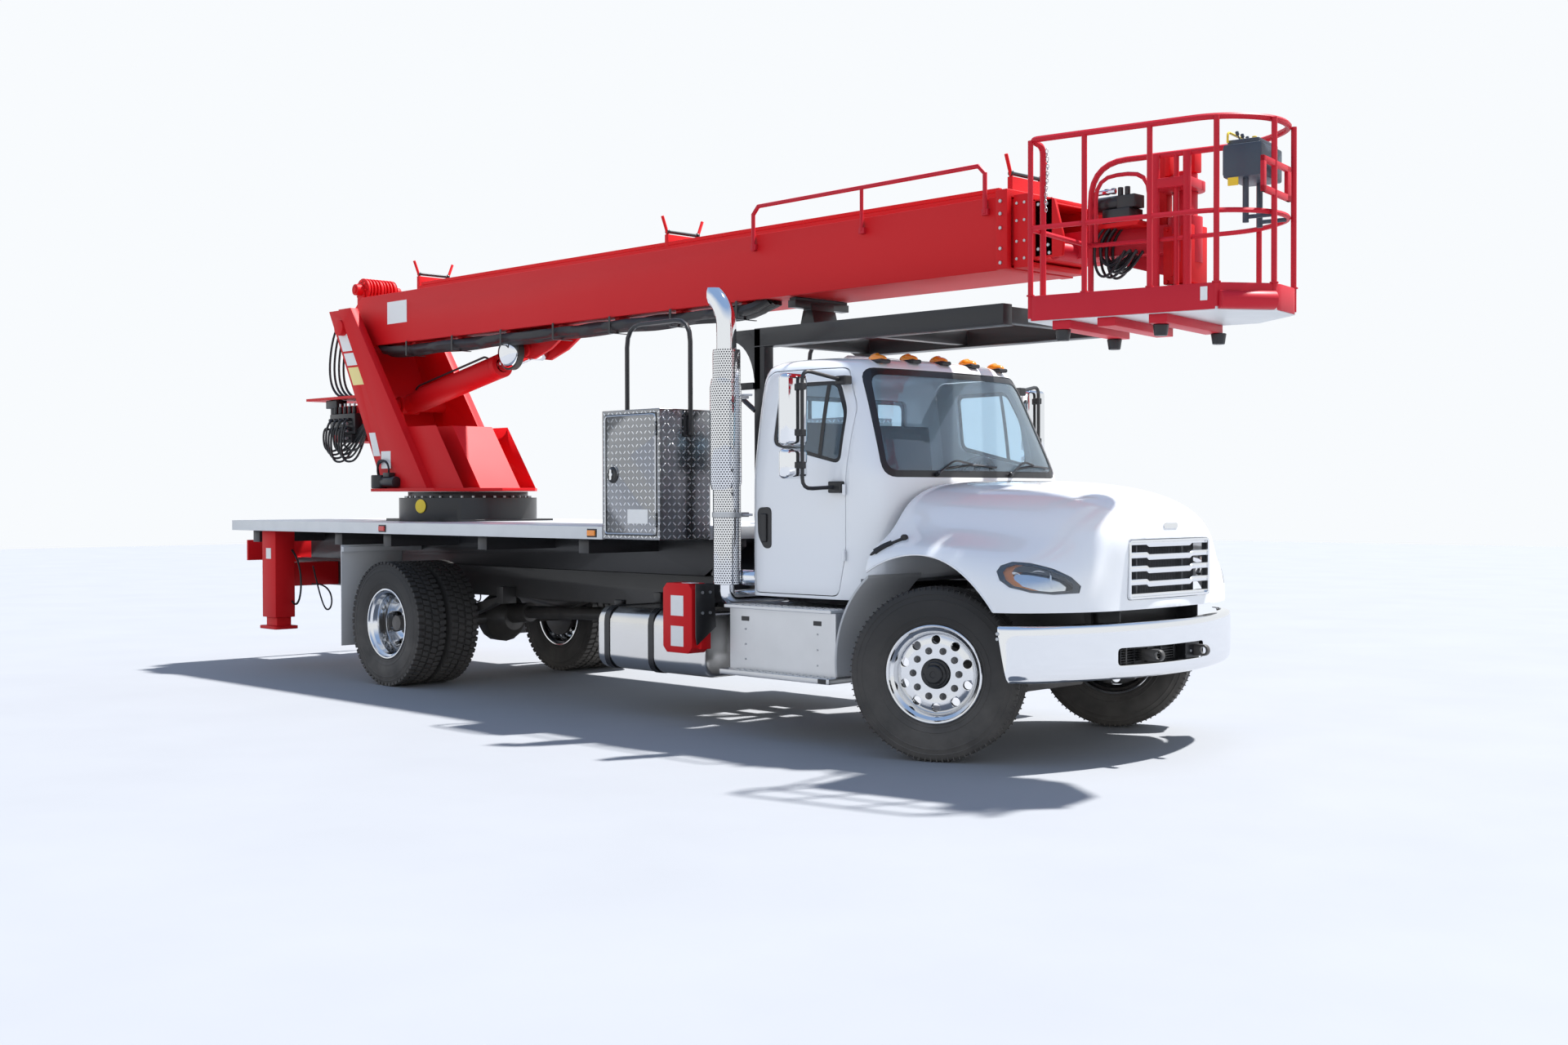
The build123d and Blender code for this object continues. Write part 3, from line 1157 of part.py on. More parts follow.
tip_half = mid_half - boom_wall - section_gap
tip_z0 = mid_z0 + boom_wall + section_gap
tip_z1 = mid_z1 - boom_wall - section_gap
with BuildPart() as boom_tip:
    box_section(front_axle_x - 7250, level_x - 75, tip_half, tip_z0, tip_z1, boom_wall)
    for side in (-1, 1):
        side_profile([(mid_end_x + 15, tip_z0), (tip_end_x, tip_z0), (tip_end_x + 10, level_z + 70),
                      (tip_end_x - 60, tip_z1), (mid_end_x + 15, tip_z1)], side * (tip_half - 25), side * tip_half)
save(boom_tip, "boom_tip")


# Platform carrier: a levelled bracket, the rotator mast and its motor

arm_half = 95.0
with BuildPart() as carrier:
    rod((level_x, -tip_half + 32, level_z), (level_x, tip_half - 32, level_z), 110)
    arm_points = [(level_x - 50, -60), (level_x - 50, 150), (mast_x - 60, mast_y + arm_half),
                  (mast_x, mast_y + arm_half), (mast_x, mast_y - 70), (mast_x - 120, mast_y - 90),
                  (level_x + 230, -20), (level_x + 120, -60)]
    top_profile(arm_points, level_z - 40, level_z + 130)
    rod((mast_x, mast_y, 2800), (mast_x, mast_y, 3560), mast_diameter)
    rod((mast_x, mast_y, level_z - 110), (mast_x, mast_y, level_z + 170), mast_diameter + 60)
    side_profile([(level_x + 60, level_z - 30), (mast_x, level_z - 30), (mast_x, level_z - 210)],
                 mast_y - 15, mast_y + 15)
save(carrier, "platform_carrier")

spin = radians(basket_turn)
basket_plane = Plane(origin=(basket_corner_x, basket_corner_y, 0), x_dir=(cos(spin), sin(spin), 0), z_dir=(0, 0, 1))


def basket_point(along, across, z):
    """A point given by its distance along and across the basket from the rear right corner."""
    place = basket_plane.from_local_coords(Vector(along, across, z))
    return (place.X, place.Y, place.Z)


nose = 250.0
cut = 330.0
basket_ring = [(0.0, 0.0), (basket_length - nose, 0.0), (basket_length, nose),
               (basket_length, basket_width - cut), (basket_length - cut, basket_width), (0.0, basket_width)]


def rail_ring(z, diameter):
    """A tube round the basket's outline at one height."""
    inset = basket_tube / 2
    middle = [(inset, inset), (basket_length - nose, inset), (basket_length - inset, nose),
              (basket_length - inset, basket_width - cut), (basket_length - cut, basket_width - inset),
              (inset, basket_width - inset)]
    corners = [basket_point(a, b, z) for a, b in middle]
    for start, end in zip(corners, corners[1:] + corners[:1]):
        # Each run goes on past its corners by a quarter of the tube, where it meets the next
        past = (Vector(*end) - Vector(*start)).normalized() * diameter / 4
        tube(Vector(*start) - past, Vector(*end) + past, diameter)


post_in = basket_tube / 2
side_run = basket_length - nose - post_in
basket_posts = [
    # along, across
    (post_in, post_in), (post_in + side_run * 0.3, post_in), (post_in + side_run * 0.65, post_in),
    (post_in + side_run, post_in), (basket_length - post_in, nose),
    (basket_length - post_in, basket_width - cut), (basket_length - cut, basket_width - post_in),
    (basket_length / 2 - 140, basket_width - post_in), (post_in, basket_width - post_in), (post_in, 470.0),
]
with BuildPart() as basket:
    floor = [basket_point(a, b, 0)[:2] for a, b in basket_ring]
    top_profile(floor, basket_floor_z, basket_floor_z + 30)
    inner = [(toe_wall, toe_wall), (basket_length - nose - 4, toe_wall), (basket_length - toe_wall, nose + 4),
             (basket_length - toe_wall, basket_width - cut - 6), (basket_length - cut - 6, basket_width - toe_wall),
             (toe_wall, basket_width - toe_wall)]
    top_profile(floor, basket_floor_z + 25, basket_floor_z + basket_toe)
    top_profile([basket_point(a, b, 0)[:2] for a, b in inner], basket_floor_z + 30,
                basket_floor_z + basket_toe + 5, mode=Mode.SUBTRACT)
    rail_ring(basket_rail_z, basket_tube)
    rail_ring(basket_mid_z, mid_rail)
    for along, across in basket_posts:
        tube(basket_point(along, across, basket_floor_z + 20), basket_point(along, across, basket_rail_z),
             basket_post)
    # Feet on arms under the floor
    for along, across in ((200.0, 80.0), (190.0, basket_width - 90), (basket_length - 620, 120.0),
                          (basket_length - 630, basket_width - 60)):
        x, y, z = basket_point(along, across, 0)
        tube((x, y, basket_floor_z - 55), (x, y, basket_floor_z + 5), 150)
        tube((x, y, basket_floor_z - 115), (x, y, basket_floor_z - 50), 90)
    # Bracket that turns on the mast
    for z in (2830.0, 3480.0):
        near = basket_plane.to_local_coords(Vector(mast_x, mast_y, 0))
        with BuildPart(mode=Mode.PRIVATE) as bracket:
            rod((mast_x, mast_y, z - 30), (mast_x, mast_y, z + 30), mast_diameter + 90)
            corners = [basket_point(near.X - 120, near.Y, 0)[:2], basket_point(near.X + 120, near.Y, 0)[:2],
                       basket_point(near.X + 120, basket_width - 25, 0)[:2],
                       basket_point(near.X - 120, basket_width - 25, 0)[:2]]
            top_profile(corners[::-1], z - 30, z + 30)
        add(bracket.part)
    for offset in (-100.0, 100.0):
        tube(basket_point(near.X + offset, basket_width - 40, basket_floor_z + 20),
             basket_point(near.X + offset, basket_width - 40, basket_rail_z), 50)
    rod((mast_x, mast_y, 2780), (mast_x, mast_y, 3600), mast_diameter + 6, mode=Mode.SUBTRACT)
save(basket, "basket")

console_along = basket_length - 190
console_across = 385.0
with BuildPart() as console:
    x, y, z = basket_point(console_along, console_across, 0)
    with Locations(Location((x, y, 3450), (0, 0, basket_turn))):
        Box(230, 360, 230)
    for offset in (-110.0, 110.0):
        across = console_across + offset
        rod(basket_point(console_along, across, 3350), basket_point(console_along, across, basket_mid_z - 30), 34)
        rod(basket_point(console_along, across, basket_mid_z),
            basket_point(basket_length - basket_tube / 2 - mid_rail / 2, across, basket_mid_z), 24)
save(console, "control_console")

print("lift cylinder", round(lift_length, 1), round(degrees(lift_angle), 2))
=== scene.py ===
import bpy
import json
from math import cos, hypot, pi, radians, sin
from mathutils import Matrix, Vector


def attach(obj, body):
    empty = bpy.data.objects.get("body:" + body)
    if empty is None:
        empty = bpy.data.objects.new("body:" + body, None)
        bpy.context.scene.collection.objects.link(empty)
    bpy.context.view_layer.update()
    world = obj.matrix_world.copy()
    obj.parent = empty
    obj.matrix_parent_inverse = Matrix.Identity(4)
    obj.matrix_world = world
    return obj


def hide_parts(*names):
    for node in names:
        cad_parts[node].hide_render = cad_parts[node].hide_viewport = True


# Cherry picker truck. Metres, x forward, y to the driver's left, z up.
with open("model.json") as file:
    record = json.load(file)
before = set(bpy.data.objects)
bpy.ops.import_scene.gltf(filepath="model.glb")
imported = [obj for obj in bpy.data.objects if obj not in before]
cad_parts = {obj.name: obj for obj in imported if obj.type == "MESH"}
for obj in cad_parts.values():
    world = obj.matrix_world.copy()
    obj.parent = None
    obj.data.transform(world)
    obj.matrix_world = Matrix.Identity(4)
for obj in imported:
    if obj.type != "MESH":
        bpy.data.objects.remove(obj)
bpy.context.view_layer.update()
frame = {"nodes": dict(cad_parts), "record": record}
nodes = frame["nodes"]
record = frame["record"]
jointNamed = {joint["name"]: joint for joint in record["behaviour"]["joints"]}
bodyOfNode = {node: body for body, group in record["behaviour"]["bodies"].items() for node in group}
slotOfNode = {part["node"]: part["material_slot"] for part in record["subparts"]}
axleX = jointNamed["steer_left"]["pos_m"][0]      # the front axle: stations are counted from here
hubZ = jointNamed["steer_left"]["pos_m"][2]
bothSides = (("right", -1), ("left", 1))
print("frame loaded,", len(nodes), "nodes")


# Small tools

def deselect():
    bpy.ops.object.select_all(action="DESELECT")


def pick(piece):
    deselect()
    piece.select_set(True)
    bpy.context.view_layer.objects.active = piece


def settle(piece):
    pick(piece)
    bpy.ops.object.transform_apply(location=True, rotation=True, scale=True)


def useModifier(piece, kind, **settings):
    pick(piece)
    modifier = piece.modifiers.new(kind.title(), kind)
    for name, value in settings.items():
        setattr(modifier, name, value)
    bpy.ops.object.modifier_apply(modifier=modifier.name)


def softenEdges(piece, width, segments=2, angle=35):
    useModifier(piece, "BEVEL", width=width, segments=segments, limit_method="ANGLE",
                angle_limit=radians(angle))


def smoothFaces(piece, angle=35):
    pick(piece)
    bpy.ops.object.shade_smooth_by_angle(angle=radians(angle))
    return piece


def newPiece(name, data):
    piece = bpy.data.objects.new(name, data)
    bpy.context.scene.collection.objects.link(piece)
    pick(piece)
    return piece


def meshPiece(name, points, edges, faces):
    mesh = bpy.data.meshes.new(name)
    mesh.from_pydata(points, edges, faces)
    return newPiece(name, mesh)


def openMesh():
    bpy.ops.object.mode_set(mode="EDIT")
    bpy.ops.mesh.select_all(action="SELECT")


def closeMesh():
    # Faces are turned outwards before the mesh is left
    bpy.ops.mesh.normals_make_consistent(inside=False)
    bpy.ops.object.mode_set(mode="OBJECT")


def joinPieces(pieces, name):
    deselect()
    for piece in pieces:
        piece.select_set(True)
    bpy.context.view_layer.objects.active = pieces[0]
    if len(pieces) > 1:
        bpy.ops.object.join()
    joined = bpy.context.view_layer.objects.active
    joined.name = name
    return joined


def copyOf(piece, name):
    twin = piece.copy()
    twin.data = piece.data.copy()
    twin.name = name
    bpy.context.scene.collection.objects.link(twin)
    return twin


def drop(*pieces):
    for piece in pieces:
        bpy.data.objects.remove(piece, do_unlink=True)


def at(station, y, z):
    # Stations are metres ahead of the front axle
    return Vector((axleX + station, y, z))


def slab(name, low, high, bevel=0.0, segments=2):
    # A block between two corners, its edges rounded when a bevel is given
    low, high = Vector(low), Vector(high)
    deselect()
    bpy.ops.mesh.primitive_cube_add(size=1, location=(low + high) / 2)
    piece = bpy.context.view_layer.objects.active
    piece.scale = [abs(side) for side in high - low]
    settle(piece)
    if bevel:
        softenEdges(piece, bevel, segments, 20)
    piece.name = name
    return piece


def prism(name, outline, start, end, axis="y", bevel=0.0, segments=2):
    # A flat outline drawn out along one axis. The outline's points give the other two, in x, y, z order.
    def place(first, second, depth):
        return {"x": (depth, first, second), "y": (first, depth, second), "z": (first, second, depth)}[axis]
    piece = meshPiece(name, [place(*point, start) for point in outline], [], [list(range(len(outline)))])
    openMesh()
    bpy.ops.mesh.extrude_region_move(TRANSFORM_OT_translate={"value": place(0, 0, end - start)})
    bpy.ops.mesh.select_all(action="SELECT")
    closeMesh()
    if bevel:
        softenEdges(piece, bevel, segments, 20)
    return piece


def drum(name, start, end, radius, sides=24, bevel=0.0, endRadius=None):
    # A round bar or disc between two points
    start, end = Vector(start), Vector(end)
    along = end - start
    deselect()
    if endRadius is None:
        bpy.ops.mesh.primitive_cylinder_add(vertices=sides, radius=radius, depth=along.length)
    else:
        bpy.ops.mesh.primitive_cone_add(vertices=sides, radius1=radius, radius2=endRadius, depth=along.length)
    piece = bpy.context.view_layer.objects.active
    piece.rotation_mode = "QUATERNION"
    piece.rotation_quaternion = along.to_track_quat("Z", "Y")
    piece.location = (start + end) / 2
    settle(piece)
    if bevel:
        softenEdges(piece, bevel, 2, 50)
    piece.name = name
    return piece


def arcPoints(first, pull, last, steps):
    # Points on the curve from first to last that is drawn towards pull
    shares = [step / steps for step in range(steps + 1)]
    return [first * (1 - share) ** 2 + pull * 2 * share * (1 - share) + last * share ** 2 for share in shares]


def cornerArc(before, corner, after, reach, most, steps):
    # The arc that takes a corner's place. It reaches along at most the given share of either side.
    toBefore, toAfter = before - corner, after - corner
    reach = min(reach, toBefore.length * most, toAfter.length * most)
    return arcPoints(corner + toBefore.normalized() * reach, corner, corner + toAfter.normalized() * reach,
                     steps)


def tubeAlong(name, route, radius, sides, smoothing, steps=0, closed=False):
    # Straight runs from point to point, or one smooth curve where steps are given
    curve = bpy.data.curves.new(name, "CURVE")
    curve.dimensions = "3D"
    curve.bevel_depth = radius
    curve.bevel_resolution = max(0, sides // 4 - 1)
    curve.use_fill_caps = True
    if steps:
        curve.resolution_u = steps
    spline = curve.splines.new("NURBS" if steps else "POLY")
    spline.points.add(len(route) - 1)
    for index, point in enumerate(route):
        spline.points[index].co = (*point, 1)
    spline.use_cyclic_u = closed
    if steps:
        spline.order_u = 4
        spline.use_endpoint_u = True
    piece = newPiece(name, curve)
    bpy.ops.object.convert(target="MESH")
    return smoothFaces(piece, smoothing)


def pipe(name, points, radius, corner=0.0, sides=10, closed=False, cornerSteps=4):
    # A tube along straight runs, each corner rounded by an arc (one reach, or a list with one a point)
    points = [Vector(point) for point in points]
    count = len(points)
    corners = corner if isinstance(corner, list) else [corner] * count
    route = []
    for index, point in enumerate(points):
        if corners[index] and (closed or 0 < index < count - 1):
            after = points[(index + 1) % count]
            route += cornerArc(points[index - 1], point, after, corners[index], 0.48, cornerSteps)
        else:
            route.append(point)
    return tubeAlong(name, route, radius, sides, 40, closed=closed)


def hose(name, points, radius, steps=6):
    # A bending hose or cable: one smooth curve within the cage of its points
    return tubeAlong(name, points, radius, 8, 60, steps)


def lathe(name, profile, centre=(0, 0, 0), axis=(0, 0, 1), steps=64):
    # A profile of (radius, offset along the axis) points spun once round the axis
    piece = meshPiece(name, [(radius, 0, offset) for radius, offset in profile],
                      [(index, index + 1) for index in range(len(profile) - 1)], [])
    openMesh()
    bpy.ops.mesh.spin(steps=steps, angle=2 * pi, center=(0, 0, 0), axis=(0, 0, 1))
    bpy.ops.mesh.select_all(action="SELECT")
    bpy.ops.mesh.remove_doubles(threshold=0.00005)
    closeMesh()
    piece.rotation_mode = "QUATERNION"
    piece.rotation_quaternion = Vector(axis).to_track_quat("Z", "Y")
    piece.location = centre
    settle(piece)
    return smoothFaces(piece, 30)


def combine(piece, tool, operation="DIFFERENCE", keepTool=False):
    useModifier(piece, "BOOLEAN", object=tool, operation=operation, solver="EXACT")
    if not keepTool:
        drop(tool)


def ringOf(piece, count):
    # Copies turned evenly round the z axis and joined with the first
    copies = [piece]
    for index in range(1, count):
        twin = copyOf(piece, f"{piece.name}_{index}")
        twin.data.transform(Matrix.Rotation(2 * pi * index / count, 4, Vector((0, 0, 1))))
        copies.append(twin)
    return joinPieces(copies, piece.name)


def mirrored(piece, name):
    # The same piece on the other side of the machine
    twin = copyOf(piece, name)
    twin.data.transform(Matrix.Scale(-1, 4, (0, 1, 0)))
    twin.data.flip_normals()
    return twin


def paint(piece, material):
    piece.data.materials.clear()
    piece.data.materials.append(material)


def fit(piece, node, look, *replaced, slot=None):
    # Last step for a new piece: its finish, the body of the node that it goes with (or "root"), and the nodes
    # that it stands for, which are hidden. The slot argument is not used.
    paint(piece, finish[look])
    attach(piece, bodyOfNode.get(node, "root"))
    if replaced:
        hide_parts(*replaced)
    return piece


# Stage: grey ground, a pale sky that turns blue higher up, and one sun from behind on the left

stageSettings = {"floorSize": 90, "sunStrength": 8.4, "sunSize": 0.03, "sky": 1.0,
                 "sunTravel": (-0.55, -1.5, -3.1), "lens": 39.2}

photoCamera = bpy.data.cameras.new("photoCamera")
photoCamera.lens = stageSettings["lens"]
photoCamera.sensor_width = 36
photoCamera.clip_end = 300
cameraObject = bpy.data.objects.new("photoCamera", photoCamera)
bpy.context.scene.collection.objects.link(cameraObject)
cameraObject.location = at(6.729, -8.966, 1.591)
yaw, pitch, roll = radians(45.199), radians(0.861), radians(-0.123)
cameraTurn = Matrix.Rotation(
    yaw, 3, "Z") @ Matrix.Rotation(pi / 2 - pitch, 3, "X") @ Matrix.Rotation(roll, 3, "Z")
cameraObject.rotation_mode = "QUATERNION"
cameraObject.rotation_quaternion = cameraTurn.to_quaternion()
bpy.context.scene.camera = cameraObject

sun = bpy.data.lights.new("sun", "SUN")
sun.energy = stageSettings["sunStrength"]
sun.angle = stageSettings["sunSize"]
sun.color = (1.0, 0.985, 0.96)
sunObject = bpy.data.objects.new("sun", sun)
bpy.context.scene.collection.objects.link(sunObject)
sunObject.rotation_mode = "QUATERNION"
sunObject.rotation_quaternion = Vector(stageSettings["sunTravel"]).to_track_quat("-Z", "Y")

sky = bpy.data.worlds.new("sky")
sky.use_nodes = True
skyPlace = sky.node_tree.nodes.new("ShaderNodeTexCoord")
skyParts = sky.node_tree.nodes.new("ShaderNodeSeparateXYZ")
skyRamp = sky.node_tree.nodes.new("ShaderNodeValToRGB")
skyRamp.color_ramp.elements[0].position, skyRamp.color_ramp.elements[0].color = 0.30, (0.94, 0.965, 0.99, 1)
skyRamp.color_ramp.elements[1].position, skyRamp.color_ramp.elements[1].color = 0.72, (0.30, 0.45, 0.74, 1)
sky.node_tree.links.new(skyPlace.outputs["Generated"], skyParts.inputs[0])
sky.node_tree.links.new(skyParts.outputs["Z"], skyRamp.inputs["Fac"])
sky.node_tree.links.new(skyRamp.outputs["Color"], sky.node_tree.nodes["Background"].inputs["Color"])
sky.node_tree.nodes["Background"].inputs["Strength"].default_value = stageSettings["sky"]
bpy.context.scene.world = sky
bpy.context.scene.view_settings.view_transform = "Standard"


# Shared shader groups

def groupTree(name, inputs, outputs):
    # inputs and outputs are lists of (name, socket type, default)
    tree = bpy.data.node_groups.new(name, "ShaderNodeTree")
    for label, kind, default in inputs:
        socket = tree.interface.new_socket(name=label, in_out="INPUT", socket_type=kind)
        socket.default_value = default
    for label, kind in outputs:
        tree.interface.new_socket(name=label, in_out="OUTPUT", socket_type=kind)
    return tree, tree.nodes.new("NodeGroupInput"), tree.nodes.new("NodeGroupOutput")


def feed(tree, socket, value):
    if hasattr(value, "is_linked"):
        tree.links.new(value, socket)
    else:
        socket.default_value = value


def math(tree, operation, *values):
    node = tree.nodes.new("ShaderNodeMath")
    node.operation = operation
    for socket, value in zip(node.inputs, values):
        feed(tree, socket, value)
    return node.outputs[0]


def mixColor(tree, share, first, second):
    node = tree.nodes.new("ShaderNodeMix")
    node.data_type = "RGBA"
    feed(tree, node.inputs["Factor"], share)
    feed(tree, node.inputs["A"], first)
    feed(tree, node.inputs["B"], second)
    return node.outputs["Result"]


def noise(tree, vector, scale, detail=3.0, rough=0.55):
    node = tree.nodes.new("ShaderNodeTexNoise")
    tree.links.new(vector, node.inputs["Vector"])
    feed(tree, node.inputs["Scale"], scale)
    node.inputs["Detail"].default_value = detail
    node.inputs["Roughness"].default_value = rough
    return node.outputs["Fac"]


def objectPlace(tree):
    return tree.nodes.new("ShaderNodeTexCoord").outputs["Object"]


def makeVariation():
    # Slow drift of colour and gloss over a surface, with a fine grain for its height
    tree, given, out = groupTree("surfaceVariation", [
        ("Color", "NodeSocketColor", (0.5, 0.5, 0.5, 1)), ("Tint", "NodeSocketColor", (0.4, 0.4, 0.4, 1)),
        ("Amount", "NodeSocketFloat", 0.3), ("Scale", "NodeSocketFloat", 3.0),
        ("Grain", "NodeSocketFloat", 200.0), ("Roughness", "NodeSocketFloat", 0.4),
        ("Spread", "NodeSocketFloat", 0.1)], [("Color", "NodeSocketColor"),
                                              ("Roughness", "NodeSocketFloat"),
                                              ("Height", "NodeSocketFloat")])
    place = objectPlace(tree)
    drift = noise(tree, place, given.outputs["Scale"])
    grain = noise(tree, place, given.outputs["Grain"], 2.0)
    share = math(tree, "MULTIPLY", drift, given.outputs["Amount"])
    tree.links.new(mixColor(tree, share, given.outputs["Color"], given.outputs["Tint"]), out.inputs["Color"])
    offset = math(tree, "MULTIPLY", math(tree, "SUBTRACT", drift, 0.5), given.outputs["Spread"])
    tree.links.new(math(tree, "ADD", given.outputs["Roughness"], offset), out.inputs["Roughness"])
    tree.links.new(grain, out.inputs["Height"])
    return tree


def makeRoadDust():
    # Pale dust that thins out upwards from the road
    tree, given, out = groupTree("roadDust", [
        ("Color", "NodeSocketColor", (0.5, 0.5, 0.5, 1)), ("Dust", "NodeSocketColor", (0.42, 0.38, 0.33, 1)),
        ("Top", "NodeSocketFloat", 0.9), ("Amount", "NodeSocketFloat", 0.35)], [("Color", "NodeSocketColor")])
    place = objectPlace(tree)
    parts = tree.nodes.new("ShaderNodeSeparateXYZ")
    tree.links.new(place, parts.inputs[0])
    low = math(tree, "SUBTRACT", 1.0, math(tree, "DIVIDE", parts.outputs["Z"], given.outputs["Top"]))
    low = math(tree, "MAXIMUM", low, 0.0)
    patch = noise(tree, place, 5.0, 5.0)
    share = math(tree, "MULTIPLY", math(tree, "MULTIPLY", low, patch), given.outputs["Amount"])
    share = math(tree, "MINIMUM", math(tree, "MULTIPLY", share, 2.0), 0.9)
    tree.links.new(mixColor(tree, share, given.outputs["Color"], given.outputs["Dust"]), out.inputs["Color"])
    return tree


def makeTreadPlate():
    # Raised lozenges, turned left and right by turns, laid on whichever way the face looks
    tree, given, out = groupTree(
        "treadPlate", [("Pitch", "NodeSocketFloat", 0.036)], [("Height", "NodeSocketFloat")])
    coords = tree.nodes.new("ShaderNodeTexCoord")
    place, facing = tree.nodes.new("ShaderNodeSeparateXYZ"), tree.nodes.new("ShaderNodeSeparateXYZ")
    tree.links.new(coords.outputs["Object"], place.inputs[0])
    tree.links.new(coords.outputs["Normal"], facing.inputs[0])
    isTop = math(tree, "GREATER_THAN", math(tree, "ABSOLUTE", facing.outputs["Z"]), 0.7)
    isSide = math(tree, "GREATER_THAN", math(tree, "ABSOLUTE", facing.outputs["Y"]), 0.7)
    across = math(tree, "MULTIPLY", place.outputs["X"], math(tree, "MAXIMUM", isTop, isSide))
    rest = math(tree, "SUBTRACT", 1.0, math(tree, "MAXIMUM", isTop, isSide))
    across = math(tree, "ADD", across, math(tree, "MULTIPLY", place.outputs["Y"], rest))
    up = math(tree, "ADD", math(tree, "MULTIPLY", place.outputs["Y"], isTop),
              math(tree, "MULTIPLY", place.outputs["Z"], math(tree, "SUBTRACT", 1.0, isTop)))
    first = math(tree, "DIVIDE", across, given.outputs["Pitch"])
    second = math(tree, "DIVIDE", up, given.outputs["Pitch"])
    cells = math(tree, "ADD", math(tree, "FLOOR", first), math(tree, "FLOOR", second))
    odd = math(tree, "GREATER_THAN", math(tree, "MODULO", math(tree, "ABSOLUTE", cells), 2.0), 0.5)
    du = math(tree, "SUBTRACT", math(tree, "FRACT", first), 0.5)
    dv = math(tree, "SUBTRACT", math(tree, "FRACT", second), 0.5)
    sign = math(tree, "SUBTRACT", math(tree, "MULTIPLY", odd, 2.0), 1.0)
    long = math(tree, "ADD", du, math(tree, "MULTIPLY", sign, dv))
    wide = math(tree, "SUBTRACT", dv, math(tree, "MULTIPLY", sign, du))
    long = math(tree, "POWER", math(tree, "DIVIDE", long, 0.60), 2.0)
    wide = math(tree, "POWER", math(tree, "DIVIDE", wide, 0.19), 2.0)
    lug = math(tree, "SUBTRACT", 1.0, math(tree, "ADD", long, wide))
    lug = math(tree, "MINIMUM", math(tree, "MAXIMUM", math(tree, "MULTIPLY", lug, 2.2), 0.0), 1.0)
    tree.links.new(lug, out.inputs["Height"])
    return tree


def makeRoundHoles():
    # Rows of small round holes in a shield round an upright pipe, painted on as dark spots of shade; Place is
    # measured from the pipe's axis
    tree, given, out = groupTree("roundHoles", [
        ("Place", "NodeSocketVector", (0, 0, 0)), ("Rows", "NodeSocketFloat", 34.0),
        ("Pitch", "NodeSocketFloat", 0.0155)], [("Mask", "NodeSocketFloat")])
    parts = tree.nodes.new("ShaderNodeSeparateXYZ")
    tree.links.new(given.outputs["Place"], parts.inputs[0])
    turn = math(tree, "ARCTAN2", parts.outputs["Y"], parts.outputs["X"])
    column = math(tree, "MULTIPLY", math(tree, "DIVIDE", turn, 2 * pi), given.outputs["Rows"])
    row = math(tree, "DIVIDE", parts.outputs["Z"], given.outputs["Pitch"])
    odd = math(tree, "MODULO", math(tree, "ABSOLUTE", math(tree, "FLOOR", row)), 2.0)
    column = math(tree, "ADD", column, math(tree, "MULTIPLY", odd, 0.5))
    du = math(tree, "SUBTRACT", math(tree, "FRACT", math(tree, "ADD", column, 100.0)), 0.5)
    dv = math(tree, "SUBTRACT", math(tree, "FRACT", row), 0.5)
    far = math(tree, "SQRT", math(
        tree, "ADD", math(tree, "MULTIPLY", du, du), math(tree, "MULTIPLY", dv, dv)))
    tree.links.new(math(tree, "LESS_THAN", far, 0.33), out.inputs["Mask"])
    return tree


def makeBrushed():
    # Fine lines along one axis, set by a stretched noise
    tree, given, out = groupTree(
        "brushedLines", [("Stretch", "NodeSocketVector", (2, 90, 90))], [("Height", "NodeSocketFloat")])
    stretch = tree.nodes.new("ShaderNodeVectorMath")
    stretch.operation = "MULTIPLY"
    tree.links.new(objectPlace(tree), stretch.inputs[0])
    tree.links.new(given.outputs["Stretch"], stretch.inputs[1])
    tree.links.new(noise(tree, stretch.outputs[0], 4.0, 4.0), out.inputs["Height"])
    return tree


variation, roadDust, treadPlate = makeVariation(), makeRoadDust(), makeTreadPlate()
roundHoles, brushedLines = makeRoundHoles(), makeBrushed()


def useGroup(tree, group, **values):
    node = tree.nodes.new("ShaderNodeGroup")
    node.node_tree = group
    for label, value in values.items():
        feed(tree, node.inputs[label], value)
    return node.outputs


# Finishes: colour, the tint of its patches, how strong and how large they are, grain, gloss and relief

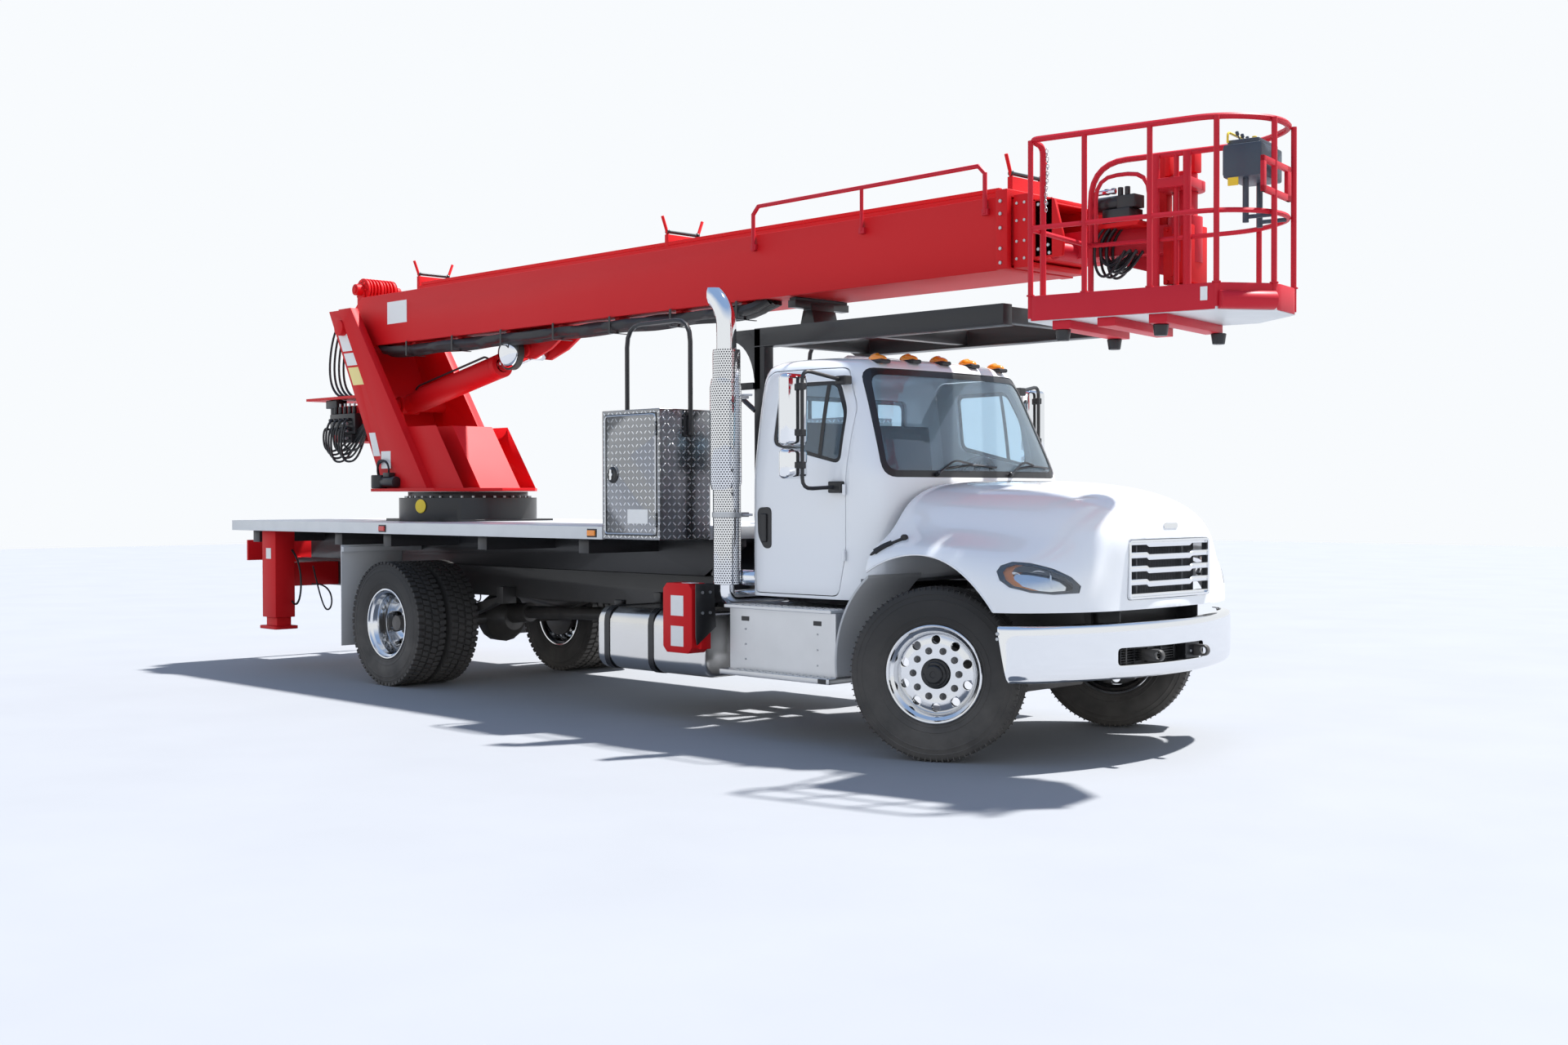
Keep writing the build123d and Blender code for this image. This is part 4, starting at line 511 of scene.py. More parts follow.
finishes = {
    "redPaint": dict(
        color=(0.64, 0.008, 0.012), tint=(0.54, 0.005, 0.009), amount=0.5, scale=0.7, grain=60,
        roughness=0.50, spread=0.10, specular=0.20, bump=0.012),
    "redRailPaint": dict(
        color=(0.56, 0.014, 0.03), tint=(0.44, 0.008, 0.02), amount=0.5, scale=3, grain=90,
        roughness=0.46, spread=0.10, specular=0.25, bump=0.02),
    "whitePaint": dict(
        color=(0.83, 0.84, 0.85), tint=(0.77, 0.79, 0.81), amount=0.5, scale=0.8, grain=40,
        roughness=0.16, spread=0.06, coat=0.8, bump=0.004, dust=0.25),
    "chassisBlack": dict(
        color=(0.012, 0.012, 0.013), tint=(0.03, 0.03, 0.032), amount=0.6, scale=4, grain=120,
        roughness=0.42, spread=0.2, coat=0.1, bump=0.03, dust=0.35),
    "satinBlack": dict(
        color=(0.010, 0.010, 0.011), tint=(0.022, 0.022, 0.024), amount=0.6, scale=5, grain=140,
        roughness=0.38, spread=0.16, coat=0.1, bump=0.02),
    "bedWhite": dict(
        color=(0.66, 0.68, 0.69), tint=(0.52, 0.54, 0.55), amount=0.6, scale=5, grain=160,
        roughness=0.38, spread=0.2, metallic=0.35, bump=0.02),
    "chromePlate": dict(
        color=(0.82, 0.83, 0.84), tint=(0.76, 0.77, 0.79), amount=0.4, scale=3, grain=80,
        roughness=0.055, spread=0.03, metallic=1.0, bump=0.002),
    "polishedAlloy": dict(
        color=(0.80, 0.81, 0.82), tint=(0.68, 0.69, 0.71), amount=0.5, scale=9, grain=220,
        roughness=0.14, spread=0.10, metallic=1.0, bump=0.006, dust=0.12),
    "brushedTank": dict(
        color=(0.74, 0.74, 0.73), tint=(0.62, 0.60, 0.57), amount=0.6, scale=3, grain=180,
        roughness=0.20, spread=0.10, metallic=1.0, brushed=(2, 90, 90), bump=0.03, dust=0.2),
    "satinAluminium": dict(
        color=(0.66, 0.67, 0.68), tint=(0.56, 0.57, 0.58), amount=0.5, scale=6, grain=240,
        roughness=0.36, spread=0.14, metallic=0.9, brushed=(3, 60, 60), bump=0.03, dust=0.15),
    "checkerAluminium": dict(
        color=(0.78, 0.79, 0.80), tint=(0.66, 0.67, 0.68), amount=0.5, scale=6, grain=200,
        roughness=0.19, spread=0.10, metallic=1.0, plate=0.046, bump=0.9),
    "bedTread": dict(
        color=(0.58, 0.59, 0.60), tint=(0.46, 0.46, 0.46), amount=0.6, scale=4, grain=200,
        roughness=0.4, spread=0.2, metallic=0.8, plate=0.05, bump=0.6),
    "rodSteel": dict(
        color=(0.72, 0.72, 0.73), tint=(0.60, 0.60, 0.62), amount=0.4, scale=10, grain=300,
        roughness=0.12, spread=0.08, metallic=1.0, bump=0.004),
    # Nut steel darker than bright steel: partly the nuts' own colour, partly painted shade for the shadow
    # that falls on them
    "nutSteel": dict(
        color=(0.16, 0.16, 0.16), tint=(0.08, 0.075, 0.07), amount=0.6, scale=14, grain=200,
        roughness=0.42, spread=0.15, metallic=0.8, bump=0.03),
    "castIron": dict(
        color=(0.035, 0.033, 0.031), tint=(0.075, 0.060, 0.05), amount=0.7, scale=12, grain=150,
        roughness=0.62, spread=0.2, metallic=0.3, bump=0.12, dust=0.4),
    "tyreRubber": dict(
        color=(0.020, 0.020, 0.020), tint=(0.042, 0.040, 0.039), amount=0.7, scale=6, grain=260,
        roughness=0.78, spread=0.16, bump=0.05, dust=0.2),
    "hoseRubber": dict(
        color=(0.010, 0.010, 0.011), tint=(0.024, 0.024, 0.026), amount=0.6, scale=14, grain=320,
        roughness=0.5, spread=0.2, bump=0.08),
    "flapRubber": dict(
        color=(0.52, 0.53, 0.54), tint=(0.42, 0.43, 0.44), amount=0.6, scale=4, grain=160,
        roughness=0.55, spread=0.2, bump=0.05, dust=0.3),
    "greyTrim": dict(
        color=(0.15, 0.155, 0.165), tint=(0.11, 0.115, 0.12), amount=0.5, scale=8, grain=420,
        roughness=0.55, spread=0.14, bump=0.10),
    "seatCloth": dict(
        color=(0.16, 0.17, 0.19), tint=(0.11, 0.12, 0.13), amount=0.6, scale=9, grain=600,
        roughness=0.9, spread=0.1, bump=0.25),
    "consoleGrey": dict(
        color=(0.045, 0.065, 0.09), tint=(0.03, 0.045, 0.065), amount=0.5, scale=10, grain=360,
        roughness=0.4, spread=0.14, bump=0.06),
    "amberPlastic": dict(
        color=(0.95, 0.30, 0.02), tint=(0.8, 0.2, 0.01), amount=0.5, scale=30, grain=200,
        roughness=0.14, spread=0.06, coat=0.6, bump=0.05),
    "redPlastic": dict(
        color=(0.6, 0.01, 0.01), tint=(0.42, 0.005, 0.005), amount=0.5, scale=30, grain=200,
        roughness=0.15, spread=0.06, coat=0.6, bump=0.05),
    "yellowPlastic": dict(
        color=(0.85, 0.62, 0.03), tint=(0.7, 0.5, 0.02), amount=0.5, scale=30, grain=200,
        roughness=0.35, spread=0.1, bump=0.05),
    "paleYellow": dict(
        color=(0.86, 0.72, 0.28), tint=(0.78, 0.64, 0.24), amount=0.4, scale=20, grain=200,
        roughness=0.35, spread=0.1, bump=0.01),
    "blankLabel": dict(
        color=(0.80, 0.80, 0.78), tint=(0.70, 0.70, 0.68), amount=0.4, scale=20, grain=200,
        roughness=0.35, spread=0.1, bump=0.01),
    "galvanised": dict(
        color=(0.55, 0.56, 0.57), tint=(0.42, 0.43, 0.44), amount=0.7, scale=22, grain=260,
        roughness=0.42, spread=0.2, metallic=0.85, bump=0.05),
}


def makeFinish(name, look):
    material = bpy.data.materials.new(name)
    material.use_nodes = True
    tree = material.node_tree
    shader = tree.nodes["Principled BSDF"]
    surface = useGroup(
        tree, variation, Color=(*look["color"], 1), Tint=(*look["tint"], 1), Amount=look["amount"],
        Scale=look["scale"], Grain=look["grain"], Roughness=look["roughness"], Spread=look["spread"])
    color, height = surface["Color"], surface["Height"]
    if look.get("dust"):
        color = useGroup(tree, roadDust, Color=color, Amount=look["dust"])["Color"]
    distance = 0.001
    if look.get("brushed"):
        height = useGroup(tree, brushedLines, Stretch=look["brushed"])["Height"]
    if look.get("plate"):
        height = useGroup(tree, treadPlate, Pitch=look["plate"])["Height"]
        distance = 0.004
        # Painted shade: the flat between the raised lozenges is darkened towards a dark blue-grey, as if
        # shaded
        flatShade = mixColor(tree, 0.7, color, (0.08, 0.085, 0.095, 1))
        color = mixColor(tree, height, flatShade, color)
    tree.links.new(color, shader.inputs["Base Color"])
    tree.links.new(surface["Roughness"], shader.inputs["Roughness"])
    bump = tree.nodes.new("ShaderNodeBump")
    strength = look["bump"] if look.get("plate") else min(1.0, look["bump"] * 3)
    bump.inputs["Strength"].default_value = strength
    bump.inputs["Distance"].default_value = distance
    tree.links.new(height, bump.inputs["Height"])
    tree.links.new(bump.outputs["Normal"], shader.inputs["Normal"])
    shader.inputs["Metallic"].default_value = look.get("metallic", 0.0)
    shader.inputs["Coat Weight"].default_value = look.get("coat", 0.0)
    shader.inputs["Coat Roughness"].default_value = 0.04
    shader.inputs["Specular IOR Level"].default_value = look.get("specular", 0.5)
    material.diffuse_color = (*look["color"], 1)
    return material


finish = {name: makeFinish(name, look) for name, look in finishes.items()}


def makeGlass(name, color, roughness, transmission):
    material = bpy.data.materials.new(name)
    material.use_nodes = True
    tree = material.node_tree
    shader = tree.nodes["Principled BSDF"]
    surface = useGroup(tree, variation, Color=(*color, 1), Tint=(*[part * 0.93 for part in color], 1),
                       Amount=0.4, Scale=2.0, Grain=30.0, Roughness=roughness, Spread=0.01)
    tree.links.new(surface["Color"], shader.inputs["Base Color"])
    tree.links.new(surface["Roughness"], shader.inputs["Roughness"])
    shader.inputs["Transmission Weight"].default_value = transmission
    shader.inputs["IOR"].default_value = 1.45
    return material


finish["cabGlass"] = makeGlass("cabGlass", (0.72, 0.87, 0.97), 0.015, 0.94)
finish["lampLens"] = makeGlass("lampLens", (0.92, 0.94, 0.95), 0.02, 0.97)
finish["mirrorGlass"] = makeFinish("mirrorGlass", dict(
    color=(0.75, 0.77, 0.80), tint=(0.7, 0.72, 0.75), amount=0.3, scale=2, grain=50, roughness=0.03,
    spread=0.01, metallic=1.0, bump=0.001))


stackX, stackY = -1.740, -1.100


def makeShieldMetal():
    # Bright pipe shield whose rows of holes are painted on as dark, non-metallic spots: painted shade in
    # place of the dark inside of real holes
    material = makeFinish("shieldMetal", finishes["chromePlate"])
    tree = material.node_tree
    shader = tree.nodes["Principled BSDF"]
    shift = tree.nodes.new("ShaderNodeMapping")
    shift.inputs["Location"].default_value = (-(axleX + stackX), -stackY, 0)
    tree.links.new(objectPlace(tree), shift.inputs["Vector"])
    holeShade = useGroup(tree, roundHoles, Place=shift.outputs["Vector"])["Mask"]
    plain = shader.inputs["Base Color"].links[0].from_socket
    # Painted shade: each hole is a dark spot that is not metallic
    tree.links.new(mixColor(tree, holeShade, plain, (0.05, 0.05, 0.055, 1)), shader.inputs["Base Color"])
    tree.links.new(math(tree, "SUBTRACT", 1.0, holeShade), shader.inputs["Metallic"])
    return material


finish["shieldMetal"] = makeShieldMetal()


def makeFloor():
    deselect()
    bpy.ops.mesh.primitive_plane_add(size=stageSettings["floorSize"], location=(0, 0, -0.002))
    floor = bpy.context.view_layer.objects.active
    floor.name = "floor"
    material = makeFinish("paleFloor", dict(
        color=(0.30, 0.31, 0.33), tint=(0.25, 0.26, 0.28), amount=0.6, scale=0.8, grain=40, roughness=0.9,
        spread=0.05, bump=0.05))
    paint(floor, material)


makeFloor()

slotFinish = {"white_paint": "whitePaint", "red_paint": "redPaint", "chassis_black": "chassisBlack",
              "bed_white": "bedWhite", "chrome": "chromePlate", "polished_alloy": "polishedAlloy",
              "aluminium": "satinAluminium", "steel_rod": "rodSteel", "cast_iron": "castIron",
              "tyre": "tyreRubber", "hose_rubber": "hoseRubber", "grey_rubber": "flapRubber",
              "grey_trim": "greyTrim", "console_grey": "consoleGrey", "amber_lens": "amberPlastic",
              "glass": "cabGlass"}
for nodeName, nodeObject in nodes.items():
    for materialSlot in nodeObject.material_slots:
        materialSlot.material = finish[slotFinish[slotOfNode[nodeName]]]
print("camera, stage and finishes ready")


# CAD pieces whose edges are rounded and whose round faces are smoothed. The edge width is in metres.

def cleanCopy(node, name):
    mesh = nodes[node].data.copy()
    mesh.name = name
    piece = newPiece(name, mesh)
    openMesh()
    bpy.ops.mesh.remove_doubles(threshold=0.0003)
    bpy.ops.mesh.dissolve_limited(angle_limit=radians(1.2))
    closeMesh()
    return piece


def rounded(node, width):
    piece = cleanCopy(node, node + "_shown")
    softenEdges(piece, width, 2, 32)
    smoothFaces(piece, 38)
    return fit(piece, node, lookOf.get(node, slotFinish[slotOfNode[node]]), node)


edgeWidths = {
    "frame_rails": 0.003, "front_axle": 0.004, "rear_axle": 0.004, "engine_block": 0.02,
    "knuckle_left": 0.003, "knuckle_right": 0.003, "subframe": 0.004, "deck": 0.003,
    "outrigger_frames": 0.004, "rear_jack_left": 0.005, "rear_jack_right": 0.005,
    "front_outrigger_housing": 0.004, "front_outrigger_left": 0.004, "front_outrigger_right": 0.004,
    "boom_rest": 0.004, "boom_base": 0.006, "boom_mid": 0.004, "boom_tip": 0.004,
    "boom_handrail": 0.002, "platform_carrier": 0.004, "turret": 0.006, "hose_reel": 0.003,
    "lift_cylinder": 0.003, "lift_rod": 0.002, "cab_interior": 0.012, "cab_steps": 0.004,
    "tool_boxes": 0.005, "tool_box_door_left": 0.004, "tool_box_door_right": 0.004, "splash_guards": 0.004,
}
lookOf = {"turret": "redPaint", "subframe": "satinBlack", "boom_rest": "satinBlack",
          "tool_boxes": "checkerAluminium", "tool_box_door_left": "checkerAluminium",
          "tool_box_door_right": "checkerAluminium", "cab_steps": "satinAluminium",
          "platform_carrier": "redRailPaint", "boom_handrail": "redRailPaint", "cab_interior": "seatCloth"}
shown = {node: rounded(node, width) for node, width in edgeWidths.items()}
print("edges rounded on", len(shown), "pieces")


# Wheels and tyres, made once about the z axis with their outer side up, then seated on each axle end

tyre = {"outer": 0.525, "half": 0.1385, "bead": 0.289, "groove": 0.014, "carcass": 0.506}
twinY, twinStep, rearX = 0.9075, 0.1625, -5.880


def tyreProfile(ribs):
    # From the inner bead round the outside to the outer bead
    side = [(tyre["bead"], 0.100), (0.296, 0.110), (0.312, 0.121), (0.318, 0.1235), (0.322, 0.122),
            (0.345, 0.130), (0.350, 0.1325), (0.354, 0.1305), (0.385, 0.1365), (0.415, tyre["half"]),
            (0.445, 0.1365), (0.449, 0.1385), (0.453, 0.1360), (0.478, 0.1320), (0.482, 0.1340),
            (0.486, 0.1315), (0.500, 0.1285), (0.509, 0.1235), (0.517, 0.1160)]
    crown = []
    bottom = tyre["outer"] - tyre["groove"]
    for low, high in ribs:
        crown += [(bottom, low - 0.001), (tyre["outer"] - abs(low) * 0.045, low + 0.0015),
                  (tyre["outer"] - abs(high) * 0.045, high - 0.0015), (bottom, high + 0.001)]
    crown = crown[1:-1]
    return [(radius, -offset) for radius, offset in side] + crown + list(reversed(side))


def tyreBlock(low, high, width, depth, lean=0.0):
    # One tread block: its tangent sides lean for a chevron
    block = slab("treadBlock", (tyre["outer"] - depth, -width / 2, low), (tyre["outer"], width / 2, high))
    if lean:
        for vertex in block.data.vertices:
            vertex.co.y += lean * (vertex.co.z - low) / (high - low)
    softenEdges(block, 0.0025, 1, 30)
    return block


def makeSteerTyre():
    ribs = [(-0.114, -0.074), (-0.064, -0.040), (-0.031, -0.0045), (0.0045, 0.031), (0.040, 0.064),
            (0.074, 0.114)]
    body = lathe("steerTyre", tyreProfile(ribs), steps=96)
    notch = slab("shoulderNotch", (0.502, -0.0035, 0.108), (0.5262, 0.0035, 0.1265), 0.001, 1)
    notches = ringOf(notch, 90)
    other = copyOf(notches, "shoulderNotchInner")
    other.data.transform(Matrix.Scale(-1, 4, (0, 0, 1)))
    other.data.flip_normals()
    return joinPieces([body, notches, other], "steerTyre")


def makeDriveTyre():
    body = lathe("driveTyre", tyreProfile([(-0.116, -0.001), (0.001, 0.116)]), steps=96)
    for vertex in body.data.vertices:      # the carcass sinks between the blocks
        radius = hypot(vertex.co.x, vertex.co.y)
        if radius > 0.512:
            vertex.co.x *= tyre["carcass"] / radius
            vertex.co.y *= tyre["carcass"] / radius
    blocksAround = 60
    blockRows = [(0.074, 0.132, 0.036, 0.0, 0.004), (0.010, 0.064, 0.040, 0.5, 0.012),
                 (-0.064, -0.010, 0.040, 0.0, 0.012), (-0.132, -0.074, 0.036, 0.5, -0.004)]
    rows = []
    for low, high, width, phase, lean in blockRows:
        block = tyreBlock(low, high, width, 0.024, lean)
        block.data.transform(Matrix.Rotation(2 * pi * phase / blocksAround, 4, "Z"))
        rows.append(ringOf(block, blocksAround))
    return joinPieces([body, *rows], "driveTyre")


def rimProfile(centre):
    # A rim's section, thin and closed: lip, bead seat, well, bead seat, lip
    outer = [(0.2975, 0.120), (0.2990, 0.1165), (0.2965, 0.1135), (0.2900, 0.1120), (0.2870, 0.104),
             (0.272, 0.098), (0.262, 0.070), (0.250, 0.052)]
    inner = [(0.2930, 0.1225), (0.2840, 0.1200), (0.2780, 0.104), (0.260, 0.090), (0.250, 0.064),
             (0.240, 0.046)]
    skin = outer + [(radius, -offset) for radius, offset in reversed(outer)]
    back = [(radius, -offset) for radius, offset in inner] + list(reversed(inner))
    ring = skin + back + [outer[0]]
    return [(radius, offset + centre) for radius, offset in ring]


def wheelNuts(face):
    # Ten nuts with washers and studs, standing on the disc's face
    ring, reach = 0.1425, 0.020
    nut = drum("wheelNut", (ring, 0, face), (ring, 0, face + reach), 0.0175, 6, 0.002)
    washer = drum("nutWasher", (ring, 0, face - 0.001), (ring, 0, face + 0.006), 0.0215, 16, 0.001)
    stud = drum("wheelStud", (ring, 0, face), (ring, 0, face + reach + 0.012), 0.009, 10, 0.002)
    return ringOf(joinPieces([nut, washer, stud], "wheelNut"), 10)


def pierce(disc, radius, ring):
    # Ten hand holes in a wheel's disc, half a step off the nuts
    hole = drum("handHole", (ring, 0, -0.2), (ring, 0, 0.2), radius, 28)
    hole.data.transform(Matrix.Rotation(pi / 10, 4, "Z"))
    combine(disc, ringOf(hole, 10))
    softenEdges(disc, 0.003, 2, 40)
    smoothFaces(disc, 30)


def makeSteerWheel():
    rim = lathe("steerRim", rimProfile(0), steps=96)
    disc = lathe("steerDisc", [
        (0.244, 0.030), (0.246, 0.046), (0.238, 0.058), (0.226, 0.0655), (0.180, 0.072), (0.170, 0.0705),
        (0.092, 0.0705), (0.088, 0.068), (0.088, 0.040), (0.165, 0.040), (0.205, 0.036), (0.244, 0.030)],
                 steps=96)
    pierce(disc, 0.0275, 0.205)
    bright = joinPieces([rim, disc], "steerWheel")
    hub = lathe("steerHub", [
        (0.0001, 0.036), (0.086, 0.036), (0.086, 0.094), (0.083, 0.098), (0.076, 0.099), (0.0745, 0.112),
        (0.070, 0.116), (0.058, 0.118), (0.055, 0.131), (0.048, 0.136), (0.020, 0.137), (0.018, 0.134),
        (0.0001, 0.134)], steps=48)
    bolt = drum("hubBolt", (0.066, 0, 0.115), (0.066, 0, 0.124), 0.006, 6, 0.001)
    bolts = ringOf(bolt, 6)
    return bright, joinPieces([hub, bolts], "steerHub"), wheelNuts(0.0705)


def makeDriveWheel():
    rims = [lathe("driveRim", rimProfile(centre), steps=96) for centre in (twinStep, -twinStep)]
    disc = lathe("driveDisc", [
        (0.238, 0.115), (0.242, 0.125), (0.236, 0.130), (0.222, 0.085), (0.205, 0.045), (0.180, 0.022),
        (0.168, 0.0195), (0.100, 0.0195), (0.100, -0.010), (0.175, -0.010), (0.212, 0.018), (0.238, 0.115)],
                 steps=96)
    band = lathe("driveBand", [(0.238, -0.12), (0.238, 0.12), (0.232, 0.12), (0.232, -0.12), (0.238, -0.12)],
                 steps=64)
    pierce(disc, 0.026, 0.203)
    bright = joinPieces([*rims, disc, band], "driveWheel")
    hub = lathe("driveHub", [
        (0.0001, -0.12), (0.14, -0.12), (0.14, -0.01), (0.104, -0.01), (0.100, 0.030), (0.096, 0.036),
        (0.090, 0.040), (0.064, 0.042), (0.060, 0.060), (0.052, 0.066), (0.0001, 0.068)], steps=48)
    bolt = drum("flangeBolt", (0.078, 0, 0.036), (0.078, 0, 0.054), 0.008, 6, 0.0015)
    hub = joinPieces([hub, ringOf(bolt, 8)], "driveHub")
    return bright, hub, wheelNuts(0.0195)


def seated(piece, name, centre, axis):
    twin = copyOf(piece, name)
    turn = Vector(axis).to_track_quat("Z", "Y").to_matrix().to_4x4()
    twin.data.transform(Matrix.Translation(centre) @ turn)
    return twin


steerTurn = Vector((0.41628, 0.90924, 0))
steerTyre, driveTyre = makeSteerTyre(), makeDriveTyre()
steerWheel, steerHub, steerNuts = makeSteerWheel()
driveWheel, driveHub, driveNuts = makeDriveWheel()
for word, side in bothSides:
    out = Vector((-side * steerTurn.x, side * steerTurn.y, 0))
    centre = at(-side * 0.0666, side * 1.0305, hubZ)
    tyreNode, wheelNode = f"front_tyre_{word}", f"front_wheel_{word}"
    fit(seated(steerTyre, tyreNode + "_shown", centre, out), tyreNode, "tyreRubber", tyreNode)
    fit(seated(steerWheel, wheelNode + "_shown", centre, out), wheelNode, "polishedAlloy", wheelNode)
    fit(seated(steerHub, f"front_hub_{word}", centre, out), wheelNode, "satinBlack", slot="chassis_black")
    fit(seated(steerNuts, f"front_nuts_{word}", centre, out), wheelNode, "nutSteel", slot="cast_iron")
    out = Vector((0, side, 0))
    middle = at(rearX, side * twinY, hubZ)
    tyreNode, wheelNode = f"rear_tyres_{word}", f"rear_wheel_{word}"
    twins = [seated(driveTyre, f"twin_{word}_{end}", middle + out * end * twinStep, out) for end in (1, -1)]
    fit(joinPieces(twins, tyreNode + "_shown"), tyreNode, "tyreRubber", tyreNode)
    fit(seated(driveWheel, wheelNode + "_shown", middle, out), wheelNode, "polishedAlloy", wheelNode)
    fit(seated(driveHub, f"rear_hub_{word}", middle, out), wheelNode, "castIron", slot="cast_iron")
    fit(seated(driveNuts, f"rear_nuts_{word}", middle, out), wheelNode, "nutSteel", slot="cast_iron")
drop(steerTyre, driveTyre, steerWheel, steerHub, steerNuts, driveWheel, driveHub, driveNuts)
print("wheels and tyres ready")


# Cab: one smooth skin gives the shell, the doors and the glass

def roundCorners(outline, radius, steps=5):
    # The same outline with an arc at each corner
    corners = [Vector(point) for point in outline]
    spots = []
    for index, corner in enumerate(corners):
        spots += cornerArc(corners[index - 1], corner, corners[(index + 1) % len(corners)], radius, 0.45,
                           steps)
    return [tuple(spot) for spot in spots]


def grown(outline, gap):
    # Every corner moved away from the middle by gap
    middleX = sum(x for x, z in outline) / len(outline)
    middleZ = sum(z for x, z in outline) / len(outline)
    return [(x + (gap if x > middleX else -gap), z + (gap if z > middleZ else -gap)) for x, z in outline]


def aheadOf(outline):
    # An outline in stations turned into the frame's own x
    return [(axleX + x, z) for x, z in outline]


def smoothCage(name, points, faces, levels):
    piece = meshPiece(name, points, [], faces)
    openMesh()
    closeMesh()
    useModifier(piece, "SUBSURF", levels=levels)
    return piece


def gridFaces(rows, columns):
    # Faces between points that are listed row by row
    return [(r * columns + c, r * columns + c + 1, (r + 1) * columns + c + 1, (r + 1) * columns + c)
            for r in range(rows - 1) for c in range(columns - 1)]


def thickened(skin, name, thickness, sink=0.0):
    # A copy of a skin with a thickness, first moved inwards by sink
    piece = copyOf(skin, name)
    if sink:
        useModifier(piece, "DISPLACE", strength=-sink, mid_level=0.0)
    useModifier(piece, "SOLIDIFY", thickness=thickness, offset=-1)
    return piece


def onSurface(piece, start, direction):
    # Where a straight line from start first meets a piece
    hit, spot, normal, face = piece.ray_cast(Vector(start), Vector(direction).normalized())
    return spot if hit else Vector(start)


cabRings = [
    # z, rear station, front station, half width at the doors, half width at the front
    (0.930, -1.612, -0.398, 1.024, 0.93), (1.350, -1.612, -0.398, 1.026, 0.93),
    (1.690, -1.612, -0.398, 1.024, 0.93), (1.760, -1.612, -0.412, 1.020, 0.925),
    (2.050, -1.612, -0.528, 0.980, 0.875), (2.340, -1.612, -0.642, 0.930, 0.820),
    (2.445, -1.605, -0.692, 0.902, 0.785), (2.512, -1.560, -0.770, 0.830, 0.700),
    (2.522, -1.360, -0.980, 0.600, 0.500),
]


def makeCabSkin():
    points, faces = [], []
    for z, rear, front, half, nose in cabRings:
        side = [(rear, 0), (rear, half * 0.5), (rear, half - 0.11), (rear + 0.015, half - 0.018),
                (rear + 0.12, half), (rear * 0.6 + front * 0.4, half),
                (front - 0.33, half * 0.6 + nose * 0.4 + 0.03), (front - 0.12, nose + 0.035),
                (front - 0.045, nose - 0.06), (front - 0.018, nose * 0.55), (front, 0)]
        ring = side + [(x, -y) for x, y in reversed(side[1:-1])]
        points += [at(x, y, z) for x, y in ring]
    count = len(ring)
    for level in range(len(cabRings) - 1):
        base = level * count
        faces += [(base + k, base + (k + 1) % count, base + count + (k + 1) % count, base + count + k)
                  for k in range(count)]
    base = (len(cabRings) - 1) * count
    faces.append((base, base + 1, base + count - 1))
    faces += [(base + k, base + k + 1, base + count - k - 1, base + count - k) for k in range(1, 9)]
    faces.append((base + 9, base + 10, base + 11))
    return smoothCage("cabSkin", points, faces, 2)


doorEdge = [(-1.555, 0.955), (-1.555, 2.375), (-1.49, 2.428), (-0.86, 2.428), (-0.735, 2.165),
            (-0.73, 1.24), (-0.79, 0.955)]
doorLight = [(-1.405, 1.935), (-1.395, 2.345), (-0.885, 2.345), (-0.790, 2.15), (-0.785, 1.80)]
screenEdge = [(-0.915, 1.715), (-0.805, 2.432), (0.805, 2.432), (0.915, 1.715)]
rearLight = [(-0.56, 1.80), (-0.56, 2.29), (0.56, 2.29), (0.56, 1.80)]

cabSkin = makeCabSkin()
cabWall = thickened(cabSkin, "cabWall", 0.036)
glassSkin = thickened(cabSkin, "glassSkin", 0.005, 0.010)
bandSkin = thickened(cabSkin, "bandSkin", 0.003, 0.006)

archCut = drum("archCut", at(0, -1.3, 0.545), at(0, 1.3, 0.545), 0.692, 96)
cabFloor = slab("cab_floor", at(-1.595, -0.985, 1.045), at(-0.42, 0.985, 1.068))
combine(cabFloor, archCut, keepTool=True)
fit(cabFloor, "root", "greyTrim", slot="grey_trim")
combine(cabWall, archCut)


def sideCut(outline, side, name, inner=0.70):
    return prism(name, aheadOf(outline), side * inner, side * 1.16)


def crossCut(outline, start, end, name):
    return prism(name, outline, axleX + start, axleX + end, "x")


shell = copyOf(cabWall, "cab_shell_shown")
doorSeal = 0.006
for side in (-1, 1):
    combine(shell, sideCut(roundCorners(grown(doorEdge, doorSeal), 0.05), side, "doorHole", 0.60))
combine(shell, crossCut(roundCorners(screenEdge, 0.10), -0.95, -0.30, "screenHole"))
combine(shell, crossCut(roundCorners(rearLight, 0.06), -1.75, -1.50, "rearHole"))
softenEdges(shell, 0.003, 2, 50)
smoothFaces(shell, 40)
fit(shell, "root", "whitePaint", "cab_shell", slot="white_paint")

screen = copyOf(glassSkin, "windscreen")
combine(screen, crossCut(roundCorners(grown(screenEdge, -0.004), 0.10), -0.95, -0.30, "screenPane"),
        "INTERSECT")
fit(smoothFaces(screen, 30), "root", "cabGlass", "cab_glass", slot="glass")
rearPane = copyOf(glassSkin, "rear_window")
combine(rearPane, crossCut(roundCorners(grown(rearLight, -0.004), 0.06), -1.75, -1.50, "rearPaneCut"),
        "INTERSECT")
fit(rearPane, "root", "cabGlass", slot="glass")

bands = []
for outline, start, end, width, radius in ((screenEdge, -0.95, -0.30, 0.045, 0.10),
                                           (rearLight, -1.75, -1.50, 0.03, 0.06)):
    band = copyOf(bandSkin, "glassBand")
    combine(band, crossCut(roundCorners(outline, radius), start, end, "bandOuter"), "INTERSECT")
    combine(band, crossCut(
        roundCorners(grown(outline, -width), radius * 0.8), start - 0.1, end + 0.1, "bandInner"))
    bands.append(band)
fit(joinPieces(bands, "glass_bands"), "root", "satinBlack", slot="chassis_black")

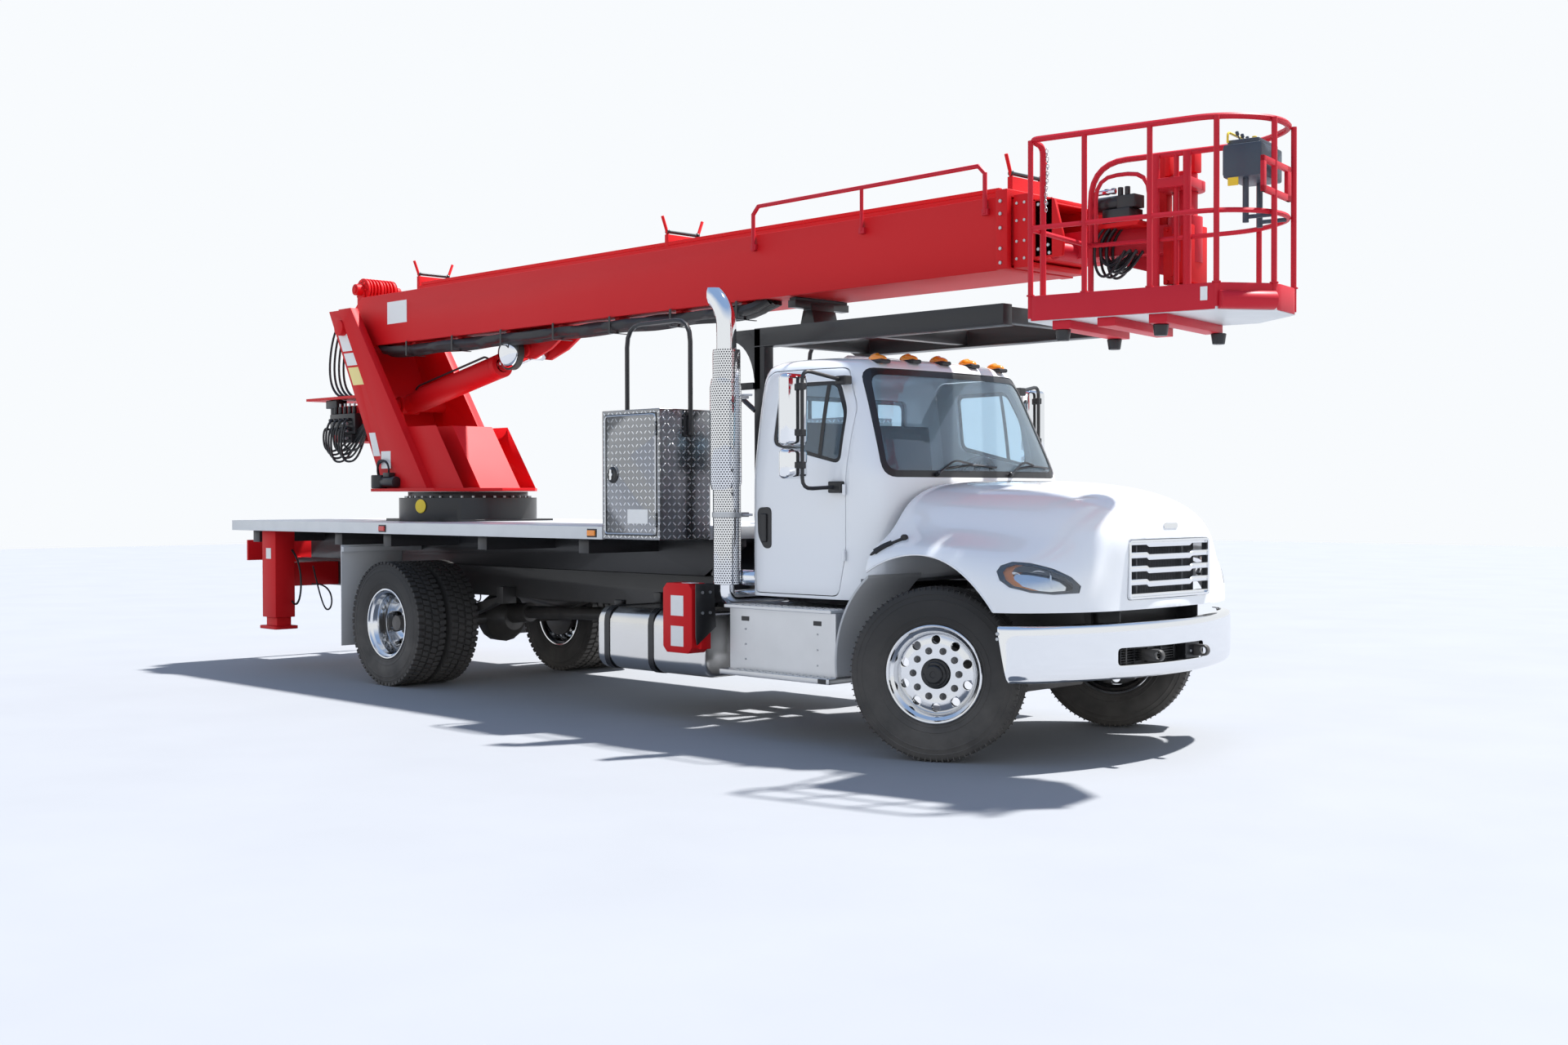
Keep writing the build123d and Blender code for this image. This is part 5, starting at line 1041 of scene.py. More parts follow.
for word, side in bothSides:
    door = copyOf(cabWall, f"door_{word}_shown")
    combine(door, sideCut(roundCorners(doorEdge, 0.05), side, "doorPanel", 0.62), "INTERSECT")
    combine(door, sideCut(roundCorners(doorLight, 0.06), side, "doorWindow"))
    softenEdges(door, 0.004, 2, 50)
    smoothFaces(door, 40)
    leaf = f"door_{word}"
    fit(door, leaf, "whitePaint", leaf)
    pane = copyOf(glassSkin, f"door_glass_{word}_shown")
    combine(pane, sideCut(roundCorners(grown(doorLight, -0.003), 0.06), side, "panePrism"), "INTERSECT")
    fit(smoothFaces(pane, 30), leaf, "cabGlass", f"door_glass_{word}", slot="glass")
    rim = copyOf(bandSkin, "doorRim")
    combine(rim, sideCut(roundCorners(grown(doorLight, 0.001), 0.06), side, "rimOuter"), "INTERSECT")
    combine(rim, sideCut(roundCorners(grown(doorLight, -0.026), 0.045), side, "rimInner", 0.6))
    bar = copyOf(bandSkin, "ventBar")
    combine(bar, sideCut([(-0.985, 1.85), (-0.985, 2.34), (-0.955, 2.34), (-0.955, 1.84)], side, "barCut"),
            "INTERSECT")
    cupOutline = roundCorners(
        [(-1.520, 1.520), (-1.385, 1.525), (-1.385, 1.250), (-1.455, 1.245), (-1.515, 1.330)], 0.045, 6)
    cup = prism("handleCup", aheadOf(cupOutline), 0.0, 0.018, "y", 0.006, 3)
    cup.data.transform(Matrix.Translation((0, side * 1.0165 - 0.009 + side * 0.003, 0)))
    grip = slab("handleGrip", at(-1.478, 0, 1.290), at(-1.425, 0.020, 1.480), 0.0095, 3)
    grip.data.transform(Matrix.Translation((0, side * 1.030 - 0.010 + side * 0.003, 0)))
    hinges = [drum("doorHinge", at(-0.730, side * 1.020, z), at(-0.730, side * 1.020, z + 0.07), 0.012, 36,
                   0.002) for z in (1.18, 1.60)]
    fit(joinPieces([rim, bar, cup, grip], f"door_trim_{word}"), leaf, "satinBlack", slot="chassis_black")
    fit(joinPieces(hinges, f"door_hinges_{word}"), leaf, "whitePaint")

    # Mirrors: two bright heads on a black tube loop
    armY = side * 1.26
    barY = side * 1.24
    loop = pipe("mirrorLoop", [at(-0.79, side * 0.985, 1.655), at(-0.885, barY, 1.640),
                               at(-0.885, barY, 2.400), at(-0.83, side * 0.900, 2.340)], 0.013, 0.07, 12)
    feet = [slab("mirrorFoot", at(-0.85, side * 0.972, 1.615), at(-0.74, side * 1.045, 1.690), 0.008, 2),
            slab("mirrorFoot", at(-0.87, side * 0.885, 2.315), at(-0.78, side * 0.955, 2.372), 0.008, 2)]
    links = [slab("mirrorLink", at(-0.910, barY - 0.020, z), at(-0.868, barY + 0.020, z + 0.045), 0.006, 2)
             for z in (1.770, 1.975, 2.270)]
    fit(joinPieces([loop, *feet, *links], f"mirror_{word}_shown"), leaf, "satinBlack",
        f"mirror_{word}", slot="chassis_black")
    heads, faces = [], []
    for low, high in ((1.915, 2.375), (1.705, 1.900)):
        heads.append(slab("mirrorHead", at(-0.988, armY - 0.105, low), at(-0.905, armY + 0.105, high),
                          0.034, 5))
        faces.append(slab("mirrorFace", at(-0.9905, armY - 0.088, low + 0.018),
                          at(-0.984, armY + 0.088, high - 0.018), 0.003, 2))
    fit(smoothFaces(joinPieces(heads, f"mirror_heads_{word}"), 50), leaf, "chromePlate", slot="chrome")
    fit(joinPieces(faces, f"mirror_faces_{word}"), leaf, "mirrorGlass", slot="chrome")


def onScreen(y, z, lift):
    # A spot on the cab's front, moved off it by lift
    return onSurface(cabSkin, at(1.0, y, z), (-1, 0, 0)) + Vector(lift)


# Wipers lie on the screen, each from a pivot in the cowl
wipers = []
for base, elbow, tip in ((-0.46, -0.30, 0.10), (0.30, 0.44, 0.74)):
    pivot = onScreen(base, 1.742, (0.018, 0, 0))
    middle = onScreen((base + elbow) / 2 + 0.1, 1.82, (0.022, 0, 0.01))
    end = onScreen((elbow + tip) / 2, 1.80, (0.014, 0, 0.004))
    blade = [onScreen(y, z, (0.004, 0, 0.001))
             for y, z in ((elbow - 0.06, 1.775), ((elbow + tip) / 2, 1.80), (tip + 0.06, 1.785))]
    wipers += [pipe("wiperArm", [pivot, middle, end], 0.007, 0.05, 8),
               pipe("wiperBlade", blade, 0.008, 0.1, 6),
               drum("wiperPivot", pivot - Vector((0.02, 0, 0.012)), pivot + Vector((0.006, 0, 0.006)), 0.014,
                    16, 0.003)]
fit(joinPieces(wipers, "wipers"), "root", "satinBlack", slot="chassis_black")
drop(cabWall, glassSkin, bandSkin)
print("cab ready")


# Bonnet: half a control cage, mirrored and smoothed. Rows run back to front, then down the nose.

hoodCage = [
    [(-0.385, 0, 1.697), (-0.385, 0.30, 1.692), (-0.385, 0.58, 1.660), (-0.385, 0.80, 1.560),
     (-0.385, 0.90, 1.420), (-0.385, 1.01, 1.325), (-0.385, 1.15, 1.262), (-0.385, 1.208, 1.12),
     (-0.385, 1.206, 0.90)],
    [(-0.10, 0, 1.697), (-0.10, 0.30, 1.690), (-0.10, 0.56, 1.655), (-0.10, 0.78, 1.545),
     (-0.10, 0.885, 1.425), (-0.10, 1.01, 1.345), (-0.10, 1.165, 1.285), (-0.10, 1.215, 1.13),
     (-0.10, 1.207, 0.90)],
    [(0.30, 0, 1.690), (0.30, 0.29, 1.682), (0.30, 0.54, 1.640), (0.30, 0.74, 1.515), (0.30, 0.86, 1.400),
     (0.30, 1.00, 1.325), (0.30, 1.160, 1.255), (0.30, 1.208, 1.10), (0.30, 1.202, 0.90)],
    [(0.60, 0, 1.662), (0.60, 0.27, 1.652), (0.60, 0.50, 1.605), (0.60, 0.68, 1.480), (0.60, 0.79, 1.365),
     (0.60, 0.94, 1.280), (0.60, 1.10, 1.195), (0.60, 1.168, 1.06), (0.60, 1.172, 0.90)],
    [(0.82, 0, 1.610), (0.82, 0.26, 1.600), (0.82, 0.46, 1.552), (0.81, 0.61, 1.435), (0.80, 0.71, 1.330),
     (0.79, 0.84, 1.245), (0.78, 0.97, 1.150), (0.77, 1.045, 1.03), (0.765, 1.055, 0.90)],
    [(0.95, 0, 1.550), (0.95, 0.25, 1.540), (0.95, 0.43, 1.492), (0.94, 0.56, 1.390), (0.93, 0.635, 1.290),
     (0.92, 0.71, 1.205), (0.91, 0.80, 1.120), (0.90, 0.86, 1.01), (0.895, 0.870, 0.90)],
    [(1.018, 0, 1.485), (1.018, 0.25, 1.475), (1.015, 0.41, 1.435), (1.010, 0.515, 1.345),
     (1.000, 0.570, 1.250), (0.990, 0.615, 1.165), (0.980, 0.665, 1.085), (0.972, 0.700, 1.00),
     (0.970, 0.705, 0.90)],
    [(1.034, 0, 1.400), (1.034, 0.25, 1.395), (1.030, 0.39, 1.365), (1.026, 0.470, 1.290),
     (1.020, 0.500, 1.205), (1.015, 0.520, 1.125), (1.010, 0.540, 1.055), (1.006, 0.555, 0.985),
     (1.005, 0.560, 0.90)],
    [(1.036, 0, 1.22), (1.036, 0.20, 1.22), (1.034, 0.29, 1.20), (1.032, 0.330, 1.15), (1.028, 0.350, 1.10),
     (1.024, 0.360, 1.05), (1.022, 0.370, 1.00), (1.020, 0.375, 0.95), (1.018, 0.380, 0.90)],
    [(1.030, 0, 0.90), (1.030, 0.05, 0.90), (1.030, 0.09, 0.90), (1.030, 0.13, 0.90), (1.028, 0.17, 0.90),
     (1.026, 0.20, 0.90), (1.024, 0.23, 0.90), (1.022, 0.26, 0.90), (1.020, 0.29, 0.90)],
]


def makeHoodSkin():
    rows = [[(x, -y, z) for x, y, z in reversed(row[1:])] + row for row in hoodCage]
    points = [at(*point) for row in rows for point in row]
    return smoothCage("hoodSkin", points, gridFaces(len(rows), len(rows[0])), 3)


hoodSkin = makeHoodSkin()
hood = thickened(hoodSkin, "hood_shown", 0.009)
combine(hood, slab("hoodTrim", at(-0.6, -1.5, 0.7), at(1.4, 1.5, 0.917)))
for side in (-1, 1):
    combine(hood, drum("archCut", at(0, side * 0.5, 0.56), at(0, side * 1.4, 0.56), 0.68, 128))
grilleHole = roundCorners([(-0.44, 0.975), (-0.44, 1.335), (0.44, 1.335), (0.44, 0.975)], 0.025)
combine(hood, crossCut(grilleHole, 0.85, 1.2, "grilleHole"))
arms = cleanCopy("hood", "hood_hinge_arms")
combine(arms, slab("armCut", at(0.6, -0.55, 0.6), at(1.0, 0.55, 0.99)), "INTERSECT")
softenEdges(hood, 0.003, 2, 50)
smoothFaces(hood, 35)
fit(hood, "hood", "whitePaint", "hood")
fit(arms, "hood", "chassisBlack", slot="chassis_black")
print("bonnet ready")


# Headlamps: an outline of points on the bonnet's skin, drawn through it along the corner's own direction

lampSpots = [(0.566, -1.108, 1.155), (0.575, -1.078, 1.190), (0.619, -1.023, 1.211), (0.705, -0.965, 1.204),
             (0.811, -0.888, 1.171), (0.887, -0.818, 1.122), (0.924, -0.776, 1.069), (0.922, -0.791, 1.028),
             (0.841, -0.930, 1.022), (0.755, -1.032, 1.034), (0.657, -1.103, 1.063), (0.598, -1.120, 1.104)]
lampFacing = Vector((0.66, -0.62, 0.30)).normalized()
lampAlong = Vector((-lampFacing.y, lampFacing.x, 0)).normalized()
lampMiddle = sum((at(*spot) for spot in lampSpots), Vector()) / len(lampSpots)


def lampPrism(name, scale, reach, shift=0.0):
    # The outline at a scale of its own, moved along the lamp by shift and drawn out by reach both ways
    flat = []
    for spot in lampSpots:
        offset = at(*spot) - lampMiddle
        flat.append(lampMiddle + (offset - offset.dot(lampFacing) * lampFacing) * scale + lampAlong * shift)
    ring = [spot - lampFacing * reach for spot in flat] + [spot + lampFacing * reach for spot in flat]
    count = len(flat)
    sides = [(k, (k + 1) % count, count + (k + 1) % count, count + k) for k in range(count)]
    piece = meshPiece(name, ring, [], sides + [tuple(range(count)), tuple(range(count, 2 * count))])
    openMesh()
    closeMesh()
    return piece


def skinPatch(name, thickness, sink, outer, inner=0, shift=0.0):
    # A piece of the bonnet's skin inside one prism and outside another
    patch = thickened(hoodSkin, name, thickness, sink)
    combine(patch, lampPrism("patchOuter", outer, 0.25), "INTERSECT")
    if inner:
        combine(patch, lampPrism("patchInner", inner, 0.3, shift))
    return patch


lampHole = lampPrism("lampHole", 1.0, 0.2)
combine(hood, mirrored(lampHole, "lampHoleLeft"))
combine(hood, lampHole)
lens = smoothFaces(skinPatch("lampLens", 0.003, -0.001, 0.985), 30)
bezel = smoothFaces(skinPatch("lampBezel", 0.010, 0.006, 0.990, 0.83), 30)
bowls, bulbs = [smoothFaces(skinPatch("lampDish", 0.004, 0.060, 0.97), 30)], []
for shift, radius in ((-0.115, 0.052), (0.030, 0.060)):
    spot = lampMiddle + lampAlong * shift - lampFacing * 0.055 + Vector((0, 0, -0.004))
    profile = [(0.008, -0.034), (radius * 0.45, -0.030), (radius * 0.75, -0.016), (radius, 0.010),
               (radius * 1.06, 0.012), (radius * 1.06, 0.008), (radius * 0.78, -0.022), (0.008, -0.040),
               (0.008, -0.034)]
    bowls.append(lathe("lampBowl", profile, spot, lampFacing, 40))
    bulbs.append(drum("lampBulb", spot - lampFacing * 0.03, spot + lampFacing * 0.004, 0.011, 16, 0.004))
divider = slab("lampDivider", (-0.006, -0.050, -0.030), (0.006, 0.050, 0.020), 0.003)
divider.data.transform(Matrix.Translation(lampMiddle - lampFacing * 0.05 + lampAlong * 0.10)
                       @ lampFacing.to_track_quat("Z", "Y").to_matrix().to_4x4())
bowls.append(divider)
reflector = skinPatch("lampReflector", 0.004, 0.022, 0.84, 0.84, 0.055)
for name, parts, look, slotName in (
        ("headlamp_lens", [lens], "lampLens", "glass"),
        ("headlamp_bezel", [bezel], "consoleGrey", "grey_trim"),
        ("headlamp_bowls", bowls, "chromePlate", "chrome"),
        ("headlamp_bulbs", bulbs, "blankLabel", "white_paint"),
        ("headlamp_reflector", [reflector], "amberPlastic", "amber_lens")):
    right = joinPieces(parts, name + "_right")
    fit(mirrored(right, name + "_left"), "hood", look, slot=slotName)
    fit(right, "hood", look, slot=slotName)


def besideBonnet(station, z, side, lift):
    # A spot on the bonnet's flank, moved outwards by lift
    return onSurface(hoodSkin, at(station, side * 2, z), (0, -side, 0)) + Vector((0, side * lift, 0))


# Lip round each wheel arch, latch straps at the bonnet's rear corners and the plain oval plate on the nose
for word, side in bothSides:
    rim = []
    for step in range(25):
        turn = radians(32 + (124 - 32) * step / 24)
        rim.append(besideBonnet(0.682 * cos(turn), 0.56 + 0.682 * sin(turn), side, -0.004))
    fit(pipe(f"arch_lip_{word}", rim, 0.0075, 0, 8), "hood", "whitePaint")
    spots = [besideBonnet(x, z, side, 0.014) for x, z in ((-0.370, 1.235), (-0.300, 1.285), (-0.205, 1.335))]
    first = at(-0.455, side * 1.037, 1.185)
    strap = pipe("latchStrap", [first] + spots, 0.011, 0.04, 8)
    low, middle, top = spots
    grip = pipe("latchGrip", [low + (middle - low) * 0.3, middle, middle + (top - middle) * 0.4], 0.021,
                0.02, 10)
    end = drum("latchEnd", top - Vector((0, side * 0.016, 0)), top + Vector((0, side * 0.012, 0)), 0.024, 16,
               0.005)
    fit(joinPieces([strap, grip, end], f"bonnet_latch_{word}"), "hood", "hoseRubber", slot="hose_rubber")
plateEdge = roundCorners([(-0.075, 1.395), (-0.075, 1.430), (0.075, 1.430), (0.075, 1.395)], 0.03)
plate = prism("nose_plate", plateEdge, axleX + 1.018, axleX + 1.034, "x", 0.003)
fit(plate, "hood", "chromePlate", slot="chrome")
softenEdges(hood, 0.002, 1, 60)

# Grille: bright frame, stepped bars with thin edges and a dark core behind
grilleEdge = [(-0.437, 0.978), (-0.437, 1.332), (0.437, 1.332), (0.437, 0.978)]
grilleFrame = prism("grilleFrame", roundCorners(grilleEdge, 0.022), axleX + 0.985, axleX + 1.035, "x")
combine(grilleFrame, crossCut(roundCorners(grown(grilleEdge, -0.016), 0.014), 0.9, 1.1, "frameHole"))
softenEdges(grilleFrame, 0.004, 3, 40)


def steppedLine(z):
    # A bar's edge from side to side, lower in its middle part
    low = z - 0.014
    return [(-0.425, z), (-0.25, z), (-0.225, low), (0.225, low), (0.25, z), (0.425, z)]


bars = [grilleFrame]
for z in (1.062, 1.142, 1.222):
    outline = steppedLine(z) + list(reversed(steppedLine(z + 0.036)))
    bars.append(prism("grilleBar", outline, axleX + 0.992, axleX + 1.030, "x", 0.006, 3))
for z in (1.300, 0.990):
    outline = steppedLine(z) + [(0.425, z + 0.022), (-0.425, z + 0.022)]
    bars.append(prism("grilleEdge", outline, axleX + 0.992, axleX + 1.026, "x", 0.004, 2))
fit(smoothFaces(joinPieces(bars, "grille_shown"), 40), "hood", "chromePlate", "grille", slot="chrome")
core = [slab("core", at(0.900, -0.43, 0.975), at(0.905, 0.43, 1.335))]
fin = slab("coreFin", at(0.905, -0.424, 0.98), at(0.925, -0.421, 1.33))
for index in range(66):
    twin = copyOf(fin, "coreFin")
    twin.data.transform(Matrix.Translation((0, index * 0.013, 0)))
    core.append(twin)
drop(fin)
core += [slab("corePost", at(0.925, y - 0.008, 0.98), at(0.955, y + 0.008, 1.33), 0.002)
         for y in (-0.25, 0.25)]
fit(joinPieces(core, "grille_core"), "hood", "greyTrim", slot="grey_trim")

# Bumper: one bright pressing with rolled edges and swept ends, cut for the air slot
bumperPlan = [(0.632, 1.188), (0.70, 1.170), (0.77, 1.120), (0.85, 1.000), (0.92, 0.82), (0.985, 0.62),
              (1.035, 0.42), (1.068, 0.22), (1.076, 0.0)]
bumperCross = [(0.055, 0.842), (0.020, 0.842), (0.003, 0.832), (0.0, 0.800), (0.0, 0.700), (0.0, 0.590),
               (0.006, 0.540), (0.030, 0.518), (0.060, 0.514)]


def makeBumper():
    plan = bumperPlan + [(x, -y) for x, y in reversed(bumperPlan[:-1])]
    points = []
    for index, (x, y) in enumerate(plan):
        before, after = plan[max(0, index - 1)], plan[min(len(plan) - 1, index + 1)]
        run = Vector((after[0] - before[0], after[1] - before[1]))
        inward = Vector((run.y, -run.x)).normalized()
        isEnd = index in (0, len(plan) - 1)
        for inset, z in bumperCross:
            slant = (bumperCross[0][1] - z) * 0.20 if isEnd else 0
            points.append(at(x + inward.x * inset + slant, y + inward.y * inset, z))
    piece = smoothCage("bumper_shown", points, gridFaces(len(plan), len(bumperCross)), 2)
    useModifier(piece, "SOLIDIFY", thickness=0.006, offset=1)
    return piece


bumper = makeBumper()
slotEdge = [(-0.53, 0.594), (-0.53, 0.698), (0.33, 0.698), (0.33, 0.594)]
combine(bumper, crossCut(roundCorners(slotEdge, 0.03), 0.9, 1.2, "slotCut"))
softenEdges(bumper, 0.002, 2, 50)
smoothFaces(bumper, 35)
fit(bumper, "root", "chromePlate", "bumper", slot="chrome")
slotParts = [slab("slotBack", at(0.970, -0.56, 0.575), at(0.977, 0.36, 0.712)),
             slab("slotBracket", at(0.975, 0.150, 0.585), at(1.046, 0.300, 0.706), 0.006)]
for row in range(6):
    z = 0.604 + row * 0.0155
    slotParts.append(slab("slotBar", at(0.985, -0.49, z), at(1.000, 0.08, z + 0.004)))
for y in (-0.49, -0.3475, -0.205, -0.0625, 0.08):
    slotParts.append(slab("slotPost", at(0.980, y - 0.003, 0.594), at(1.003, y + 0.003, 0.698)))
fit(joinPieces(slotParts, "bumper_slot"), "root", "satinBlack", slot="chassis_black")
bolts = [drum("slotBolt", at(1.045, y, 0.640), at(1.053, y, 0.640), 0.009, 6, 0.002) for y in (0.200, 0.250)]
bolts += [drum("bumperBolt", at(0.640, side * 1.184, z), at(0.640, side * 1.200, z), 0.011, 6, 0.002)
          for side in (-1, 1) for z in (0.77, 0.80)]
fit(joinPieces(bolts, "bumper_bolts"), "root", "galvanised", slot="aluminium")

# Lamps: five domes on the roof, markers along the bed and the rear lamps
domes, feet = [], []
for y in (-0.62, -0.31, 0.0, 0.31, 0.62):
    spot = onSurface(cabSkin, at(-0.80, y, 3.0), (0, 0, -1))
    deselect()
    bpy.ops.mesh.primitive_uv_sphere_add(
        segments=24, ring_count=12, radius=1, location=spot + Vector((0, 0, 0.006)))
    dome = bpy.context.view_layer.objects.active
    dome.scale = (0.075, 0.045, 0.042)
    settle(dome)
    for vertex in dome.data.vertices:      # low at the front, full at the back
        if vertex.co.x > spot.x:
            vertex.co.z = spot.z + (vertex.co.z - spot.z) * 0.8
    smoothFaces(dome, 60)
    domes.append(dome)
    feet.append(slab("lampFoot", spot - Vector((0.080, 0.048, 0.022)), spot + Vector((0.078, 0.048, 0.007)),
                     0.012))
fit(joinPieces(domes, "roof_lamps"), "root", "amberPlastic", "lamps", slot="amber_lens")
fit(joinPieces(feet, "roof_lamp_feet"), "root", "hoseRubber", slot="chassis_black")
markers, redMarkers, markerRims = [], [], []
for side in (-1, 1):
    for station, group in ((-3.05, markers), (-5.88, redMarkers)):
        group.append(slab("sideMarker", at(station - 0.045, side * 1.221, 1.310),
                          at(station + 0.045, side * 1.236, 1.352), 0.006, 3))
        markerRims.append(slab("markerRim", at(station - 0.055, side * 1.217, 1.300),
                               at(station + 0.055, side * 1.226, 1.362), 0.004))
    redMarkers.append(
        slab("rearLamp", at(-8.575, side * 0.80, 1.305), at(-8.548, side * 1.10, 1.365), 0.008, 3))
fit(joinPieces(markers, "amber_markers"), "root", "amberPlastic", slot="amber_lens")
fit(joinPieces(redMarkers, "red_markers"), "root", "redPlastic", slot="amber_lens")
fit(joinPieces(markerRims, "marker_rims"), "root", "satinBlack", slot="chassis_black")
drop(hoodSkin, cabSkin)
print("nose and lamps ready")


# Basket. It has its own frame, turned a little against the boom.

basketTurn = radians(10)
mastX, mastY = 1.020, 0.175


def inBasket(along, across, z):
    return at(0.680 + along * cos(basketTurn) - across * sin(basketTurn),
              -0.980 + along * sin(basketTurn) + across * cos(basketTurn), z)


def basketBar(name, start, end, radius, sides, bevel=0.0):
    return drum(name, inBasket(*start), inBasket(*end), radius, sides, bevel)


def basketSlab(name, low, high, bevel=0.0):
    piece = slab(name, low, high, bevel)
    piece.rotation_euler = (0, 0, basketTurn)
    piece.location = inBasket(0, 0, 0)
    settle(piece)
    return piece


def basketRoute(spots):
    return [inBasket(*spot) for spot in spots]


def basketPlan(inset):
    near = inset * 0.4
    spots = [(inset, inset), (1.150 - near, inset), (1.400 - inset, 0.250 + near),
             (1.400 - inset, 0.570 - near), (1.070 - near, 0.900 - inset), (inset, 0.900 - inset)]
    return [(place.x, place.y) for place in basketRoute([(along, across, 0) for along, across in spots])]


def makeBasket():
    toeBoard = prism("basket_frame", roundCorners(basketPlan(0.0), 0.07, 5), 2.606, 2.750, "z")
    combine(toeBoard, prism("toeCut", roundCorners(basketPlan(0.012), 0.06, 5), 2.5, 2.9, "z"))
    softenEdges(toeBoard, 0.003, 2, 50)
    topRoute = [(0.021, 0.180, 2.62), (0.021, 0.180, 3.640), (0.021, 0.021, 3.655), (1.150, 0.021, 3.655),
                (1.379, 0.250, 3.655), (1.379, 0.570, 3.655), (1.070, 0.879, 3.655), (0.0, 0.879, 3.655),
                (0.0, 0.879, 2.62)]
    pieces = [toeBoard, pipe("topRail", basketRoute(topRoute), 0.0185,
                             [0, 0.05, 0.06, 0.2, 0.2, 0.2, 0.2, 0.24, 0], 12, cornerSteps=7)]
    midRoute = [(along, across, 3.145) for along, across in
                [(0.0, 0.021), (1.150, 0.021), (1.379, 0.250), (1.379, 0.570), (1.070, 0.879), (0.0, 0.879)]]
    pieces.append(pipe("midRail", basketRoute(midRoute), 0.0150,
                       [0.05, 0.2, 0.2, 0.2, 0.2, 0.06], 10, True, 6))
    for along, across, top in [(0.021, 0.021, 3.65), (0.36, 0.021, 3.655), (0.755, 0.021, 3.655),
                               (1.140, 0.021, 3.655), (1.379, 0.250, 3.655), (1.379, 0.570, 3.655),
                               (1.070, 0.879, 3.655), (0.560, 0.879, 3.655)]:
        pieces.append(basketBar("post", (along, across, 2.62), (along, across, top), 0.0160, 12))
        pieces.append(basketBar("postFoot", (along, across, 2.750), (along, across, 2.758), 0.024, 12))
    # Cross channels under the floor, the columns and arms that turn on the mast, and the nose tube
    for along in (0.21, 0.49, 0.80):
        pieces.append(basketSlab(
            "channel", (along - 0.055, 0.03, 2.552), (along + 0.055, 0.87, 2.603), 0.004))
    for offset in (0.435, 0.635):
        pieces.append(basketBar("column", (offset, 0.86, 2.62), (offset, 0.86, 3.655), 0.025, 16))
    for low in (2.800, 3.450):
        arm = basketSlab("turnArm", (0.415, 0.84, low), (0.655, 1.05, low + 0.06), 0.006)
        collar = drum("turnCollar", at(mastX, mastY, low), at(mastX, mastY, low + 0.06), 0.120, 36, 0.005)
        combine(arm, collar, "UNION")
        combine(arm, drum("mastHole", at(mastX, mastY, low - 0.1), at(mastX, mastY, low + 0.2), 0.079, 36))
        pieces.append(arm)
    pieces.append(basketBar("noseTube", (1.165, 0.005, 2.655), (1.395, 0.225, 2.655), 0.050, 24, 0.006))
    # Frame with the small window in front of the controls
    for left, right, low, high in ((0.06, 0.50, 3.385, 3.420), (0.06, 0.50, 3.225, 3.262),
                                   (0.06, 0.10, 3.225, 3.420), (0.44, 0.50, 3.225, 3.420)):
        pieces.append(basketSlab("windowFrame", (1.368, left, low), (1.390, right, high), 0.004))
    hoopRoute = [(0.05, 0.845, 3.16), (0.05, 0.845, 3.56), (0.40, 0.845, 3.56), (0.40, 0.845, 3.16)]
    pieces.append(pipe("innerHoop", basketRoute(hoopRoute), 0.014, 0.14, 10))
    return smoothFaces(joinPieces(pieces, "basket_frame"))


fit(makeBasket(), "basket", "redRailPaint", "basket")
fit(prism("basket_floor", basketPlan(0.010), 2.602, 2.630, "z", 0.002), "basket", "bedWhite", "basket")


def makeFoot(along, across):
    foot = drum("foot", inBasket(along, across, 2.487), inBasket(along, across, 2.552), 0.036, 24, 0.0, 0.046)
    softenEdges(foot, 0.006, 3, 50)
    return foot


basketFeet = joinPieces([makeFoot(along, across) for along, across in
                         ((0.200, 0.080), (0.190, 0.810), (0.780, 0.120), (0.840, 0.840))], "basket_feet")
fit(smoothFaces(basketFeet), "basket", "satinBlack", "basket")

basketPlate = basketSlab("basket_plate", (1.058, -0.004, 2.655), (1.098, 0.002, 2.730), 0.001)
fit(basketPlate, "basket", "blankLabel", "basket")


def makeChain():
    # Links turned by turns, hanging beside the way in
    links = []
    for index in range(17):
        bpy.ops.mesh.primitive_torus_add(major_radius=0.010, minor_radius=0.0026, major_segments=10,
                                         minor_segments=5, location=(0, 0, 0))
        link = bpy.context.view_layer.objects.active
        link.scale = (0.75, 1.35, 1)
        link.rotation_euler = (pi / 2, 0, pi / 2 * (index % 2) + 0.4)
        link.location = inBasket(0.045, 0.180 + 0.012 * sin(index * 0.35), 3.615 - 0.0215 * index)
        settle(link)
        links.append(link)
    return smoothFaces(joinPieces(links, "entry_chain"), 60)


fit(makeChain(), "basket", "galvanised", "basket")


# Control console

def makeConsole():
    box = basketSlab("console_box", (1.100, 0.215, 3.345), (1.318, 0.560, 3.530), 0.012)
    lid = basketSlab("consoleLid", (1.118, 0.235, 3.528), (1.300, 0.540, 3.556), 0.008)
    face = basketSlab("consoleFace", (1.092, 0.235, 3.365), (1.102, 0.540, 3.515), 0.004)
    pieces = [box, lid, face]
    for across in (0.27, 0.35, 0.43, 0.51):
        pieces.append(basketBar("lever", (1.180, across, 3.55), (1.165, across, 3.592), 0.004, 8))
        pieces.append(basketBar("knob", (1.166, across, 3.585), (1.160, across, 3.606), 0.010, 12, 0.003))
    for across in (0.275, 0.495):
        pieces.append(basketBar("leg", (1.210, across, 3.35), (1.210, across, 3.10), 0.017, 12))
        pieces.append(basketBar("stay", (1.210, across, 3.130), (1.36, across, 3.130), 0.012, 10))
    return smoothFaces(joinPieces(pieces, "console_shown"))


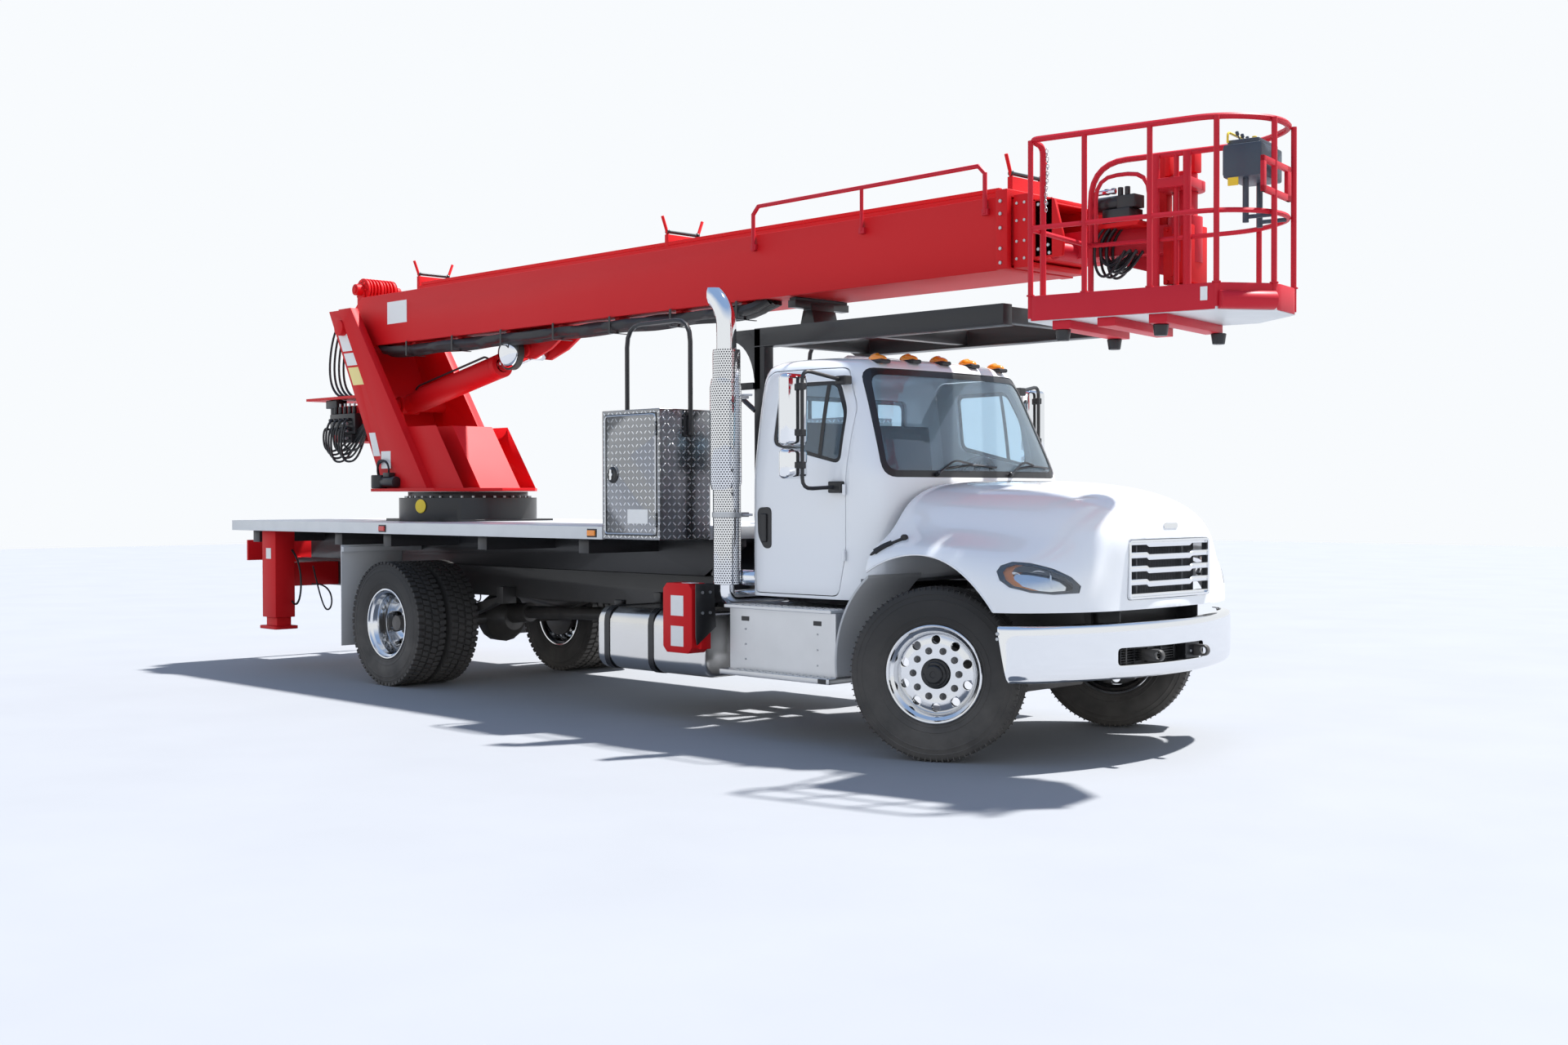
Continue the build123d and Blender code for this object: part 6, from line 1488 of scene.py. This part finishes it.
fit(makeConsole(), "control_console", "consoleGrey", "control_console")
consoleGuard = joinPieces([
    pipe("guard", basketRoute([(1.125, 0.225, 3.54), (1.125, 0.225, 3.60), (1.125, 0.550, 3.60),
                               (1.125, 0.550, 3.54)]), 0.007, 0.03, 8),
    basketSlab("tag", (1.130, 0.212, 3.300), (1.190, 0.218, 3.345), 0.001),
    basketBar("switch", (1.250, 0.30, 3.55), (1.250, 0.30, 3.575), 0.014, 16, 0.004)], "console_yellow")
fit(consoleGuard, "control_console", "yellowPlastic", "control_console")


# Rotator mast, levelling gear and the end of the boom

def makeMast():
    pieces = [
        slab("mastBox", at(0.925, 0.075, 2.885), at(1.115, 0.275, 3.240), 0.008),
        slab("slotFrame", at(0.985, 0.066, 2.930), at(1.015, 0.078, 3.190), 0.004),
        prism("tallPlate", aheadOf([(0.800, 3.12), (0.905, 3.12), (0.905, 3.44), (0.890, 3.70), (0.820, 3.70),
                                    (0.790, 3.60)]), 0.150, 0.215, "y", 0.006),
        drum("mastCap", at(mastX, mastY, 3.515), at(mastX, mastY, 3.575), 0.062, 32, 0.008),
        slab("levelHead", at(0.44, -0.10, 3.245), at(0.86, 0.10, 3.275), 0.005)]
    pieces += [slab("topLug", at(0.905, 0.120, 3.555), at(0.945, 0.230, 3.700), 0.006),
               slab("topLug", at(1.060, 0.120, 3.560), at(1.120, 0.200, 3.690), 0.006)]
    for x, z in ((0.955, 3.22), (1.085, 3.22), (0.955, 2.90), (1.085, 2.90)):
        pieces.append(drum("bolt", at(x, 0.076, z), at(x, 0.066, z), 0.011, 6))
    return smoothFaces(joinPieces(pieces, "rotator_housing"))


fit(makeMast(), "platform_carrier", "redPaint")


def makeLevelMotor():
    pieces = [
        drum("motor", at(0.50, -0.03, 3.400), at(0.72, -0.03, 3.400), 0.052, 28, 0.006),
        drum("motorEnd", at(0.47, -0.03, 3.400), at(0.50, -0.03, 3.400), 0.040, 24, 0.004),
        slab("valve", at(0.60, -0.10, 3.275), at(0.80, 0.05, 3.360), 0.006),
        slab("valveTop", at(0.70, -0.09, 3.360), at(0.83, 0.02, 3.440), 0.005)]
    for x in (0.62, 0.67, 0.72, 0.77):
        pieces.append(drum("coil", at(x, -0.075, 3.440 if x > 0.69 else 3.455), at(x, -0.075, 3.490), 0.017,
                           14, 0.003))
    return smoothFaces(joinPieces(pieces, "level_motor"))


fit(makeLevelMotor(), "platform_carrier", "satinBlack")
levelRod = drum("level_rod", at(0.53, -0.085, 3.470), at(0.69, -0.085, 3.470), 0.016, 20, 0.002)
fit(levelRod, "platform_carrier", "chromePlate")

cableDrop = []
for index in range(11):
    y, x = -0.075 + 0.014 * index, 0.60 + 0.017 * (index * 7 % 5)
    dip = 2.93 + 0.022 * (index * 3 % 5)
    cableDrop.append(hose("cable", [
        at(x + 0.05, y, 3.29), at(x - 0.04, y - 0.02, 3.22), at(x - 0.05, y - 0.05, 3.10),
        at(x - 0.03, y - 0.04, dip + 0.04), at(x + 0.02, y - 0.02, dip), at(x + 0.09, y, dip + 0.07),
        at(x + 0.15, y, 3.10)], 0.009))
fit(joinPieces(cableDrop, "carrier_cables"), "platform_carrier", "hoseRubber")


def boltRow(name, spots, radius):
    # Hexagon heads that stand out to the right
    return joinPieces([drum(name, spot, spot + Vector((0, -1, 0)) * 0.011, radius, 6) for spot in spots],
                      name)


collarBolts = boltRow("collar_bolts", [at(0.012, -0.355, z) for z in (3.07, 3.16, 3.29, 3.38, 3.46)], 0.012)
fit(collarBolts, "boom_base", "galvanised")
midSpots = [at(x, -0.306, z) for x in (0.105, 0.165) for z in (3.09, 3.20, 3.33, 3.44)]
midBolts = boltRow("mid_collar_bolts", midSpots, 0.010)
fit(midBolts, "boom_mid", "galvanised")
tipSpots = [at(x, -0.268, z) for x, z in ((0.245, 3.42), (0.31, 3.42), (0.245, 3.14), (0.32, 3.16),
                                          (0.33, 3.11), (0.27, 3.30))]
tipBolts = boltRow("tip_bolts", tipSpots, 0.011)
fit(tipBolts, "boom_tip", "galvanised")
tipCover = slab("tip_cover", at(0.215, -0.268, 3.095), at(0.345, -0.262, 3.455), 0.002)
fit(tipCover, "boom_tip", "redPaint")
print("basket and carrier ready")


# Boom: hoses in a loose bundle below, rollers on the guides, blank plates

def makeBundle():
    strands = []
    places = [(-0.280, 2.972, 0.043), (-0.228, 2.952, 0.046), (-0.178, 2.970, 0.042), (-0.250, 2.985, 0.034)]
    for index, (y, z, radius) in enumerate(places):
        route = [at(-7.50, y + 0.05, 3.10), at(-7.42, y + 0.02, 2.99)]
        steps = 22
        for step in range(steps + 1):
            x = -7.30 + (7.30 - 2.32) * step / steps
            sag = 0.012 * sin(step * 1.7 + index * 1.3) - 0.012 * abs(sin(step * 0.9 + index))
            route.append(at(x, y + 0.012 * sin(step * 1.1 + index * 2), z + sag))
        route.append(at(-2.20, y + 0.03, 3.03))
        strands.append(hose("strand", route, radius, 3))
    return joinPieces(strands, "boom_bundle")


fit(makeBundle(), "boom_hoses", "hoseRubber", "boom_hoses")
straps = []
for x in (-6.90, -6.16, -5.42, -4.68, -3.94, -3.20, -2.46):
    straps.append(slab("strap", at(x - 0.012, -0.335, 2.905), at(x + 0.012, -0.329, 3.036), 0.002))
    straps.append(slab("strapBase", at(x - 0.012, -0.335, 2.900), at(x + 0.012, -0.130, 2.906), 0.002))
fit(joinPieces(straps, "bundle_straps"), "boom_base", "satinBlack")

rollers = []
for x in (-6.95, -3.43, -0.06):
    rollers.append(drum("roller", at(x, -0.140, 3.672), at(x, 0.140, 3.672), 0.013, 14))
    for side in (-1, 1):
        rollers.append(
            drum("rollerEnd", at(x, side * 0.148, 3.672), at(x, side * 0.168, 3.672), 0.020, 14, 0.003))
fit(smoothFaces(joinPieces(rollers, "guide_rollers")), "boom_base", "satinBlack")

trayRails = [slab("trayRail", at(-6.90, y - 0.018, 3.560), at(-0.15, y + 0.018, 3.590), 0.005)
             for y in (-0.150, 0.150)]
trayRails.append(slab("trayRod", at(-6.90, -0.02, 3.560), at(-0.15, 0.02, 3.578), 0.005))
fit(joinPieces(trayRails, "tray_rails"), "boom_base", "redPaint")

boomPlate = slab("boom_plate", at(-7.235, -0.3235, 3.212), at(-6.905, -0.3200, 3.418), 0.001)
fit(boomPlate, "boom_base", "blankLabel")

# Polished drum beside the lug, with its dark rim
lugSpot = at(-5.46, -0.205, 2.845)
lugDrum = lathe("lug_drum", [(0.0, 0.075), (0.05, 0.072), (0.095, 0.060), (0.125, 0.036), (0.136, 0.010),
                             (0.136, -0.045), (0.10, -0.055), (0.0, -0.055)], lugSpot, (0, -1, 0), 56)
fit(lugDrum, "boom_base", "chromePlate")
lugRim = lathe(
    "lug_drum_rim", [(0.137, -0.046), (0.148, -0.046), (0.148, 0.014), (0.137, 0.014), (0.137, -0.046)],
    lugSpot, (0, -1, 0), 56)
fit(lugRim, "boom_base", "castIron")
print("boom details ready")


# Turret: narrower box in front, blank plates, the valve shelf with its hoses, motors and a finned reel

for side in (-1, 1):
    combine(shown["turret"], slab("boxTrim", at(-6.86, side * 0.215, 1.676), at(-5.80, side * 0.3895, 2.30)))
    corner = aheadOf([(-5.60, side * 0.16), (-5.60, side * 0.60), (-6.16, side * 0.60)])
    combine(shown["turret"], prism("cornerTrim", corner, 1.60, 1.70, "z"))
smoothFaces(shown["turret"], 38)


def cheekPlate(name, outline):
    return prism(name, aheadOf(outline), -0.4215, -0.4195)


whitePlates = joinPieces([
    cheekPlate("plate", [(-7.955, 3.16), (-7.775, 3.16), (-7.675, 2.99), (-7.865, 2.99)]),
    cheekPlate("plate", [(-7.850, 2.97), (-7.665, 2.97), (-7.585, 2.85), (-7.785, 2.85)]),
    cheekPlate("plate", [(-7.405, 2.20), (-7.300, 2.20), (-7.210, 1.98), (-7.325, 1.98)]),
    slab("plate", at(-7.120, -0.4675, 1.86), at(-6.960, -0.4640, 2.02))], "turret_plates")
fit(whitePlates, "turret", "blankLabel")
yellowPlate = cheekPlate(
    "turret_plate_yellow", [(-7.775, 2.83), (-7.575, 2.83), (-7.475, 2.66), (-7.680, 2.66)])
fit(yellowPlate, "turret", "paleYellow")


spoolStations = [-8.13 + 0.085 * index for index in range(5)]


def makeValves():
    pieces = [slab("manifold", at(-8.18, -0.385, 2.20), at(-7.72, -0.300, 2.40), 0.008),
              slab("tankBox", at(-8.02, -0.40, 2.12), at(-7.76, -0.30, 2.20), 0.01),
              slab("filterHead", at(-8.30, -0.36, 2.46), at(-8.10, -0.24, 2.54), 0.008),
              drum("filter", at(-8.20, -0.30, 2.28), at(-8.20, -0.30, 2.47), 0.055, 24, 0.008)]
    for x in spoolStations:
        pieces.append(drum("spool", at(x, -0.345, 2.40), at(x, -0.345, 2.47), 0.020, 14, 0.003))
        pieces.append(drum("fitting", at(x, -0.385, 2.34), at(x, -0.420, 2.34), 0.015, 6))
        pieces.append(drum("fitting", at(x, -0.385, 2.25), at(x, -0.420, 2.25), 0.015, 6))
    return smoothFaces(joinPieces(pieces, "valve_shelf_gear"))


fit(makeValves(), "turret", "satinBlack")

turretHoses = []
for index in range(9):
    x = -8.13 + 0.0425 * index * 1.1
    low = 2.02 - 0.035 * (index % 4)
    turretHoses.append(hose(
        "line", [at(x, -0.42, 2.34 if index % 2 else 2.25), at(x, -0.48, 2.30),
                 at(x - 0.05, -0.47, low + 0.06), at(x + 0.02, -0.42, low), at(x + 0.14, -0.36, low + 0.05),
                 at(-7.62 + 0.01 * index, -0.34, 2.30)], 0.011))
for y in [0.05 * index for index in range(4)]:
    turretHoses.append(hose("line", [
        at(-8.10, y - 0.30, 2.57), at(-8.30, y - 0.32, 2.62), at(-8.36, y - 0.30, 3.05),
        at(-8.30, y - 0.20, 3.40), at(-8.16, y - 0.10, 3.44)], 0.012))
fit(joinPieces(turretHoses, "turret_hoses"), "turret", "hoseRubber")
fittings = [drum("cap", at(x, -0.345, 2.47), at(x, -0.345, 2.50), 0.013, 6) for x in spoolStations]
fittings += [drum("tee", at(-7.86, -0.43, z), at(-7.78, -0.43, z), 0.012, 10) for z in (2.16, 2.23, 2.30)]
fit(joinPieces(fittings, "turret_fittings"), "turret", "galvanised")

# Slewing motor and its gear beside the foot of the near cheek
slewMotor = joinPieces([
    drum("gearcase", at(-7.10, -0.500, 1.676), at(-7.10, -0.500, 1.80), 0.075, 28, 0.01),
    drum("motor", at(-7.02, -0.505, 1.735), at(-6.80, -0.505, 1.735), 0.050, 24, 0.008),
    slab("port", at(-6.98, -0.54, 1.78), at(-6.88, -0.47, 1.82), 0.006)], "slew_motor")
fit(smoothFaces(slewMotor), "turret", "satinBlack")
motorLines = joinPieces([
    hose("line", [at(-6.93, -0.505, 1.82), at(-6.92, -0.505, 1.92), at(-7.10, -0.50, 1.96),
                  at(-7.20, -0.48, 1.84 + 0.03 * index), at(-7.14, -0.45, 1.70)], 0.010)
    for index in range(3)], "motor_lines")
fit(motorLines, "turret", "hoseRubber")


def makeReel():
    centre = at(-8.265, 0.200, 3.650)
    profile = [(0.0, -0.246), (0.055, -0.246), (0.058, -0.170)]
    for index in range(9):
        start = -0.165 + index * 0.037
        profile += [(0.115, start), (0.118, start + 0.004), (0.118, start + 0.012), (0.115, start + 0.016),
                    (0.088, start + 0.018), (0.088, start + 0.035)]
    profile += [(0.115, 0.168), (0.058, 0.172), (0.055, 0.246), (0.0, 0.246)]
    capProfile = [(0.0, 0.262), (0.030, 0.262), (0.036, 0.250), (0.036, 0.236), (0.0, 0.236)]
    pieces = [lathe("reel_drum", profile, centre, (0, 1, 0), 56),
              lathe("reelCap", capProfile, centre, (0, -1, 0), 32)]
    for index in range(8):
        turn = 2 * pi * index / 8
        start = centre + Vector((0.085 * cos(turn), -0.176, 0.085 * sin(turn)))
        pieces.append(drum("reelBolt", start, start + Vector((0, -0.014, 0)), 0.009, 6))
    return smoothFaces(joinPieces(pieces, "reel_drum"), 30)


fit(makeReel(), "hose_reel", "redPaint")

barrelSleeve = drum("lift_sleeve", at(-7.20, 0, 2.509), at(-5.930, 0, 2.757), 0.107, 48, 0.006)
combine(barrelSleeve, drum("sleeveBore", at(-7.50, 0, 2.4505), at(-5.60, 0, 2.8215), 0.092, 40))
fit(smoothFaces(barrelSleeve), "lift_cylinder", "redPaint")
barrelPipe = pipe("lift_pipe", [at(-7.15, -0.07, 2.610), at(-7.10, -0.075, 2.640), at(-6.02, -0.075, 2.850),
                                at(-5.98, -0.065, 2.830)], 0.010, 0.03, 8)
fit(barrelPipe, "lift_cylinder", "satinBlack")
print("turret ready")


# Tool boxes: framed doors with a T-latch, and the rail loops bracketed to their front panels

for word, side in bothSides:
    door = f"tool_box_door_{word}"
    outline = [at(x, side * 1.2245, z) for x, z in
               ((-2.893, 1.330), (-2.337, 1.330), (-2.337, 2.170), (-2.893, 2.170))]
    fit(pipe(f"door_rim_{word}", outline, 0.006, 0.03, 6, True), door, "satinAluminium")
    dish = lathe(f"latch_dish_{word}", [(0.0, 0.016), (0.044, 0.016), (0.060, 0.004), (0.062, -0.006),
                                        (0.0, -0.006)], at(-2.800, side * 1.226, 1.752), (0, side, 0), 40)
    fit(dish, door, "satinBlack")
    grip = joinPieces([
        slab("gripBar", at(-2.809, side * 1.240, 1.712), at(-2.791, side * 1.256, 1.792), 0.006),
        drum("gripLock", at(-2.800, side * 1.240, 1.752), at(-2.800, side * 1.252, 1.752), 0.017, 20,
             0.003)], f"latch_grip_{word}")
    fit(grip, door, "chromePlate")
    plate = slab(f"door_plate_{word}", at(-2.640, side * 1.2238, 1.405), at(-2.420, side * 1.2252, 1.505))
    fit(plate, door, "blankLabel")

loops = []
for y in (-0.955, 0.955):
    loops.append(pipe("railLoop", [at(-2.965, y, 1.385), at(-2.965, y, 2.845), at(-2.270, y, 2.845),
                                   at(-2.270, y, 2.03)], 0.017, 0.16, 12))
    loops.append(slab("loopFoot", at(-2.299, y - 0.045, 2.02), at(-2.284, y + 0.045, 2.17), 0.003))
    loops.append(slab("loopClamp", at(-2.290, y - 0.020, 2.05), at(-2.262, y + 0.020, 2.14), 0.003))
    loops.append(slab("loopBase", at(-3.00, y - 0.05, 1.3845), at(-2.945, y + 0.05, 1.394), 0.003))
fit(smoothFaces(joinPieces(loops, "rail_loops")), "handrails", "satinBlack", "handrails")


# Tanks with straps and caps, the steps' slots, bolts and treads, and plates on the front jack boxes

tankX, tankY, tankZ = -2.620, 0.760, 0.560


def bandOutline(side, reach, height, radius):
    # A band's rounded section across a tank
    middle = side * tankY
    return roundCorners([(middle - reach, tankZ - height), (middle + reach, tankZ - height),
                         (middle + reach, tankZ + height), (middle - reach, tankZ + height)], radius)


def makeTank(side):
    bpy.ops.mesh.primitive_cube_add(size=1, location=(0, 0, 0))
    tank = bpy.context.view_layer.objects.active
    tank.scale = (1.180, 0.580, 0.460)
    tank.location = at(tankX, side * tankY, tankZ)
    settle(tank)
    pick(tank)
    bevel = tank.modifiers.new("Bevel", "BEVEL")
    bevel.width, bevel.segments, bevel.limit_method = 0.115, 8, "WEIGHT"
    weights = tank.data.attributes.new("bevel_weight_edge", "FLOAT", "EDGE")
    for index, edge in enumerate(tank.data.edges):
        first, last = [tank.data.vertices[corner].co for corner in edge.vertices]
        weights.data[index].value = 1.0 if abs(first.x - last.x) > 0.5 else 0.0
    bpy.ops.object.modifier_apply(modifier=bevel.name)
    softenEdges(tank, 0.030, 5, 60)
    return smoothFaces(tank, 60)


fit(joinPieces([makeTank(-1), makeTank(1)], "tank_shells"), "fuel_tanks", "brushedTank", "fuel_tanks")
bands = []
for side in (-1, 1):
    for x in (-3.090, -2.595):
        band = prism("band", bandOutline(side, 0.295, 0.235, 0.12), axleX + x - 0.028, axleX + x + 0.028, "x")
        combine(band, crossCut(bandOutline(side, 0.289, 0.229, 0.115), x - 0.1, x + 0.1, "bandCut"))
        bands.append(band)
        bands.append(slab("bandArm", at(x - 0.04, side * 0.57, 0.780), at(x + 0.04, side * 0.44, 0.870),
                          0.004))
    bands.append(drum("tankCap", at(-3.17, side * 0.86, 0.785), at(-3.17, side * 0.86, 0.825), 0.045, 28,
                      0.006))
fit(smoothFaces(joinPieces(bands, "tank_bands")), "fuel_tanks", "satinBlack", "fuel_tanks")

stepSlots, stepBolts, stepTreads = [], [], []
for side in (-1, 1):
    for x in (-1.530, -0.860):
        stepSlots.append(
            slab("slot", at(x - 0.035, side * 1.1295, 0.765), at(x + 0.035, side * 1.133, 0.795), 0.001))
        for z in (0.71, 0.61, 0.51):
            stepBolts.append(drum("bolt", at(x, side * 1.129, z), at(x, side * 1.135, z), 0.006, 10))
    stepSlots.append(slab("slotLow", at(-0.78, side * 1.2095, 0.408), at(-0.71, side * 1.213, 0.438), 0.001))
    for z in (0.8715, 0.4395):
        outer = 1.175 if z > 0.6 else 1.205
        for row in range(4):
            y = side * (outer - 0.030 - row * 0.038)
            for cell in range(15):
                x = -1.640 + cell * 0.062
                stepTreads.append(slab("tread", at(x, y - 0.006, z), at(x + 0.042, y + 0.006, z + 0.004)))
fit(joinPieces(stepSlots, "step_slots"), "cab_steps", "satinBlack")
fit(joinPieces(stepBolts, "step_bolts"), "cab_steps", "galvanised")
fit(joinPieces(stepTreads, "step_treads"), "cab_steps", "satinAluminium")

for word, side in bothSides:
    leg = f"front_outrigger_{word}"
    windows = joinPieces([slab("pane", at(-2.175, side * 1.2245, low), at(-2.045, side * 1.2280, high), 0.001)
                          for low, high in ((0.775, 0.915), (0.565, 0.705))], f"jack_panes_{word}")
    fit(windows, leg, "blankLabel")
    outline = [(side * 1.226, 1.000), (side * 1.060, 1.000), (side * 1.040, 0.700), (side * 1.215, 0.580),
               (side * 1.226, 0.640)]
    bracket = prism(f"jack_bracket_{word}", outline, axleX - 1.9240, axleX - 1.9140, "x", 0.003)
    bolts = [drum("bolt", at(-1.914, side * y, z), at(-1.905, side * y, z), 0.011, 6)
             for y, z in ((1.17, 0.94), (1.17, 0.80), (1.10, 0.94), (1.10, 0.80))]
    fit(smoothFaces(bracket), leg, "satinBlack")
    fit(joinPieces(bolts, f"jack_bolts_{word}"), leg, "galvanised")
    tag = slab(f"jack_tag_{word}", at(-2.08, side * 1.14, 1.0005), at(-1.98, side * 1.21, 1.0030))
    fit(tag, leg, "blankLabel")


# Exhaust: shield with holes painted on as dark spots of shade, an outer guard, clamps and the cut tip

def makeStack():
    shield = lathe(
        "stack_shield", [(0.088, 1.000), (0.095, 1.003), (0.095, 2.560), (0.092, 2.585), (0.074, 2.588)],
        at(stackX, stackY, 0), steps=56)
    guard = lathe("guard", [(0.096, 1.640), (0.108, 1.690), (0.108, 2.330), (0.096, 2.390)],
                  at(stackX - 0.006, stackY - 0.004, 0), steps=56)
    return joinPieces([shield, guard], "stack_shield")


def makeStackPipe():
    x, y = stackX, stackY
    tip = pipe("stack_pipe", [at(x, y, 2.50), at(x, y, 2.860), at(x - 0.24, y, 3.060)], 0.068, 0.13, 24,
               cornerSteps=8)
    combine(tip, slab("tipCut", at(x - 0.60, y - 0.3, 2.70), at(x - 0.125, y + 0.3, 3.30)))
    combine(tip, slab("tipTop", at(x - 0.60, y - 0.3, 3.012), at(x + 0.3, y + 0.3, 3.30)))
    lead = pipe("lead", [at(x, -0.42, 0.905), at(x, y, 0.905), at(x, y, 1.010)], 0.055, 0.09, 20)
    elbow = drum("elbow", at(x + 0.02, -0.98, 1.045), at(x + 0.14, -0.86, 1.035), 0.052, 24, 0.006)
    return smoothFaces(joinPieces([tip, lead, elbow], "stack_pipe"))


fit(makeStack(), "exhaust_stack", "shieldMetal", "exhaust_stack")
fit(makeStackPipe(), "exhaust_stack", "chromePlate", "exhaust_stack")
stackClamps = []
for z in (1.470, 2.280):
    stackClamps.append(lathe(
        "clamp", [(0.096, z - 0.018), (0.101, z - 0.016), (0.101, z + 0.016), (0.096, z + 0.018)],
        at(stackX, stackY, 0), steps=40))
    stackClamps.append(slab("clampArm", at(-1.795, -1.02, z - 0.016), at(-1.745, -0.885, z + 0.016), 0.004))
    stackClamps.append(drum("clampBolt", at(-1.675, -1.02, z), at(-1.610, -0.985, z), 0.008, 8))
fit(joinPieces(stackClamps, "stack_clamps"), "exhaust_stack", "galvanised", "exhaust_stack")


# Frame over the cab: curved gussets and arms at its rear, the pad and post under the boom

frameExtra = []
gussetEdge = arcPoints(Vector((-2.200, 2.700)), Vector((-2.000, 2.640)), Vector((-1.985, 2.350)), 8)
gusset = aheadOf([(-1.930, 2.350), (-1.930, 2.775), (-2.200, 2.775), *gussetEdge])
for side in (-1, 1):
    y, lipY = side * 0.600, side * 0.545
    frameExtra.append(prism("gusset", gusset, y, side * 0.588, "y", 0.002))
    frameExtra.append(slab("rearArm", at(-2.250, y - 0.02, 2.350), at(-1.985, y, 2.400), 0.004))
    frameExtra.append(
        pipe("strut", [at(-2.240, side * 0.590, 2.37), at(-1.99, side * 0.590, 2.20)], 0.018, 0, 8))
    frameExtra.append(slab("edgeLip", at(-1.985, lipY - 0.06, 2.648), at(0.215, lipY + 0.06, 2.656), 0.002))
postFlare = aheadOf([(-2.02, 2.78), (-1.84, 2.78), (-1.885, 2.94), (-1.975, 2.94)])
frameExtra.append(prism("postFlare", postFlare, -0.125, 0.125, "y", 0.004))
fit(smoothFaces(joinPieces(frameExtra, "rest_frame_extra")), "boom_rest", "satinBlack")
restPad = slab("rest_pad", at(-1.968, -0.27, 3.0025), at(-1.902, 0.27, 3.0245), 0.004)
fit(restPad, "boom_rest", "hoseRubber")


# Bed: yellow mark and bolts on the pedestal, lines and marks at the rear jacks

def aroundSlew(degrees, radius, z):
    # A spot round the turntable's axis, counted from straight ahead to the left
    slewX = -6.4
    return at(slewX + radius * cos(radians(degrees)), radius * sin(radians(degrees)), z)


dotTurn = radians(14)
yellowDot = lathe("pedestal_dot", [(0.0, 0.004), (0.058, 0.004), (0.062, 0.0), (0.0, 0.0)],
                  aroundSlew(-76, 0.626, 1.515), (sin(dotTurn), -cos(dotTurn), 0), 32)
fit(yellowDot, "subframe", "yellowPlastic")
ringBolts = [drum("ringBolt", aroundSlew(10 * index, 0.56, 1.589), aroundSlew(10 * index, 0.56, 1.606),
                  0.013, 6) for index in range(36)]
fit(joinPieces(ringBolts, "pedestal_bolts"), "subframe", "galvanised")

jackLines = []
for side in (-1, 1):
    jackLines.append(hose("line", [
        at(-7.94, side * 0.93, 1.10), at(-7.80, side * 0.93, 1.02), at(-7.74, side * 0.92, 0.70),
        at(-7.86, side * 0.93, 0.55), at(-7.94, side * 0.93, 0.62)], 0.010))
    jackLines.append(hose("line", [
        at(-7.78, side * 0.80, 0.95), at(-7.60, side * 0.82, 0.62), at(-7.45, side * 0.84, 0.50),
        at(-7.35, side * 0.82, 0.66), at(-7.55, side * 0.80, 0.80), at(-7.80, side * 0.80, 0.78)], 0.008))
fit(joinPieces(jackLines, "rear_jack_lines"), "outrigger_frames", "hoseRubber")
jackMarks = joinPieces([slab("mark", at(-8.110, side * 1.1000, 1.02), at(-8.020, side * 1.1035, 1.12))
                        for side in (-1, 1)], "rear_jack_marks")
fit(jackMarks, "outrigger_frames", "blankLabel")
print("bed and side gear ready")
